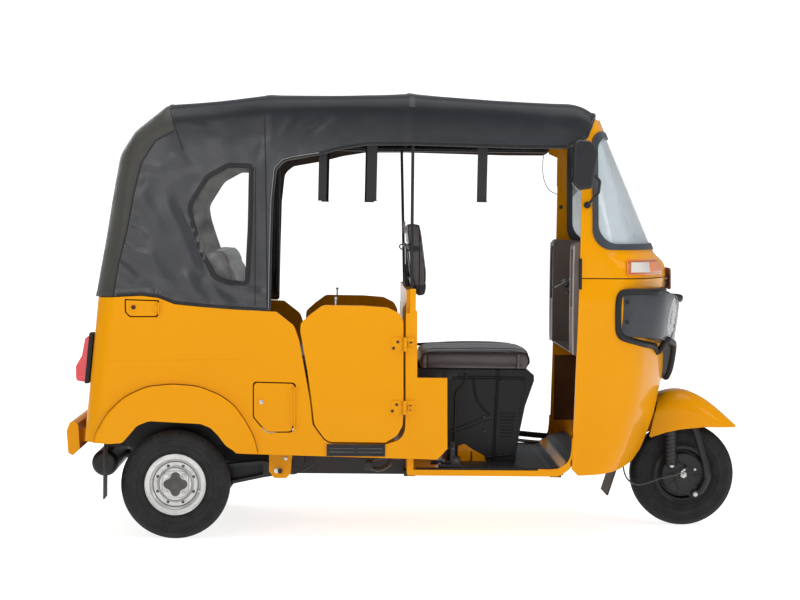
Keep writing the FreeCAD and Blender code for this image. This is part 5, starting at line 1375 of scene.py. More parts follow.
mould(dc, dc_shape, (lo[0], lo[1] - 0.003, lo[2]), (hi[0] + 0.002, hi[1] + 0.003, hi[2] + 0.022))
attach(dc, "body")
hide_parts("driver_cushion")
ring = resample([Vector((SX(x), y / 1000, z / 1000)) for x, y, z in
                 [(936, -294, 699), (1340, -294, 706), (1362, -284, 706), (1372, -262, 706), (1373, 0, 706), (1372, 262, 706), (1362, 284, 706), (1340, 294, 706), (936, 294, 699)]], 0.012)
pts, _ = surface_loop(dc, ring, 0.0004)
PIPE_SEAT.tube(pts, 0.0027, 8, curve=False)

# driver's back pad: upright pad, leaning, with a dark block below
bm = prism_bm([(919, 918, 8), (953, 918, 10), (952, 1008, 50), (926, 1203, 12), (880, 1202, 12), (899, 1000, 50)], -194, 194, 16)
db = swell("driver_back_pad", bm, 0.0060, 0.0030)
lo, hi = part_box("driver_backrest")


def db_shape(co, no):
    Y_, Z_ = co[:, 1] * 1000, co[:, 2] * 1000
    front = np.clip((no[:, 0] - 0.4) / 0.4, 0, 1)
    backf = np.clip((-no[:, 0] - 0.4) / 0.4, 0, 1)
    d = 4.0 * front * np.clip(1 - (Y_ / 195) ** 4, 0, 1) * np.clip(1 - ((Z_ - 1060) / 142) ** 4, 0, 1)
    d += (groove(Y_, -150, 4, 2.6) + groove(Y_, 150, 4, 2.6) + groove(Z_, 968, 4, 2.4)) * front
    d += creases(co, 43, 90, 0.8)
    # shallow channels where the two tubes pass behind it
    for y in (-120, 120):
        d += -7.0 * np.clip(1 - ((Y_ - y) / 17) ** 2, 0, 1) * backf * (Z_ < 1140)
    d += -6.0 * np.clip(1 - ((Z_ - 1112) / 15) ** 2, 0, 1) * backf
    return d


mould(db, db_shape, (lo[0], lo[1] - 0.002, lo[2]), (hi[0] + 0.002, hi[1] + 0.002, hi[2] + 0.002))
# the foot of the pad is a separate black block
nm = len(db.data.polygons)
db.data.materials.append(M["black_plastic"])
zc = np.empty(nm * 3)
db.data.polygons.foreach_get("center", zc)
db.data.polygons.foreach_set("material_index", (zc.reshape(-1, 3)[:, 2] < 0.962).astype(np.int32))
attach(db, "body")
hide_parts("driver_backrest")
ring = [Vector((SX(930), y, z)) for y, z in rounded2d([(-0.196, 0.925, 0.03), (0.196, 0.925, 0.03), (0.196, 1.200, 0.03), (-0.196, 1.200, 0.03)], 5)]
ring = resample(ring + ring[:1], 0.012)[:-1]
pts, _ = surface_loop(db, ring, 0.0003)
PIPE_SEAT.tube(pts, 0.0024, 8, closed=True, curve=False)

# passenger cushion and back: full width bench with sewn channels
bm = prism_bm([(214, 614, 14), (552, 610, 24), (560, 680, 36), (236, 694, 36)], -550, 550, 20)
pc = swell("passenger_cushion_pad", bm, 0.0105, 0.009, rest=lambda c: c[2] < 0.622, subdivide=False)
lo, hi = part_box("passenger_cushion")


def pc_shape(co, no):
    X_, Y_ = (co[:, 0] - RX) * 1000, co[:, 1] * 1000
    top = np.clip((no[:, 2] - 0.3) / 0.4, 0, 1)
    d = 7.0 * top * np.clip(1 - ((X_ - 390) / 180) ** 4, 0, 1)
    for y in (-372, -186, 0, 186, 372):
        d += groove(Y_, y, 10, 4.5) * top
    d += groove(X_, 500, 9, 3.2) * top
    d += creases(co, 47, 150, 1.5)
    return d


mould(pc, pc_shape, (lo[0], lo[1] - 0.003, lo[2] - 0.001), (hi[0] + 0.004, hi[1] + 0.003, hi[2] + 0.005))
bm = prism_bm([(236, 722, 24), (320, 722, 24), (168, 1098, 34), (72, 1098, 34)], -550, 550, 20)
pb = swell("passenger_back_pad", bm, 0.0105, 0.008, subdivide=False)
lo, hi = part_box("passenger_backrest")


def pb_shape(co, no):
    Y_, Z_ = co[:, 1] * 1000, co[:, 2] * 1000
    front = np.clip((no[:, 0] - 0.3) / 0.4, 0, 1)
    d = 5.0 * front
    for y in (-372, -186, 0, 186, 372):
        d += groove(Y_, y, 10, 4.5) * front
    d += (groove(Z_, 1035, 9, 3.5) + groove(Z_, 800, 9, 3.0)) * front
    d += creases(co, 53, 150, 1.5)
    return d


mould(pb, pb_shape, (lo[0], lo[1] - 0.003, lo[2]), (hi[0] + 0.003, hi[1] + 0.003, hi[2] + 0.004))
for ob, node, fill in ((pc, "passenger_cushion", 0.75), (pb, "passenger_backrest", 0.75)):
    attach(ob, "body")
    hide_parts(node)
for ob, line3 in ((pc, [(556, -545, 690), (556, 545, 690)]), (pb, [(170, -545, 1100), (170, 545, 1100)])):
    ring = resample([Vector((SX(x), y / 1000, z / 1000)) for x, y, z in line3], 0.02)
    pts, _ = surface_loop(ob, ring, 0.0004)
    PIPE_SEAT.tube(pts, 0.003, 8, curve=False)
PIPE_SEAT.done("seat_welts", M["seat_piping"], "body", "seat_vinyl", angle=60)

# hanging straps: webbing hanging from the rail, a doubled end and cross stitching
WEB = Pile()
STITCH = Pile()
slo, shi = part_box("hood_straps")
for s, cols in ((-1, ((534, 566), (717, 757), (1136, 1175))), (1, ((534, 566), (717, 757)))):
    yo = s * (shi[1] if s > 0 else -slo[1])
    for i, (x0, x1) in enumerate(cols):
        zt = shi[2] - 0.0005
        half = (x1 - x0) / 2000 - 0.0006
        xm = SX((x0 + x1) / 2)
        yc = yo - s * 0.0012
        path, nn = [], []
        for k in range(26):
            t = k / 25
            z = zt + (1.2895 - zt) * t
            path.append(Vector((xm - 0.003 * t, yc - s * (0.0006 * math.sin(t * 9 + i)), z)))
            nn.append(Vector((0.05 * math.sin(t * 5 + i * 2), s, 0)))
        ribbon(WEB, path, nn, half, 0.0011)
        for z in (1.2945, 1.322, 1.330):
            STITCH.tube([Vector((xm - half + 0.003, yc + s * 0.0011, z)), Vector((xm + half - 0.003, yc + s * 0.0011, z))], 0.0004, 5, curve=False)
        WEB.box((xm - half - 0.0025, yc - 0.0030, 1.2885), (xm + half - 0.0015, yc + 0.0030, 1.2935), 0.001)
web = WEB.done("hanging_straps_web", M["strap_web"], "body", "black_plastic", angle=40)
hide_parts("hood_straps")
STITCH.done("hanging_straps_stitch", M["thread"], "body", "black_plastic", angle=60)
# ------------------------------------------------------------------ wheels
AX_Z = (TYRE_LO[2] + TYRE_HI[2]) / 2
FX = (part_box("front_wheel_tyre")[0].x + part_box("front_wheel_tyre")[1].x) / 2
RY = abs((TYRE_LO[1] + TYRE_HI[1]) / 2)


def around(cx, cy, ang, r, y):
    return Vector((cx + r * math.cos(ang), cy + y, AX_Z + r * math.sin(ang)))


def ring_tube(pile, cx, cy, r, y, t, seg=96, sides=6):
    pile.tube([around(cx, cy, 2 * math.pi * k / seg, r, y) for k in range(seg)], t, sides, closed=True, curve=False)


def tread_blocks(pile, cx, cy, n=44):
    """Chevron lugs on the tread and blocks on the shoulders, standing half a millimetre into the tyre and 1.2 mm proud."""
    for k in range(n):
        a0 = 2 * math.pi * k / n
        for s in (-1, 1):
            # shoulder lug
            V = []
            for (yy, rr) in ((27.5, 207.0), (37, 203.2), (45, 196.0), (50.0, 188.5)):
                for da, up in ((-0.34, -0.6), (-0.30, 1.3), (0.30, 1.3), (0.34, -0.6)):
                    ang = a0 + da * 2 * math.pi / n + s * 0.02
                    V.append(around(cx, cy, ang, (rr + up - 1.4) / 1000, s * yy / 1000))
            F = []
            for i in range(3):
                for j in range(3):
                    F.append((i * 4 + j, i * 4 + j + 1, (i + 1) * 4 + j + 1, (i + 1) * 4 + j))
            F += [(0, 1, 2, 3)[::-1], (12, 13, 14, 15)]
            pile.put(V, F)
        # centre rib blocks, slanted
        V = []
        for yy in (-9.0, 9.0):
            for da, up in ((-0.36, -0.8), (-0.32, 0.0), (0.32, 0.0), (0.36, -0.8)):
                ang = a0 + (da + yy * 0.018) * 2 * math.pi / n
                V.append(around(cx, cy, ang, (206.9 + up) / 1000, yy / 1000))
        F = [(0, 1, 5, 4), (1, 2, 6, 5), (2, 3, 7, 6), (0, 3, 2, 1), (4, 5, 6, 7)]
        pile.put(V, F)


for name, cx, cy, body in (("rear_wheel_right", RX, -RY, "rear_wheel_right"), ("rear_wheel_left", RX, RY, "rear_wheel_left"), ("front_wheel", FX, 0.0, "front_wheel")):
    tr = Pile()
    tread_blocks(tr, cx, cy)
    for s in (-1, 1):
        for r, y, t in ((0.1815, 0.0516, 0.0010), (0.168, 0.0523, 0.0007), (0.146, 0.0520, 0.0008), (0.1285, 0.0455, 0.0014), (0.1225, 0.0446, 0.0011)):
            ring_tube(tr, cx, cy, r, s * y, t, 80, 6)
        # small radial ribs by the shoulder and wear marks round the wall
        for k in range(44):
            a = 2 * math.pi * (k + 0.5) / 44
            tr.tube([around(cx, cy, a, 0.1865, s * 0.0506), around(cx, cy, a, 0.179, s * 0.0519)], 0.0009, 4, curve=False)
    tr.done(name + "_tread", M["tyre_rubber"], body, "tyre_rubber", angle=30)


def lobed(pile, cx, cy, n, r, depth, y0, y1, seg=96, phase=0.0, rr=0.0015):
    """A dished disc whose edge is drawn in between n lobes, from depth y0 at the rim to y1 at its face."""
    V, F = [], []
    rows = ((1.0, y0), (0.985, (y0 + y1) / 2), (0.93, y1), (0.70, y1 * 1.0))
    for f, y in rows:
        for k in range(seg):
            a = 2 * math.pi * k / seg
            rad = (r + depth * math.cos(n * (a + phase))) * f
            V.append(around(cx, cy, a, rad, y))
    for i in range(len(rows) - 1):
        for k in range(seg):
            l = (k + 1) % seg
            F.append((i * seg + k, i * seg + l, (i + 1) * seg + l, (i + 1) * seg + k))
    c = len(V)
    V.append(Vector((cx, cy + rows[-1][1], AX_Z)))
    for k in range(seg):
        F.append(((len(rows) - 1) * seg + k, (len(rows) - 1) * seg + (k + 1) % seg, c))
    pile.put(V, F)


for s, body in ((-1, "rear_wheel_right"), (1, "rear_wheel_left")):
    cx, cy = RX, s * RY
    si, dk, bo = Pile(), Pile(), Pile()
    # outward is s; the rim's face stands at about 44 mm, its dish at 22 to 30 mm, the hub at 40 mm
    ring_tube(si, cx, cy, 0.1145, s * 0.0466, 0.0020, 96, 8)
    ring_tube(si, cx, cy, 0.1030, s * 0.0352, 0.0022, 96, 8)
    ring_tube(dk, cx, cy, 0.0855, s * 0.0232, 0.0013, 96, 6)
    lobed(si, cx, cy, 4, 0.0560, 0.0045, s * 0.0292, s * 0.0345, phase=math.radians(45))
    ring_tube(dk, cx, cy, 0.0620, s * 0.0296, 0.0011, 96, 6)
    # dark four-lobed hub with a cap
    lobed(dk, cx, cy, 4, 0.0400, 0.0060, s * 0.0340, s * 0.0412, phase=0.0)
    dk.lathe((cx, cy + s * 0.040, AX_Z), (0, s, 0), [(0, 0.021), (0.003, 0.0205), (0.0045, 0.017), (0.0055, 0.0)], 32)
    for k in range(4):
        a = math.pi / 4 + k * math.pi / 2
        p = around(cx, cy, a, 0.0470, s * 0.0338)
        bo.lathe(p, (0, s, 0), [(0, 0.0105), (0.0015, 0.0105), (0.0018, 0.0082), (0.0068, 0.0080), (0.0075, 0.0068), (0.0075, 0.0046), (0.0105, 0.0044), (0.0112, 0.0)], 6)
    # vent slots in the dish
    for k in range(8):
        a = 2 * math.pi * (k + 0.5) / 8
        dk.put(*lathe_data(around(cx, cy, a, 0.0735, s * 0.0222), (0, s, 0), [(0, 0.0060), (0.0011, 0.0058), (0.0014, 0)], 16))
    # valve
    vp = around(cx, cy, -0.27, 0.0905, s * 0.0325)
    bo.lathe(vp, (0.18, s, 0), [(0, 0.0040), (0.004, 0.0040), (0.005, 0.0032), (0.016, 0.0030), (0.0165, 0.0036), (0.021, 0.0036), (0.022, 0)], 12)
    # balance weight on the flange
    si.put(*tube_data([around(cx, cy, a, 0.1120, s * 0.0475) for a in np.linspace(2.0, 2.3, 8)], 0.0026, 6))
    si.done("rim_rings_%s" % ("r" if s < 0 else "l"), M["rim_steel"], body, "rim_steel")
    dk.done("hub_dark_%s" % ("r" if s < 0 else "l"), M["hub_grey"], body, "rim_steel")
    bo.done("wheel_nuts_%s" % ("r" if s < 0 else "l"), M["zinc"], body, "rim_steel", angle=25)

# front wheel: black rim and hub, bright nuts
fr, fb = Pile(), Pile()
for s in (-1, 1):
    ring_tube(fr, FX, 0, 0.1145, s * 0.0466, 0.0020, 96, 8)
    ring_tube(fr, FX, 0, 0.1030, s * (0.0352 if s > 0 else 0.0352), 0.0018, 96, 8)
ring_tube(fr, FX, 0, 0.0760, -0.0292, 0.0016, 80, 6)
for k in range(5):
    a = 2 * math.pi * k / 5 + 0.3
    fb.lathe(around(FX, 0, a, 0.0560, 0.0275), (0, 1, 0), [(0, 0.009), (0.002, 0.009), (0.0022, 0.0072), (0.008, 0.0070), (0.0088, 0)], 6)
fb.lathe(around(FX, 0, 0.7, 0.093, 0.0380), (0.1, 1, 0), [(-0.010, 0.0038), (0.000, 0.0036), (0.008, 0.0032), (0.009, 0)], 10)
fr.done("front_rim_rings", M["black_steel"], "front_wheel", "black_steel")
fb.done("front_wheel_nuts", M["zinc"], "front_wheel", "black_steel", angle=25)

# front suspension: coil spring over the damper, arm bolts and brake plate ribs
T0, T1 = S((1948, -87, 250)), S((1945, -87, 386))
coil, dmp, brt = Pile(), Pile(), Pile()
ax, au, aw = basis(T1 - T0)
Ls = (T1 - T0).length
turns = 8.5
pts = []
for k in range(int(turns * 22) + 1):
    t = k / (turns * 22)
    th = t * turns * 2 * math.pi
    pts.append(T0 + ax * (Ls * t) + au * (0.0215 * math.cos(th)) + aw * (0.0215 * math.sin(th)))
coil.tube(pts, 0.0042, 7, curve=False)
dmp.lathe(T0, ax, [(-0.004, 0), (-0.004, 0.0262), (0.004, 0.0262), (0.004, 0.012)], 28)
dmp.lathe(T0, ax, [(Ls - 0.004, 0.012), (Ls - 0.004, 0.0262), (Ls + 0.004, 0.0262), (Ls + 0.006, 0.014), (Ls + 0.02, 0.0125), (Ls + 0.02, 0)], 28)
dmp.done("front_spring_seats", M["black_steel"], "steering", "black_steel")
coil.done("front_spring_coil", M["spring_black"], "steering", "black_steel", angle=60)
for x, z, y0 in ((2046, 131, -109), (1951, 246, -101)):
    brt.lathe(S((x, y0, z)), (0, -1, 0), [(0, 0.0095), (0.0012, 0.0095), (0.0014, 0.0074), (0.0062, 0.0072), (0.007, 0)], 6)
brt.lathe(S((2000, -87, 207)), (0, -1, 0), [(0, 0.0135), (0.0015, 0.0135), (0.002, 0.0105), (0.009, 0.0102), (0.010, 0.0065), (0.014, 0.006), (0.0145, 0)], 6)
for k in range(3):
    a = k * 2.094 + 0.4
    brt.lathe(Vector((FX + 0.052 * math.cos(a), -0.0702, AX_Z + 0.052 * math.sin(a))), (0, -1, 0), [(0, 0.0055), (0.003, 0.0052), (0.0036, 0)], 6)
brt.done("front_suspension_bolts", M["zinc"], "steering", "black_steel", angle=25)
ribs = Pile()
for k in range(10):
    a = 2 * math.pi * k / 10
    if abs(((math.degrees(a) + 180) % 360) - 180 - 60) < 30:
        continue
    ribs.tube([Vector((FX + r * math.cos(a), -0.0702, AX_Z + r * math.sin(a))) for r in (0.030, 0.079)], 0.0016, 5, curve=False)
for r in (0.0815, 0.0365):
    ribs.tube([Vector((FX + r * math.cos(2 * math.pi * k / 64), -0.0702, AX_Z + r * math.sin(2 * math.pi * k / 64))) for k in range(64)], 0.0016, 6, closed=True, curve=False)
ribs.done("brake_plate_ribs", M["black_steel"], "steering", "black_steel")
# ------------------------------------------------------------------ body fittings
def node_bvh(*nodes):
    V, F = [], []
    for n in nodes:
        me = NODES[n].data
        o = len(V)
        V += [v.co.copy() for v in me.vertices]
        F += [tuple(i + o for i in p.vertices) for p in me.polygons]
    return BVHTree.FromPolygons(V, F)


def hit(bvh, o, d, out=0.0):
    loc, nor, _, _ = bvh.ray_cast(Vector(o), Vector(d).normalized())
    if loc is None:
        return None, None
    if nor.dot(Vector(d)) > 0:
        nor = -nor
    return loc + nor * out, nor


def screw(pile, p, n, r=0.0052, h=0.0026):
    pile.lathe(Vector(p) - Vector(n) * 0.0008, n, [(0, r), (0.0012 + h * 0.2, r), (h + 0.0006, r * 0.72), (h + 0.0010, r * 0.30), (h + 0.0004, 0)], 14)


M["brown_screw"] = metal_look("brown_screw", (0.060, 0.016, 0.006), (0.10, 0.028, 0.008), 0.4, metallic=0.3, coat=0.2)
M["gap_brown"] = moulded_look("gap_brown", (0.085, 0.024, 0.004), (0.12, 0.034, 0.006), 0.6)
M["plate_frame"] = moulded_look("plate_frame", (0.16, 0.035, 0.014), (0.22, 0.05, 0.02), 0.45, coat=0.3)
M["lamp_dark"] = lens_look("lamp_dark", (0.055, 0.060, 0.066), (0.030, 0.033, 0.038), 260, rough=0.12)
for nm_, v_ in (("Transmission Weight", 0.0), ("Coat Weight", 0.30), ("Specular IOR Level", 0.2)):
    M["lamp_dark"].node_tree.nodes["Principled BSDF"].inputs[nm_].default_value = v_

# door hinges, latches, locks and hatch surrounds
SC = {-1: Pile(), 1: Pile()}
SB = Pile()
for s in (-1, 1):
    for (x, z) in ((839, 757), (823, 733), (837, 519), (821, 495)):
        screw(SC[s], S((x, s * 638, z)), (0, s, 0), 0.0060)
    for (x, z) in ((889, 757), (889, 733), (889, 519), (889, 495)):
        screw(SB, S((x, s * 634, z)), (0, s, 0), 0.0060)
    SC[s].done("door_hinge_screws_%s" % ("r" if s < 0 else "l"), M["brown_screw"], "door_right" if s < 0 else "door_left", "black_steel")
    # latch: a thin blued pin with a ball standing at the front of the door's top edge
    lt = Pile()
    lt.tube([S((602, s * 620, 889)), S((602, s * 620, 905)), S((602.5, s * 620, 918))], 0.0034, 10, per=3)
    lt.lathe(S((602.5, s * 620, 915)), (0, 0, 1), [(0, 0.0034), (0.002, 0.0056), (0.006, 0.0062), (0.0095, 0.0045), (0.0108, 0)], 14)
    lt.done("door_latch_%s" % ("r" if s < 0 else "l"), M["latch_steel"], "door_right" if s < 0 else "door_left", "black_steel")
    # inside of each door: a pressed frame and a handle bar
    di = Pile()
    loop = [Vector((SX(x), s * 0.6052, z / 1000)) for x, z in rounded2d([(545, 410, 40), (835, 410, 40), (835, 850, 40), (560, 850, 40), (505, 790, 40), (530, 640, 40)], 6)]
    di.tube(loop, 0.0030, 8, closed=True, curve=False)
    di.done("door_inner_bead_%s" % ("r" if s < 0 else "l"), M["body_paint"], "door_right" if s < 0 else "door_left", "body_paint")
    dh = Pile()
    dh.tube([S((575, s * 606, 800)), S((575, s * 596, 800)), S((590, s * 590, 800)), S((640, s * 590, 800)), S((655, s * 596, 800)), S((655, s * 606, 800))], 0.0042, 10, per=5)
    dh.done("door_inner_handle_%s" % ("r" if s < 0 else "l"), M["black_steel"], "door_right" if s < 0 else "door_left", "black_steel")
SB.done("body_hinge_screws", M["brown_screw"], "body", "black_steel")

lk = Pile()
lk2 = Pile()
for body, (x, z), pile in (("service_hatch", (325, 525), lk), ("upper_hatch", (-161, 879), lk2)):
    p = S((x, -636, z))
    pile.lathe(p, (0, -1, 0), [(-0.0004, 0.0086), (0.0008, 0.0086), (0.0014, 0.0072), (0.0016, 0.0050), (0.0011, 0.0046), (0.0011, 0)], 24)
    pile.box((p.x - 0.0052, p.y - 0.0024, p.z - 0.0010), (p.x + 0.0052, p.y - 0.0008, p.z + 0.0010), 0.0003)
lk.done("service_hatch_lock", M["zinc"], "service_hatch", "black_steel")
lk2.done("upper_hatch_lock", M["brown_screw"], "upper_hatch", "black_steel")

# dark rubber lips inside the two hatch openings, behind the gaps
lips = Pile()
for pts2 in (HATCH_LOW_ := [(296, 597, 14), (450, 594, 14), (441, 414, 14), (345, 412, 20), (297, 468, 20)], [(-190, 905, 3), (-70, 902, 3), (-72, 847, 10), (-174, 846, 14), (-189, 862, 14)]):
    loop = [Vector((SX(x), -0.6155, z / 1000)) for x, z in rounded2d(pts2, 5)]
    lips.tube(loop, 0.0036, 8, closed=True, curve=False)
lips.done("hatch_seals", M["gap_brown"], "body", "seal_rubber", angle=60)

# steps below the doors: a black tread plate with two slots
for s in (-1, 1):
    stp = Pile()
    y0, y1 = sorted((s * 0.6335, s * 0.6372))
    stp.box((SX(573), y0, 0.3215), (SX(795), y1, 0.3675), 0.0015)
    y2, y3 = sorted((s * 0.6372, s * 0.6395))
    for z in (0.3265, 0.3625):
        stp.box((SX(577), y2, z - 0.0022), (SX(791), y3, z + 0.0022), 0.0008)
    ob = stp.done("step_plate_%s" % ("r" if s < 0 else "l"), M["black_plastic"], "body", "black_plastic")
    sl = Pile()
    for z in (0.338, 0.3515):
        for x in (583, 690):
            sl.box((SX(x), y2, z - 0.0018), (SX(x + 95), y2 + (y3 - y2) * 0.35, z + 0.0018), 0.0005)
    sl.done("step_slots_%s" % ("r" if s < 0 else "l"), M["zinc_dull"], "body", "black_plastic")

# pressed crease along each rear side and a dark line where the fender meets the side
cre, fgap = Pile(), Pile()
FEND = [(-309, 365, 0), (-299, 403, 60), (-261, 472, 160), (-194, 540, 200), (-108, 579, 160), (-13, 589, 200), (85, 582, 200), (161, 552, 160), (220, 514, 160), (268, 446, 200), (298, 389, 80), (313, 331, 0)]
for s in (-1, 1):
    cre.tube([S((x, s * 629.6, 681 + 3 * math.sin(x / 150))) for x in range(-262, 288, 25)], 0.0012, 6, curve=False)
    loop = rounded2d([(a, b, c) for a, b, c in FEND], 8)
    path = [S((x + (1.5 if x > 0 else -1.5) * 0, s * 630.3, z + 1.6)) for x, z in loop]
    fgap.tube(smooth_path(path, 2), 0.0015, 6, curve=False)
cre.done("side_creases", M["body_paint"], "body", "body_paint")
fgap.done("fender_seams", M["gap_brown"], "body", "black_steel", angle=60)

# tail lamps: dark gasket behind each lens; dark filler strips on the tail's corners
tail_v = np.array([v.co for v in NODES["tail_lamps"].data.vertices])
for s in (-1, 1):
    tv = tail_v[tail_v[:, 1] * s > 0]
    lo3, hi3 = tv.min(0), tv.max(0)
    zb, zt = lo3[2], hi3[2]
    low, top = tv[tv[:, 2] < zb + 0.012], tv[tv[:, 2] > zt - 0.012]
    xb, xt = low[:, 0].max(), top[:, 0].max()
    ob = Pile()
    y0, y1 = lo3[1] - 0.003, hi3[1] + 0.003
    V = []
    for z, x in ((zb - 0.004, xb), (zt + 0.004, xt)):
        for dx in (-0.011, 0.004):
            for y in (y0, y1):
                V.append((x + dx, y, z))
    ob.put(V, [(0, 1, 3, 2), (4, 6, 7, 5), (0, 4, 5, 1), (2, 3, 7, 6), (0, 2, 6, 4), (1, 5, 7, 3)])
    ob.done("tail_lamp_gasket_%s" % ("r" if s < 0 else "l"), M["black_rubber"], "body", "seal_rubber", angle=20)
tail_bvh = node_bvh("tail_panel", "side_panel_right", "side_panel_left")
strips = Pile()
for s in (-1, 1):
    for z0, z1 in ((0.815, 0.905), (0.450, 0.560)):
        pts = []
        for k in range(9):
            z = z0 + (z1 - z0) * k / 8
            p, n = hit(tail_bvh, (RX - 0.9, s * 0.475, z), (1, 0, 0), 0.001)
            if p is not None:
                pts.append(p)
        if len(pts) > 3:
            V, F = tube_data(pts, 0.0050, 8)
            strips.put(V, F)
strips.done("tail_corner_strips", M["gap_brown"], "body", "black_steel")

# number plates: pressed rims and two bolts each, left blank
pl = Pile()
plb = Pile()
pv = np.array([v.co for v in NODES["number_plates"].data.vertices])
front_v, rear_v = pv[pv[:, 0] > 0], pv[pv[:, 0] < 0]
fl0, fh0 = front_v[(np.abs(front_v[:, 1]) > 0.14)].min(0), front_v.max(0)
xf = fh0[0]
loop = [Vector((xf - 0.0008 - 0.002 * (z - 952) / 84, y / 1000, z / 1000)) for y, z in rounded2d([(-149, 953, 8), (149, 953, 8), (149, 1035, 8), (-149, 1035, 8)], 4)]
pl.tube(loop, 0.0021, 8, closed=True, curve=False)
for y in (-0.11, 0.11):
    plb.lathe((xf - 0.0016, y, 0.994), (1, 0, 0), [(0, 0.006), (0.002, 0.0055), (0.003, 0)], 12)
rl0, rh0 = rear_v.min(0), rear_v.max(0)
xr = rl0[0]
loop = [Vector((xr - 0.0002, y, z)) for y, z in rounded2d([(rl0[1] + 0.002, rl0[2] + 0.002, 0.008), (rh0[1] - 0.002, rl0[2] + 0.002, 0.008), (rh0[1] - 0.002, rh0[2] - 0.002, 0.008), (rl0[1] + 0.002, rh0[2] - 0.002, 0.008)], 4)]
pl.tube(loop, 0.0021, 8, closed=True, curve=False)
for f in (0.25, 0.75):
    y = rl0[1] + (rh0[1] - rl0[1]) * f
    plb.lathe((xr + 0.0004, y, (rl0[2] + rh0[2]) / 2), (-1, 0, 0), [(0, 0.006), (0.002, 0.0055), (0.003, 0)], 12)
pl.put(*rbox_data((xf - 0.0052, -0.150, 0.952), (xf - 0.0028, 0.150, 1.036), 0.001))
pl.done("plate_rims", M["plate_frame"], "body", "plate_paint", angle=60)
plb.done("plate_bolts", M["zinc"], "body", "black_steel")

# turn signals: a red-brown surround, a clear part behind and an amber part in front, laid on the moulding
sig = node_bvh("turn_signals")
for s in (-1, 1):
    C = Vector((SX(1760), s * 0.30, 0))
    good = []
    for k in range(0, 361):
        th = math.radians(-100 + 0.35 * k)
        d = Vector((math.cos(th), s * abs(math.sin(th)) if th < 0 else s * -math.sin(th), 0))
        d = Vector((math.cos(th), -s * math.sin(th), 0))
        p, n = hit(sig, C + Vector((0, 0, 1.047)) + d * 0.6, -d)
        if p is not None and (p - C).dot(d) > 0.05 and n.dot(d) > 0.2:
            good.append((th, p))
    if len(good) < 12:
        print("signal rays", s, len(good))
        continue
    L = [0.0]
    for (a, p), (b, q) in zip(good, good[1:]):
        L.append(L[-1] + (q - p).length)
    nU, nV = 46, 14
    ths = np.interp(np.linspace(0.004, L[-1] - 0.004, nU + 1), L, [g[0] for g in good])
    zl, zh = 1.0195, 1.0725
    V, mi, F = [], [], []
    ok = True
    for i, th in enumerate(ths):
        d = Vector((math.cos(th), -s * math.sin(th), 0))
        for j in range(nV + 1):
            z = zl + (zh - zl) * j / nV
            p, n = hit(sig, C + Vector((0, 0, z)) + d * 0.6, -d)
            if p is None:
                p, n = hit(sig, C + Vector((0, 0, min(1.070, max(1.021, z)))) + d * 0.6, -d)
            if p is None:
                ok = False
                p, n = Vector(good[len(good) // 2][1]), Vector((0, s, 0))
            edge = min(i, nU - i, j * 0.9, (nV - j) * 0.9)
            lift = 0.0016 if 1.0 <= edge <= 2.2 else (0.0010 if edge > 2.2 else 0.0002)
            V.append(p + n * lift)
    for i in range(nU):
        for j in range(nV):
            F.append((i * (nV + 1) + j, (i + 1) * (nV + 1) + j, (i + 1) * (nV + 1) + j + 1, i * (nV + 1) + j + 1))
            e = min(i, nU - 1 - i, j, nV - 1 - j)
            mi.append(0 if e < 2 else (1 if i < nU * 0.46 else 2))
    if s > 0:
        F = [f[::-1] for f in F]
    ob = add("signal_lens_%s" % ("r" if s < 0 else "l"), V, F, None, "body", mats=[M["lens_frame"], M["clear_lens"], M["amber_lens"]], index=np.array(mi, np.int32))

# headlamp pods: rubber rim round the mask, two screws each side, and a bright chrome ring round each dark lens, a
# painted highlight for the glint on the lens edge
mask = node_bvh("headlamp_mask", "cowl_lower")
rim_t = Pile()
scr = Pile()
for s in (-1, 1):
    side_pts = [(1885, 951), (1830, 953), (1760, 954), (1710, 953), (1690, 948), (1681, 934), (1677, 900), (1677, 840), (1680, 800), (1690, 783), (1712, 773), (1780, 753), (1836, 736), (1856, 712)]
    path = []
    for y in (0, 60, 120, 180, 240, 300, 360, 420, 470):
        p, n = hit(mask, (1.25, s * y / 1000, 0.912 if y < 170 else 0.916 + (y - 170) * 0.00012), (-1, 0, 0), 0.002)
        if p is not None:
            path.append(p)
    for x, z in side_pts:
        p, n = hit(mask, (SX(x), s * 0.9, z / 1000), (0, -s, 0), 0.002)
        if p is not None:
            path.append(p)
    for y, z in ((420, 0.764), (360, 0.756), (300, 0.748), (240, 0.738), (205, 0.700), (165, 0.638), (135, 0.610), (90, 0.600), (0, 0.600)):
        p, n = hit(mask, (1.25, s * y / 1000, z), (-1, 0, 0), 0.002)
        if p is not None:
            path.append(p)
    rim_t.tube(resample(smooth_path(path, 4), 0.012), 0.0125, 10, curve=False)
    for z in (0.914, 0.839):
        p, n = hit(mask, (SX(1712), s * 0.9, z), (0, -s, 0), 0.0)
        if p is not None:
            scr.lathe(p, n, [(-0.001, 0.0095), (0.0012, 0.0092), (0.0018, 0.0070), (0.0006, 0.0062), (0.0006, 0)], 16)
rim_t.done("lamp_pod_rim", M["black_rubber"], "body", "seal_rubber", angle=60)
scr.done("lamp_pod_screws", M["black_plastic"], "body", "black_steel")
dress("headlamps", "lamp_dark")
lamp = node_bvh("headlamps")
lr = Pile()
lb = Pile()
lv = np.array([v.co for v in NODES["headlamps"].data.vertices])
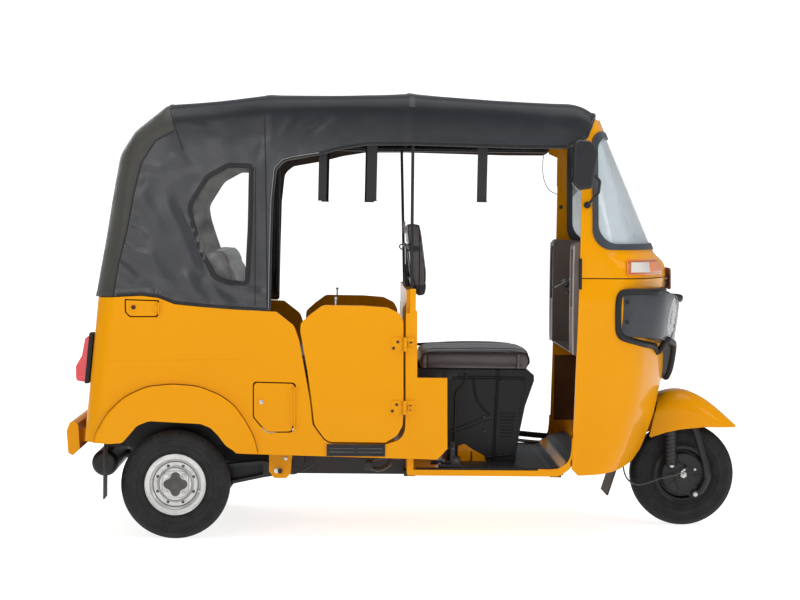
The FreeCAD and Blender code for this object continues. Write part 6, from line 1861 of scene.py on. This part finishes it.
for s in (-1, 1):
    w = lv[lv[:, 1] * s > 0]
    cy_, cz_ = (w[:, 1].min() + w[:, 1].max()) / 2, (w[:, 2].min() + w[:, 2].max()) / 2
    cz_ = 0.848
    for rr_, t, pile in ((0.0745, 0.0013, lr),):
        pts = []
        for k in range(64):
            a = 2 * math.pi * k / 64
            p, n = hit(lamp, (1.3, cy_ + rr_ * math.cos(a), cz_ + rr_ * math.sin(a)), (-1, 0, 0), 0.0006)
            if p is not None:
                pts.append(p)
        if len(pts) == 64:
            pile.tube(pts, t, 8, closed=True, curve=False)
    # a dark disc laid over the middle of the lens
    V, F = [], []
    for i, rr_ in enumerate((0.0, 0.010, 0.020, 0.028)):
        for k in range(24):
            a = 2 * math.pi * k / 24
            p, n = hit(lamp, (1.3, cy_ + rr_ * math.cos(a), cz_ + rr_ * math.sin(a)), (-1, 0, 0), 0.0007)
            V.append(p if p is not None else Vector((0, 0, 0)))
    for i in range(3):
        for k in range(24):
            F.append((i * 24 + k, i * 24 + (k + 1) % 24, (i + 1) * 24 + (k + 1) % 24, (i + 1) * 24 + k))
    lb.put(V, F)
# the chrome rings are a painted highlight: they stand for the glint on each lens edge
lr.done("headlamp_glint_rings", M["chrome"], "body", "lamp_lens", angle=60)
lb.done("headlamp_lenses", M["lamp_dark"], "body", "lamp_lens")

# mirrors: glass in a thin rim on the rear face
mv = np.array([v.co for v in NODES["mirrors"].data.vertices])
for s in (-1, 1):
    gl = rounded2d([(-703, 1502, 14), (-673, 1502, 14), (-673, 1366, 14), (-703, 1366, 14)], 5)
    bm_ = node_bvh("mirrors")
    V = []
    for y, z in gl:
        p, n = hit(bm_, (SX(1440), -s * y / 1000 if s > 0 else y / 1000, z / 1000), (1, 0, 0), 0.0012)
        V.append(p if p is not None else Vector((SX(1489), (-s * y if s > 0 else y) / 1000, z / 1000)))
    cV = sum(V, Vector((0, 0, 0))) / len(V)
    n = len(V)
    add("mirror_glass_%s" % ("r" if s < 0 else "l"), V + [cV], [(i, (i + 1) % n, n) for i in range(n)], M["mirror_glass"], "body", smooth=False)
    rimp = Pile()
    rimp.tube(V, 0.0016, 8, closed=True, curve=False)
    rimp.done("mirror_rim_%s" % ("r" if s < 0 else "l"), M["black_rubber"], "body", "mirror_shell")

# a dark bolt on each pillar and a rubber strip on the cowl's rear edge
cw = node_bvh("cowl_lower", "cowl_upper")
cb = Pile()
for s in (-1, 1):
    p, n = hit(cw, S((1549, s * 450, 1276)), (0, s, 0), 0.0)
    if p is not None:
        screw(cb, p, n, 0.0085, 0.004)
    p, n = hit(cw, S((1549, s * 800, 1276)), (0, -s, 0), 0.0)
    st_ = Pile()
    pts = []
    for k in range(12):
        z = 0.962 + (1.078 - 0.962) * k / 11
        p, n = hit(cw, (SX(1545), s * 0.8, z), (0, -s, 0), 0.0)
        if p is not None:
            pts.append(Vector((SX(1531), p.y, z)))
    if len(pts) > 5:
        st_.tube(pts, 0.0062, 10, curve=False)
        st_.done("cowl_edge_strip_%s" % ("r" if s < 0 else "l"), M["black_rubber"], "body", "seal_rubber")
cb.done("pillar_bolts", M["dark_bolt"], "body", "black_steel")

# bolts on the arm brackets and suspension
ub = Pile()
for s in (-1, 1):
    ub.lathe(S((381, s * 512.5, 253)), (0, s, 0), [(-0.001, 0.0105), (0.0022, 0.0105), (0.0026, 0.0082), (0.0095, 0.0080), (0.0105, 0)], 6)
    ub.lathe(S((416, s * 512.5, 300)), (0, s, 0), [(-0.001, 0.0075), (0.0022, 0.0075), (0.0026, 0.0060), (0.0075, 0.0058), (0.0082, 0)], 6)
ub.done("arm_bolts", M["zinc"], "body", "black_steel", angle=25)
# ------------------------------------------------------------------ cab
M["mat_dark"] = None
k = Look("mat_ribbed", Specular_IOR_Level=0.35)
wx_ = k.m("SINE", k.m("MULTIPLY", k.xyz("X"), 2 * math.pi / 0.0125))
wy_ = k.m("SINE", k.m("MULTIPLY", k.xyz("Y"), 2 * math.pi / 0.030))
f_ = k.span(k.m("ADD", wx_, k.m("MULTIPLY", wy_, 0.5)), -1.2, 1.2)
k.set(Base_Color=k.mix(f_, (0.007, 0.007, 0.0075), (0.040, 0.040, 0.042)), Roughness=0.45, Normal=k.bump(f_, 0.5, 0.0018))
M["mat_dark"] = k.mat
# brown colour for the sheets inside the cowl: painted shade, the yellow paint darkened as in shadow
M["lining"] = moulded_look("cowl_painted_shade", (0.120, 0.040, 0.006), (0.085, 0.027, 0.005), 0.6, grain=500)
M["grip_rubber"] = moulded_look("grip_rubber", (0.008, 0.008, 0.009), (0.015, 0.015, 0.016), 0.5, grain=1200, depth=0.4)
M["bright_bolt"] = metal_look("bright_bolt", (0.62, 0.62, 0.61), (0.42, 0.41, 0.40), 0.22)

dress("floor_mat", "mat_dark")
mlo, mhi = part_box("floor_mat")
# ribs and border of the mat, and its front part turned up with the floor
rib = Pile()
prof = [(1428, 267.3), (1452, 267.6), (1468, 272), (1484, 284), (1498, 298), (1512, 305.5), (1540, 312.5), (1574, 320)]
mt = Pile()
up = smooth_path([Vector((SX(x), 0, z / 1000)) for x, z in prof], 4)
V, F = [], []
for p in up:
    for y in (-0.552, 0.552):
        for dz in (0.0004, 0.0064):
            V.append(Vector((p.x, y, p.z + dz)))
for i in range(len(up) - 1):
    a, b = i * 4, (i + 1) * 4
    F += [(a + 1, a + 3, b + 3, b + 1), (a, b, b + 2, a + 2), (a, a + 1, b + 1, b), (a + 2, b + 2, b + 3, a + 3)]
F += [(0, 2, 3, 1), tuple(len(V) - 4 + i for i in (0, 1, 3, 2))]
mt.put(V, F)
mt.done("floor_mat_front", M["mat_dark"], "body", "mat_rubber", angle=60)
for x in range(1052, 1424, 12):
    for y0, y1 in (((-552, -296), (296, 552)) if x < 1318 else ((-552, 552),)):
        rib.box((SX(x - 3), y0 / 1000, 0.2736), (SX(x + 3), y1 / 1000, 0.2762), 0.0008)
path2 = [p for p in up if p.x > SX(1436)]
for i in range(0, len(path2) - 1, 1):
    p, q = path2[i], path2[i + 1]
    c_ = (p + q) / 2
    t = (q - p).normalized()
    nrm = Vector((-t.z, 0, t.x))
    rib.tube([Vector((c_.x, -0.545, c_.z + 0.0066)) + nrm * 0.0, Vector((c_.x, 0.545, c_.z + 0.0066))], 0.0018, 5, curve=False)
rib.done("floor_mat_ribs", M["mat_dark"], "body", "mat_rubber", angle=40)
# black border strip along each edge of the floor and the yellow lip turned up beside the mat
edge_p, lip = Pile(), Pile()
for s in (-1, 1):
    pts = [S((915, s * 566, 268.5)), S((1428, s * 566, 268.5)), S((1454, s * 566, 269.5)), S((1472, s * 566, 276)), S((1498, s * 566, 300)), S((1515, s * 566, 309))]
    edge_p.tube(pts, 0.0060, 8, per=5)
    lp_ = [S((1380, s * 580, 268.5)), S((1440, s * 580, 269)), S((1468, s * 580, 275)), S((1490, s * 580, 290)), S((1506, s * 580, 318)), S((1511, s * 579, 350)), S((1513, s * 578, 392))]
    lip.tube(lp_, 0.0048, 10, per=6)
edge_p.done("floor_edge_strips", M["black_rubber"], "body", "mat_rubber", angle=60)
lip.done("floor_lips", M["body_paint"], "body", "body_paint")

# far sill bar: black tube low across the far doorway's front, standing off the floor
sb = Pile()
sb.tube([S((1330, 573, 306)), S((1376, 573, 312)), S((1440, 573, 307)), S((1520, 573, 301)), S((1590, 573, 298))], 0.0125, 10, per=5)
sb.tube([S((1334, 573, 307)), S((1322, 573, 300)), S((1318, 573, 285)), S((1316, 573, 268))], 0.0080, 10, per=5)
sb.done("far_sill_bar", M["black_steel"], "body", "black_steel")
# a bright zinc strip above the far edge of the floor: painted highlight for a light streak seen there
sb2 = Pile()
sb2.tube([S((1345, 560, 288)), S((1430, 560, 280)), S((1490, 560, 276))], 0.0070, 8, per=5)
sb2.done("far_sill_highlight_strip", M["zinc"], "body", "black_steel")

# dark brown sheets inside the cowl: painted shade, for the yellow paint there in shadow
cwl = node_bvh("cowl_lower")
for s in (-1, 1):
    V, F = [], []
    nx, nz = 10, 14
    ok = []
    for i in range(nx + 1):
        x = 1528 + (1760 - 1528) * i / nx
        for j in range(nz + 1):
            z = 372 + (648 - 372) * j / nz
            p, n = hit(cwl, (SX(x), s * 0.30, z / 1000), (0, s, 0), 0.0016)
            if p is None or abs(p.y) > 0.60:
                p = Vector((SX(x), s * 0.585, z / 1000))
            V.append(p)
    for i in range(nx):
        for j in range(nz):
            a = i * (nz + 1) + j
            F.append((a, a + nz + 1, a + nz + 2, a + 1))
    add("cowl_lining_%s" % ("r" if s < 0 else "l"), V, F, M["lining"], "body")

# seat base: moulded ribs, a curved crease, straps and rods on both sides, and a knob
dress("driver_seat_base", "base_gloss")
sbm, rods, bolts, knob = Pile(), Pile(), Pile(), Pile()
for s in (-1, 1):
    y = s * 282.0
    # raised front band with ribs
    V, F = [], []
    band = [(1228, 300), (1300, 300), (1318, 400), (1330, 500), (1350, 596), (1240, 596), (1232, 470)]
    pts = rounded2d([(a, b, 22) for a, b in band], 5)
    bmv = [Vector((SX(a), (y + s * 5) / 1000, b / 1000)) for a, b in pts]
    bmw = [Vector((SX(a + (1280 - a) * -0.03), (y - s * 1) / 1000, b / 1000)) for a, b in pts]
    n = len(pts)
    V = bmv + bmw
    F = [tuple(range(n))] + [(i, (i + 1) % n, (i + 1) % n + n, i + n) for i in range(n)]
    sbm.put(V, F)
    for z in range(372, 470, 13):
        w = 30
        sbm.tube([S((1248, y + s * 5.2, z)), S((1300 + (z - 372) * 0.12, y + s * 5.2, z))], 0.0028, 6, curve=False)
    # curved crease and panel behind it
    sbm.tube([S((1146, y + s * 1, 596)), S((1146, y + s * 1, 572)), S((1154, y + s * 1, 530)), S((1176, y + s * 1, 490)), S((1208, y + s * 1, 457))], 0.0042, 8, per=6)
    sbm.tube([S((1060, y + s * 1, 600)), S((1140, y + s * 1, 603)), S((1240, y + s * 1, 602)), S((1345, y + s * 1, 600))], 0.0060, 8, per=4)
    sbm.tube([S((1052, y + s * 1, 300)), S((1120, y + s * 1, 296)), S((1180, y + s * 1, 286)), S((1222, y + s * 1, 292)), S((1300, y + s * 1, 300))], 0.0050, 8, per=4)
    # diagonal strap
    pth = [S((1036, y + s * 3.5, 379)), S((1100, y + s * 4, 405)), S((1160, y + s * 4, 428)), S((1214, y + s * 4, 447))]
    ribbon(rods, smooth_path(pth, 5), [Vector((0, s, 0))] * 16, 0.0075, 0.0022)
    # rods
    rods.tube([S((1114, y + s * 9, 634)), S((1113, y + s * 9, 600)), S((1104, y + s * 9, 572)), S((1078, y + s * 9, 543)), S((1074, y + s * 9, 480)), S((1071, y + s * 9, 268))], 0.0042, 8, per=5)
    rods.tube([S((1240, y + s * 11, 634)), S((1238, y + s * 11, 560)), S((1232, y + s * 11, 440)), S((1226, y + s * 11, 268))], 0.0046, 8, per=5)
    for x, z in ((1114, 626), (1240, 626), (1187, 447), (1188, 392)):
        bolts.lathe(S((x, y + s * 3, z)), (0, s, 0), [(-0.004, 0.0066), (0.006, 0.0066), (0.0065, 0.005), (0.009, 0.0048), (0.0098, 0)], 10)
    # cushion rails: fill the space between the cushion and the partition
    y0, y1 = sorted((y / 1000, (y - s * 26) / 1000))
    rods.box((SX(906), y0, 0.588), (SX(1050), y1, 0.6335), 0.003)
rods.box((SX(906), -0.285, 0.590), (SX(930), 0.285, 0.6335), 0.003)
rods.box((SX(1020), -0.284, 0.592), (SX(1082), 0.284, 0.6335), 0.003)
# knob on the front's top corner
knob.lathe(S((1362, -262, 604)), (1, -0.1, 0.15), [(0, 0.010), (0.006, 0.012), (0.016, 0.012), (0.020, 0.009), (0.0215, 0)], 16)
sbm.done("seat_base_moulding", M["base_gloss"], "body", "black_plastic", angle=50)
rods.done("seat_rods", M["black_steel"], "body", "black_steel", angle=40)
bolts.done("seat_bolts", M["dark_bolt"], "body", "black_steel")
knob.done("seat_knob", M["black_plastic"], "body", "black_plastic")
# the far edge of the cushion carries a black trim strip
trim_p = Pile()
trim_p.tube([S((930, 290, 702)), S((1100, 290, 711)), S((1250, 290, 711)), S((1318, 290, 706))], 0.0058, 8, per=5)
trim_p.done("cushion_far_trim", M["black_plastic"], "body", "black_plastic")

# orange panel and lever linkage at the foot of the seat base
op = plate("foot_panel", rounded2d([(1085, 270, 3), (1085, 336, 10), (1112, 342, 12), (1140, 322, 20), (1188, 296, 6), (1196, 270, 3)], 5), on_right(-286), 0.004, M["body_paint"], "body")
op2 = mirror_copy(op, "foot_panel_l", "body")
dv = Pile()
for s in (-1, 1):
    dv.box((SX(1136), min(s * 0.2895, s * 0.2935), 0.270), (SX(1142), max(s * 0.2895, s * 0.2935), 0.312), 0.001)
dv.done("foot_panel_ribs", M["gap_brown"], "body", "black_steel")
lk3, lkb = Pile(), Pile()
for s in (-1,):
    y = s * 540
    lk3.put(*rbox_data(S((1046, y - 5, 270)), S((1064, y + 5, 372)), 0.002))
    lk3.tube([S((972, y, 290)), S((1000, y, 292)), S((1035, y, 293)), S((1072, y, 292))], 0.0075, 8, per=4)
    lk3.tube([S((985, y + 2, 300)), S((1010, y + 2, 330)), S((1050, y + 2, 356))], 0.0062, 8, per=4)
    lk3.put(*rbox_data(S((1000, y - 7, 272)), S((1090, y + 7, 284)), 0.002))
    lk3.put(*rbox_data(S((1052, y - 8, 284)), S((1084, y + 4, 316)), 0.004))
    for x, z in ((1020, 301), (1068, 302), (1055, 347), (1004, 290)):
        lkb.lathe(S((x, y - 8, z)), (0, -1, 0), [(-0.004, 0.0062), (0.003, 0.0060), (0.0035, 0.0044), (0.0065, 0.0042), (0.007, 0)], 10)
lk3.done("pedal_linkage", M["black_steel"], "body", "black_steel")
lkb.done("pedal_linkage_bolts", M["zinc_dull"], "body", "black_steel")

# clump of pivots under the floor
uf = Pile()
for s in (-1, 1):
    uf.put(*rbox_data(S((716, s * 520 - 14, 262)), S((752, s * 520 + 14, 322)), 0.005))
    uf.tube([S((740, s * 520, 268)), S((775, s * 520, 262)), S((812, s * 520, 282)), S((820, s * 520, 310))], 0.0095, 8, per=5)
    uf.lathe(S((735, s * 534, 285)), (0, s, 0), [(-0.002, 0.016), (0.006, 0.016), (0.008, 0.010), (0.012, 0.009), (0.013, 0)], 14)
    uf.tube([S((752, s * 520, 300)), S((800, s * 505, 306)), S((860, s * 480, 300))], 0.0052, 8, per=4)
uf.done("under_floor_pivots", M["black_steel"], "body", "black_steel")
"""the thin cable that leaves each arm bracket is fixed to the frame"""
uf2 = Pile()
for s in (-1, 1):
    uf2.tube([S((413, s * 492, 247)), S((440, s * 490, 238)), S((470, s * 486, 246)), S((500, s * 480, 262)), S((520, s * 470, 276))], 0.0026, 8, per=6)
uf2.done("frame_pipe", M["black_steel"], "body", "black_steel")

# backrest bracket, ring and rod behind the driver's pad
bk, bkl = Pile(), Pile()
bk.put(*rbox_data(S((876, -214, 1094)), S((926, -206, 1112)), 0.003))
bk.tube([S((864, -216, 1100)), S((852, -216, 1107)), S((850, -216, 1116)), S((860, -216, 1122)), S((872, -216, 1118)), S((876, -214, 1108))], 0.0026, 7, per=6)
bk.done("back_pad_bracket", M["black_steel"], "body", "black_steel")
bkl.tube([S((880, -216, 1092)), S((888, -216, 1030)), S((896, -216, 990)), S((900, -216, 972)), S((898, -216, 958)), S((901, -216, 930))], 0.0028, 7, per=5)
bkl.tube([S((896, -216, 990)), S((886, -216, 986)), S((884, -216, 992))], 0.0022, 6, per=4)
bkl.done("back_pad_rod", M["wire_grey"], "body", "black_steel")
bks = Pile()
bks.put(*rbox_data(S((868, -140, 1164)), S((874, -112, 1212)), 0.002))
bks.put(*rbox_data(S((868, 112, 1164)), S((874, 140, 1212)), 0.002))
bks.done("back_pad_tabs", M["dash_edge"], "body", "dash_plastic")

# handlebar: ribbed grips, levers with ball ends, perches, switch boxes, and a speedometer on the dash
hlo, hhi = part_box("handlebar")
dress("handlebar", "black_steel")
gp, lv_, pr_, sw_ = Pile(), Pile(), Pile(), Pile()
for s in (-1, 1):
    a, b = S((1606, s * 190, 996)), S((1556, s * 320, 966))
    d = (b - a).normalized()
    L_ = (b - a).length
    for k_ in range(12):
        p = b - d * (0.100 - k_ * 0.0075)
        gp.lathe(p, d, [(-0.0016, 0.0178), (-0.0008, 0.0192), (0.0008, 0.0192), (0.0016, 0.0178)], 20)
    gp.lathe(b, d, [(0.006, 0.0195), (0.012, 0.0205), (0.016, 0.0175), (0.017, 0)], 20)
    # perch and lever
    q = b - d * 0.128
    pr_.lathe(q, d, [(-0.011, 0.0150), (-0.011, 0.0165), (0.011, 0.0165), (0.011, 0.0150)], 18)
    u = Vector((-0.75, 0, -0.35)).normalized()
    pr_.tube([q + u * 0.012, q + u * 0.034, q + u * 0.040 + d * 0.012], 0.0062, 8, per=3)
    l0 = q + u * 0.040
    lv_.tube([l0, l0 + d * 0.03 + u * 0.012, l0 + d * 0.075 + u * 0.020, l0 + d * 0.120 + u * 0.016, l0 + d * 0.142 + u * 0.012], 0.0044, 8, per=5)
    lv_.lathe(l0 + d * 0.140 + u * 0.0125, d, [(-0.006, 0), (-0.005, 0.0052), (0, 0.0075), (0.005, 0.0052), (0.006, 0)], 12)
    sw_.put(*rbox_data(a - Vector((0.020, 0.018, 0.016)) + d * 0.012, a + Vector((0.020, 0.018, 0.018)) + d * 0.012, 0.005))
gp.done("grip_ribs", M["grip_rubber"], "steering", "black_plastic", angle=50)
pr_.done("lever_perches", M["bright_bolt"], "steering", "black_steel", angle=45)
lv_.done("hand_levers", M["black_steel"], "steering", "black_steel")
sw_.done("switch_boxes", M["black_plastic"], "steering", "black_plastic", angle=45)

dlo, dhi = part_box("dash")
dz = Pile()
for s in (-1, 1):
    # light edge strips down the rear edge of each wing
    dz.tube([S((1509, s * 575, 1126)), S((1507.5, s * 576, 1060)), S((1507, s * 576, 900)), S((1508, s * 576, 760)), S((1509, s * 575, 712))], 0.0040, 8, per=6)
    dz.tube([S((1509, s * 436, 1126)), S((1507.5, s * 435, 1060)), S((1507, s * 435, 900)), S((1508, s * 435, 760)), S((1509, s * 436, 712))], 0.0030, 8, per=6)
    dz.tube([S((1508, s * 566, 888)), S((1508, s * 446, 888))], 0.0028, 7, curve=False)
dz.done("dash_edge_strips", M["dash_edge"], "body", "dash_plastic", angle=60)
dial = Pile()
dial.lathe(S((1790, 0, 1118)), (-0.8, 0, 0.6), [(-0.03, 0), (-0.03, 0.050), (0.020, 0.052), (0.026, 0.049), (0.024, 0.044), (0.018, 0.043), (0.018, 0)], 36)
dial.done("speedo_case", M["black_plastic"], "body", "black_plastic")
df = Pile()
ax3, u3, w3 = basis((-0.8, 0, 0.6))
c3 = S((1790, 0, 1118)) + ax3 * 0.0186
for k_ in range(21):
    a = math.radians(-40 + 260 * k_ / 20)
    r0, r1 = (0.034, 0.040) if k_ % 2 else (0.031, 0.040)
    df.tube([c3 + u3 * (r0 * math.cos(a)) + w3 * (r0 * math.sin(a)), c3 + u3 * (r1 * math.cos(a)) + w3 * (r1 * math.sin(a))], 0.0006, 4, curve=False)
df.tube([c3, c3 + u3 * 0.022 + w3 * 0.014], 0.0009, 5, curve=False)
df.done("speedo_marks", M["dial_mark"], "body", "black_plastic")
# ------------------------------------------------------------------ floor, light and camera
k = Look("floor_pale")
d = k.noise(1.2, 3, 0.5)
k.set(Base_Color=k.mix(d, (0.50, 0.50, 0.50), (0.52, 0.52, 0.52)), Roughness=0.8, Specular_IOR_Level=0.2, Emission_Color=(1.0, 1.0, 1.0), Emission_Strength=k.span(k.m("SQRT", k.m("ADD", k.m("MULTIPLY", k.xyz("X"), k.xyz("X")), k.m("MULTIPLY", k.xyz("Y"), k.xyz("Y")))), 1.6, 5.0, 0.82, 1.02))
fl = add("studio_floor", [(-60, -60, 0), (60, -60, 0), (60, 60, 0), (-60, 60, 0)], [(0, 1, 2, 3)], k.mat, smooth=False)

world = bpy.data.worlds.new("studio")
scene.world = world
world.use_nodes = True
wn = world.node_tree
wn.nodes.clear()
wo = wn.nodes.new("ShaderNodeOutputWorld")
bg = wn.nodes.new("ShaderNodeBackground")
tc = wn.nodes.new("ShaderNodeTexCoord")
sep = wn.nodes.new("ShaderNodeSeparateXYZ")
rampn = wn.nodes.new("ShaderNodeValToRGB")
wn.links.new(tc.outputs["Generated"], sep.inputs[0])
wn.links.new(sep.outputs["Z"], rampn.inputs[0])
el = rampn.color_ramp.elements
el[0].position, el[0].color = 0.0, (0.80, 0.80, 0.80, 1)
el[1].position, el[1].color = 1.0, (1.0, 1.0, 1.0, 1)
e = el.new(0.30)
e.color = (0.72, 0.72, 0.725, 1)
e = el.new(0.62)
e.color = (0.95, 0.95, 0.95, 1)
bg2 = wn.nodes.new("ShaderNodeBackground")
bg2.inputs["Color"].default_value = (1, 1, 1, 1)
bg2.inputs["Strength"].default_value = 1.2
bg3 = wn.nodes.new("ShaderNodeBackground")
bg3.inputs["Color"].default_value = (0.9, 0.95, 1.0, 1)
bg3.inputs["Strength"].default_value = 0.36
lp = wn.nodes.new("ShaderNodeLightPath")
mx = wn.nodes.new("ShaderNodeMixShader")
wn.links.new(rampn.outputs[0], bg.inputs["Color"])
bg.inputs["Strength"].default_value = 0.52
wn.links.new(lp.outputs["Is Camera Ray"], mx.inputs[0])
mg = wn.nodes.new("ShaderNodeMixShader")
wn.links.new(lp.outputs["Is Glossy Ray"], mg.inputs[0])
wn.links.new(bg.outputs[0], mg.inputs[1])
wn.links.new(bg3.outputs[0], mg.inputs[2])
wn.links.new(mg.outputs[0], mx.inputs[1])
wn.links.new(bg2.outputs[0], mx.inputs[2])
wn.links.new(mx.outputs[0], wo.inputs[0])


def softbox(name, loc, target, size, power, color=(1, 1, 1)):
    li = bpy.data.lights.new(name, "AREA")
    li.shape = "RECTANGLE"
    li.size, li.size_y = size
    li.energy = power
    li.color = color
    ob = bpy.data.objects.new(name, li)
    coll.objects.link(ob)
    ob.location = loc
    ob.rotation_euler = (Vector(target) - Vector(loc)).to_track_quat("-Z", "Y").to_euler()
    return ob


softbox("top_soft", (0.2, -0.6, 4.6), (0.1, 0, 0.9), (5.0, 3.0), 150)
softbox("front_soft", (4.6, -4.2, 2.9), (0.5, 0, 0.8), (2.6, 2.2), 68)
softbox("side_soft", (-2.6, -6.2, 3.0), (-0.2, 0, 0.8), (3.2, 2.2), 70)
softbox("back_soft", (-3.8, 4.6, 3.0), (0, 0, 0.9), (3.0, 2.4), 70)

CAM_AT = Vector((0.6533 + RX, -10.6011, 1.251))
YAW, PITCH, ROLL, FPX = 0.0193, 0.0336, 0.0099, 2635.68
F = Vector((math.sin(YAW), math.cos(YAW), 0))
R = Vector((math.cos(YAW), -math.sin(YAW), 0))
U = Vector((0, 0, 1))
F2 = F * math.cos(PITCH) - U * math.sin(PITCH)
U2 = F * math.sin(PITCH) + U * math.cos(PITCH)
R3 = R * math.cos(ROLL) + U2 * math.sin(ROLL)
U3 = U2 * math.cos(ROLL) - R * math.sin(ROLL)
cam = bpy.data.cameras.new("photo_camera")
cam.sensor_width = 36.0
cam.lens = FPX * 36.0 / 800.0
cam.clip_end = 200
co = bpy.data.objects.new("photo_camera", cam)
coll.objects.link(co)
co.matrix_world = Matrix(((R3.x, U3.x, -F2.x, CAM_AT.x), (R3.y, U3.y, -F2.y, CAM_AT.y), (R3.z, U3.z, -F2.z, CAM_AT.z), (0, 0, 0, 1)))
scene.camera = co
scene.view_settings.view_transform = "Standard"
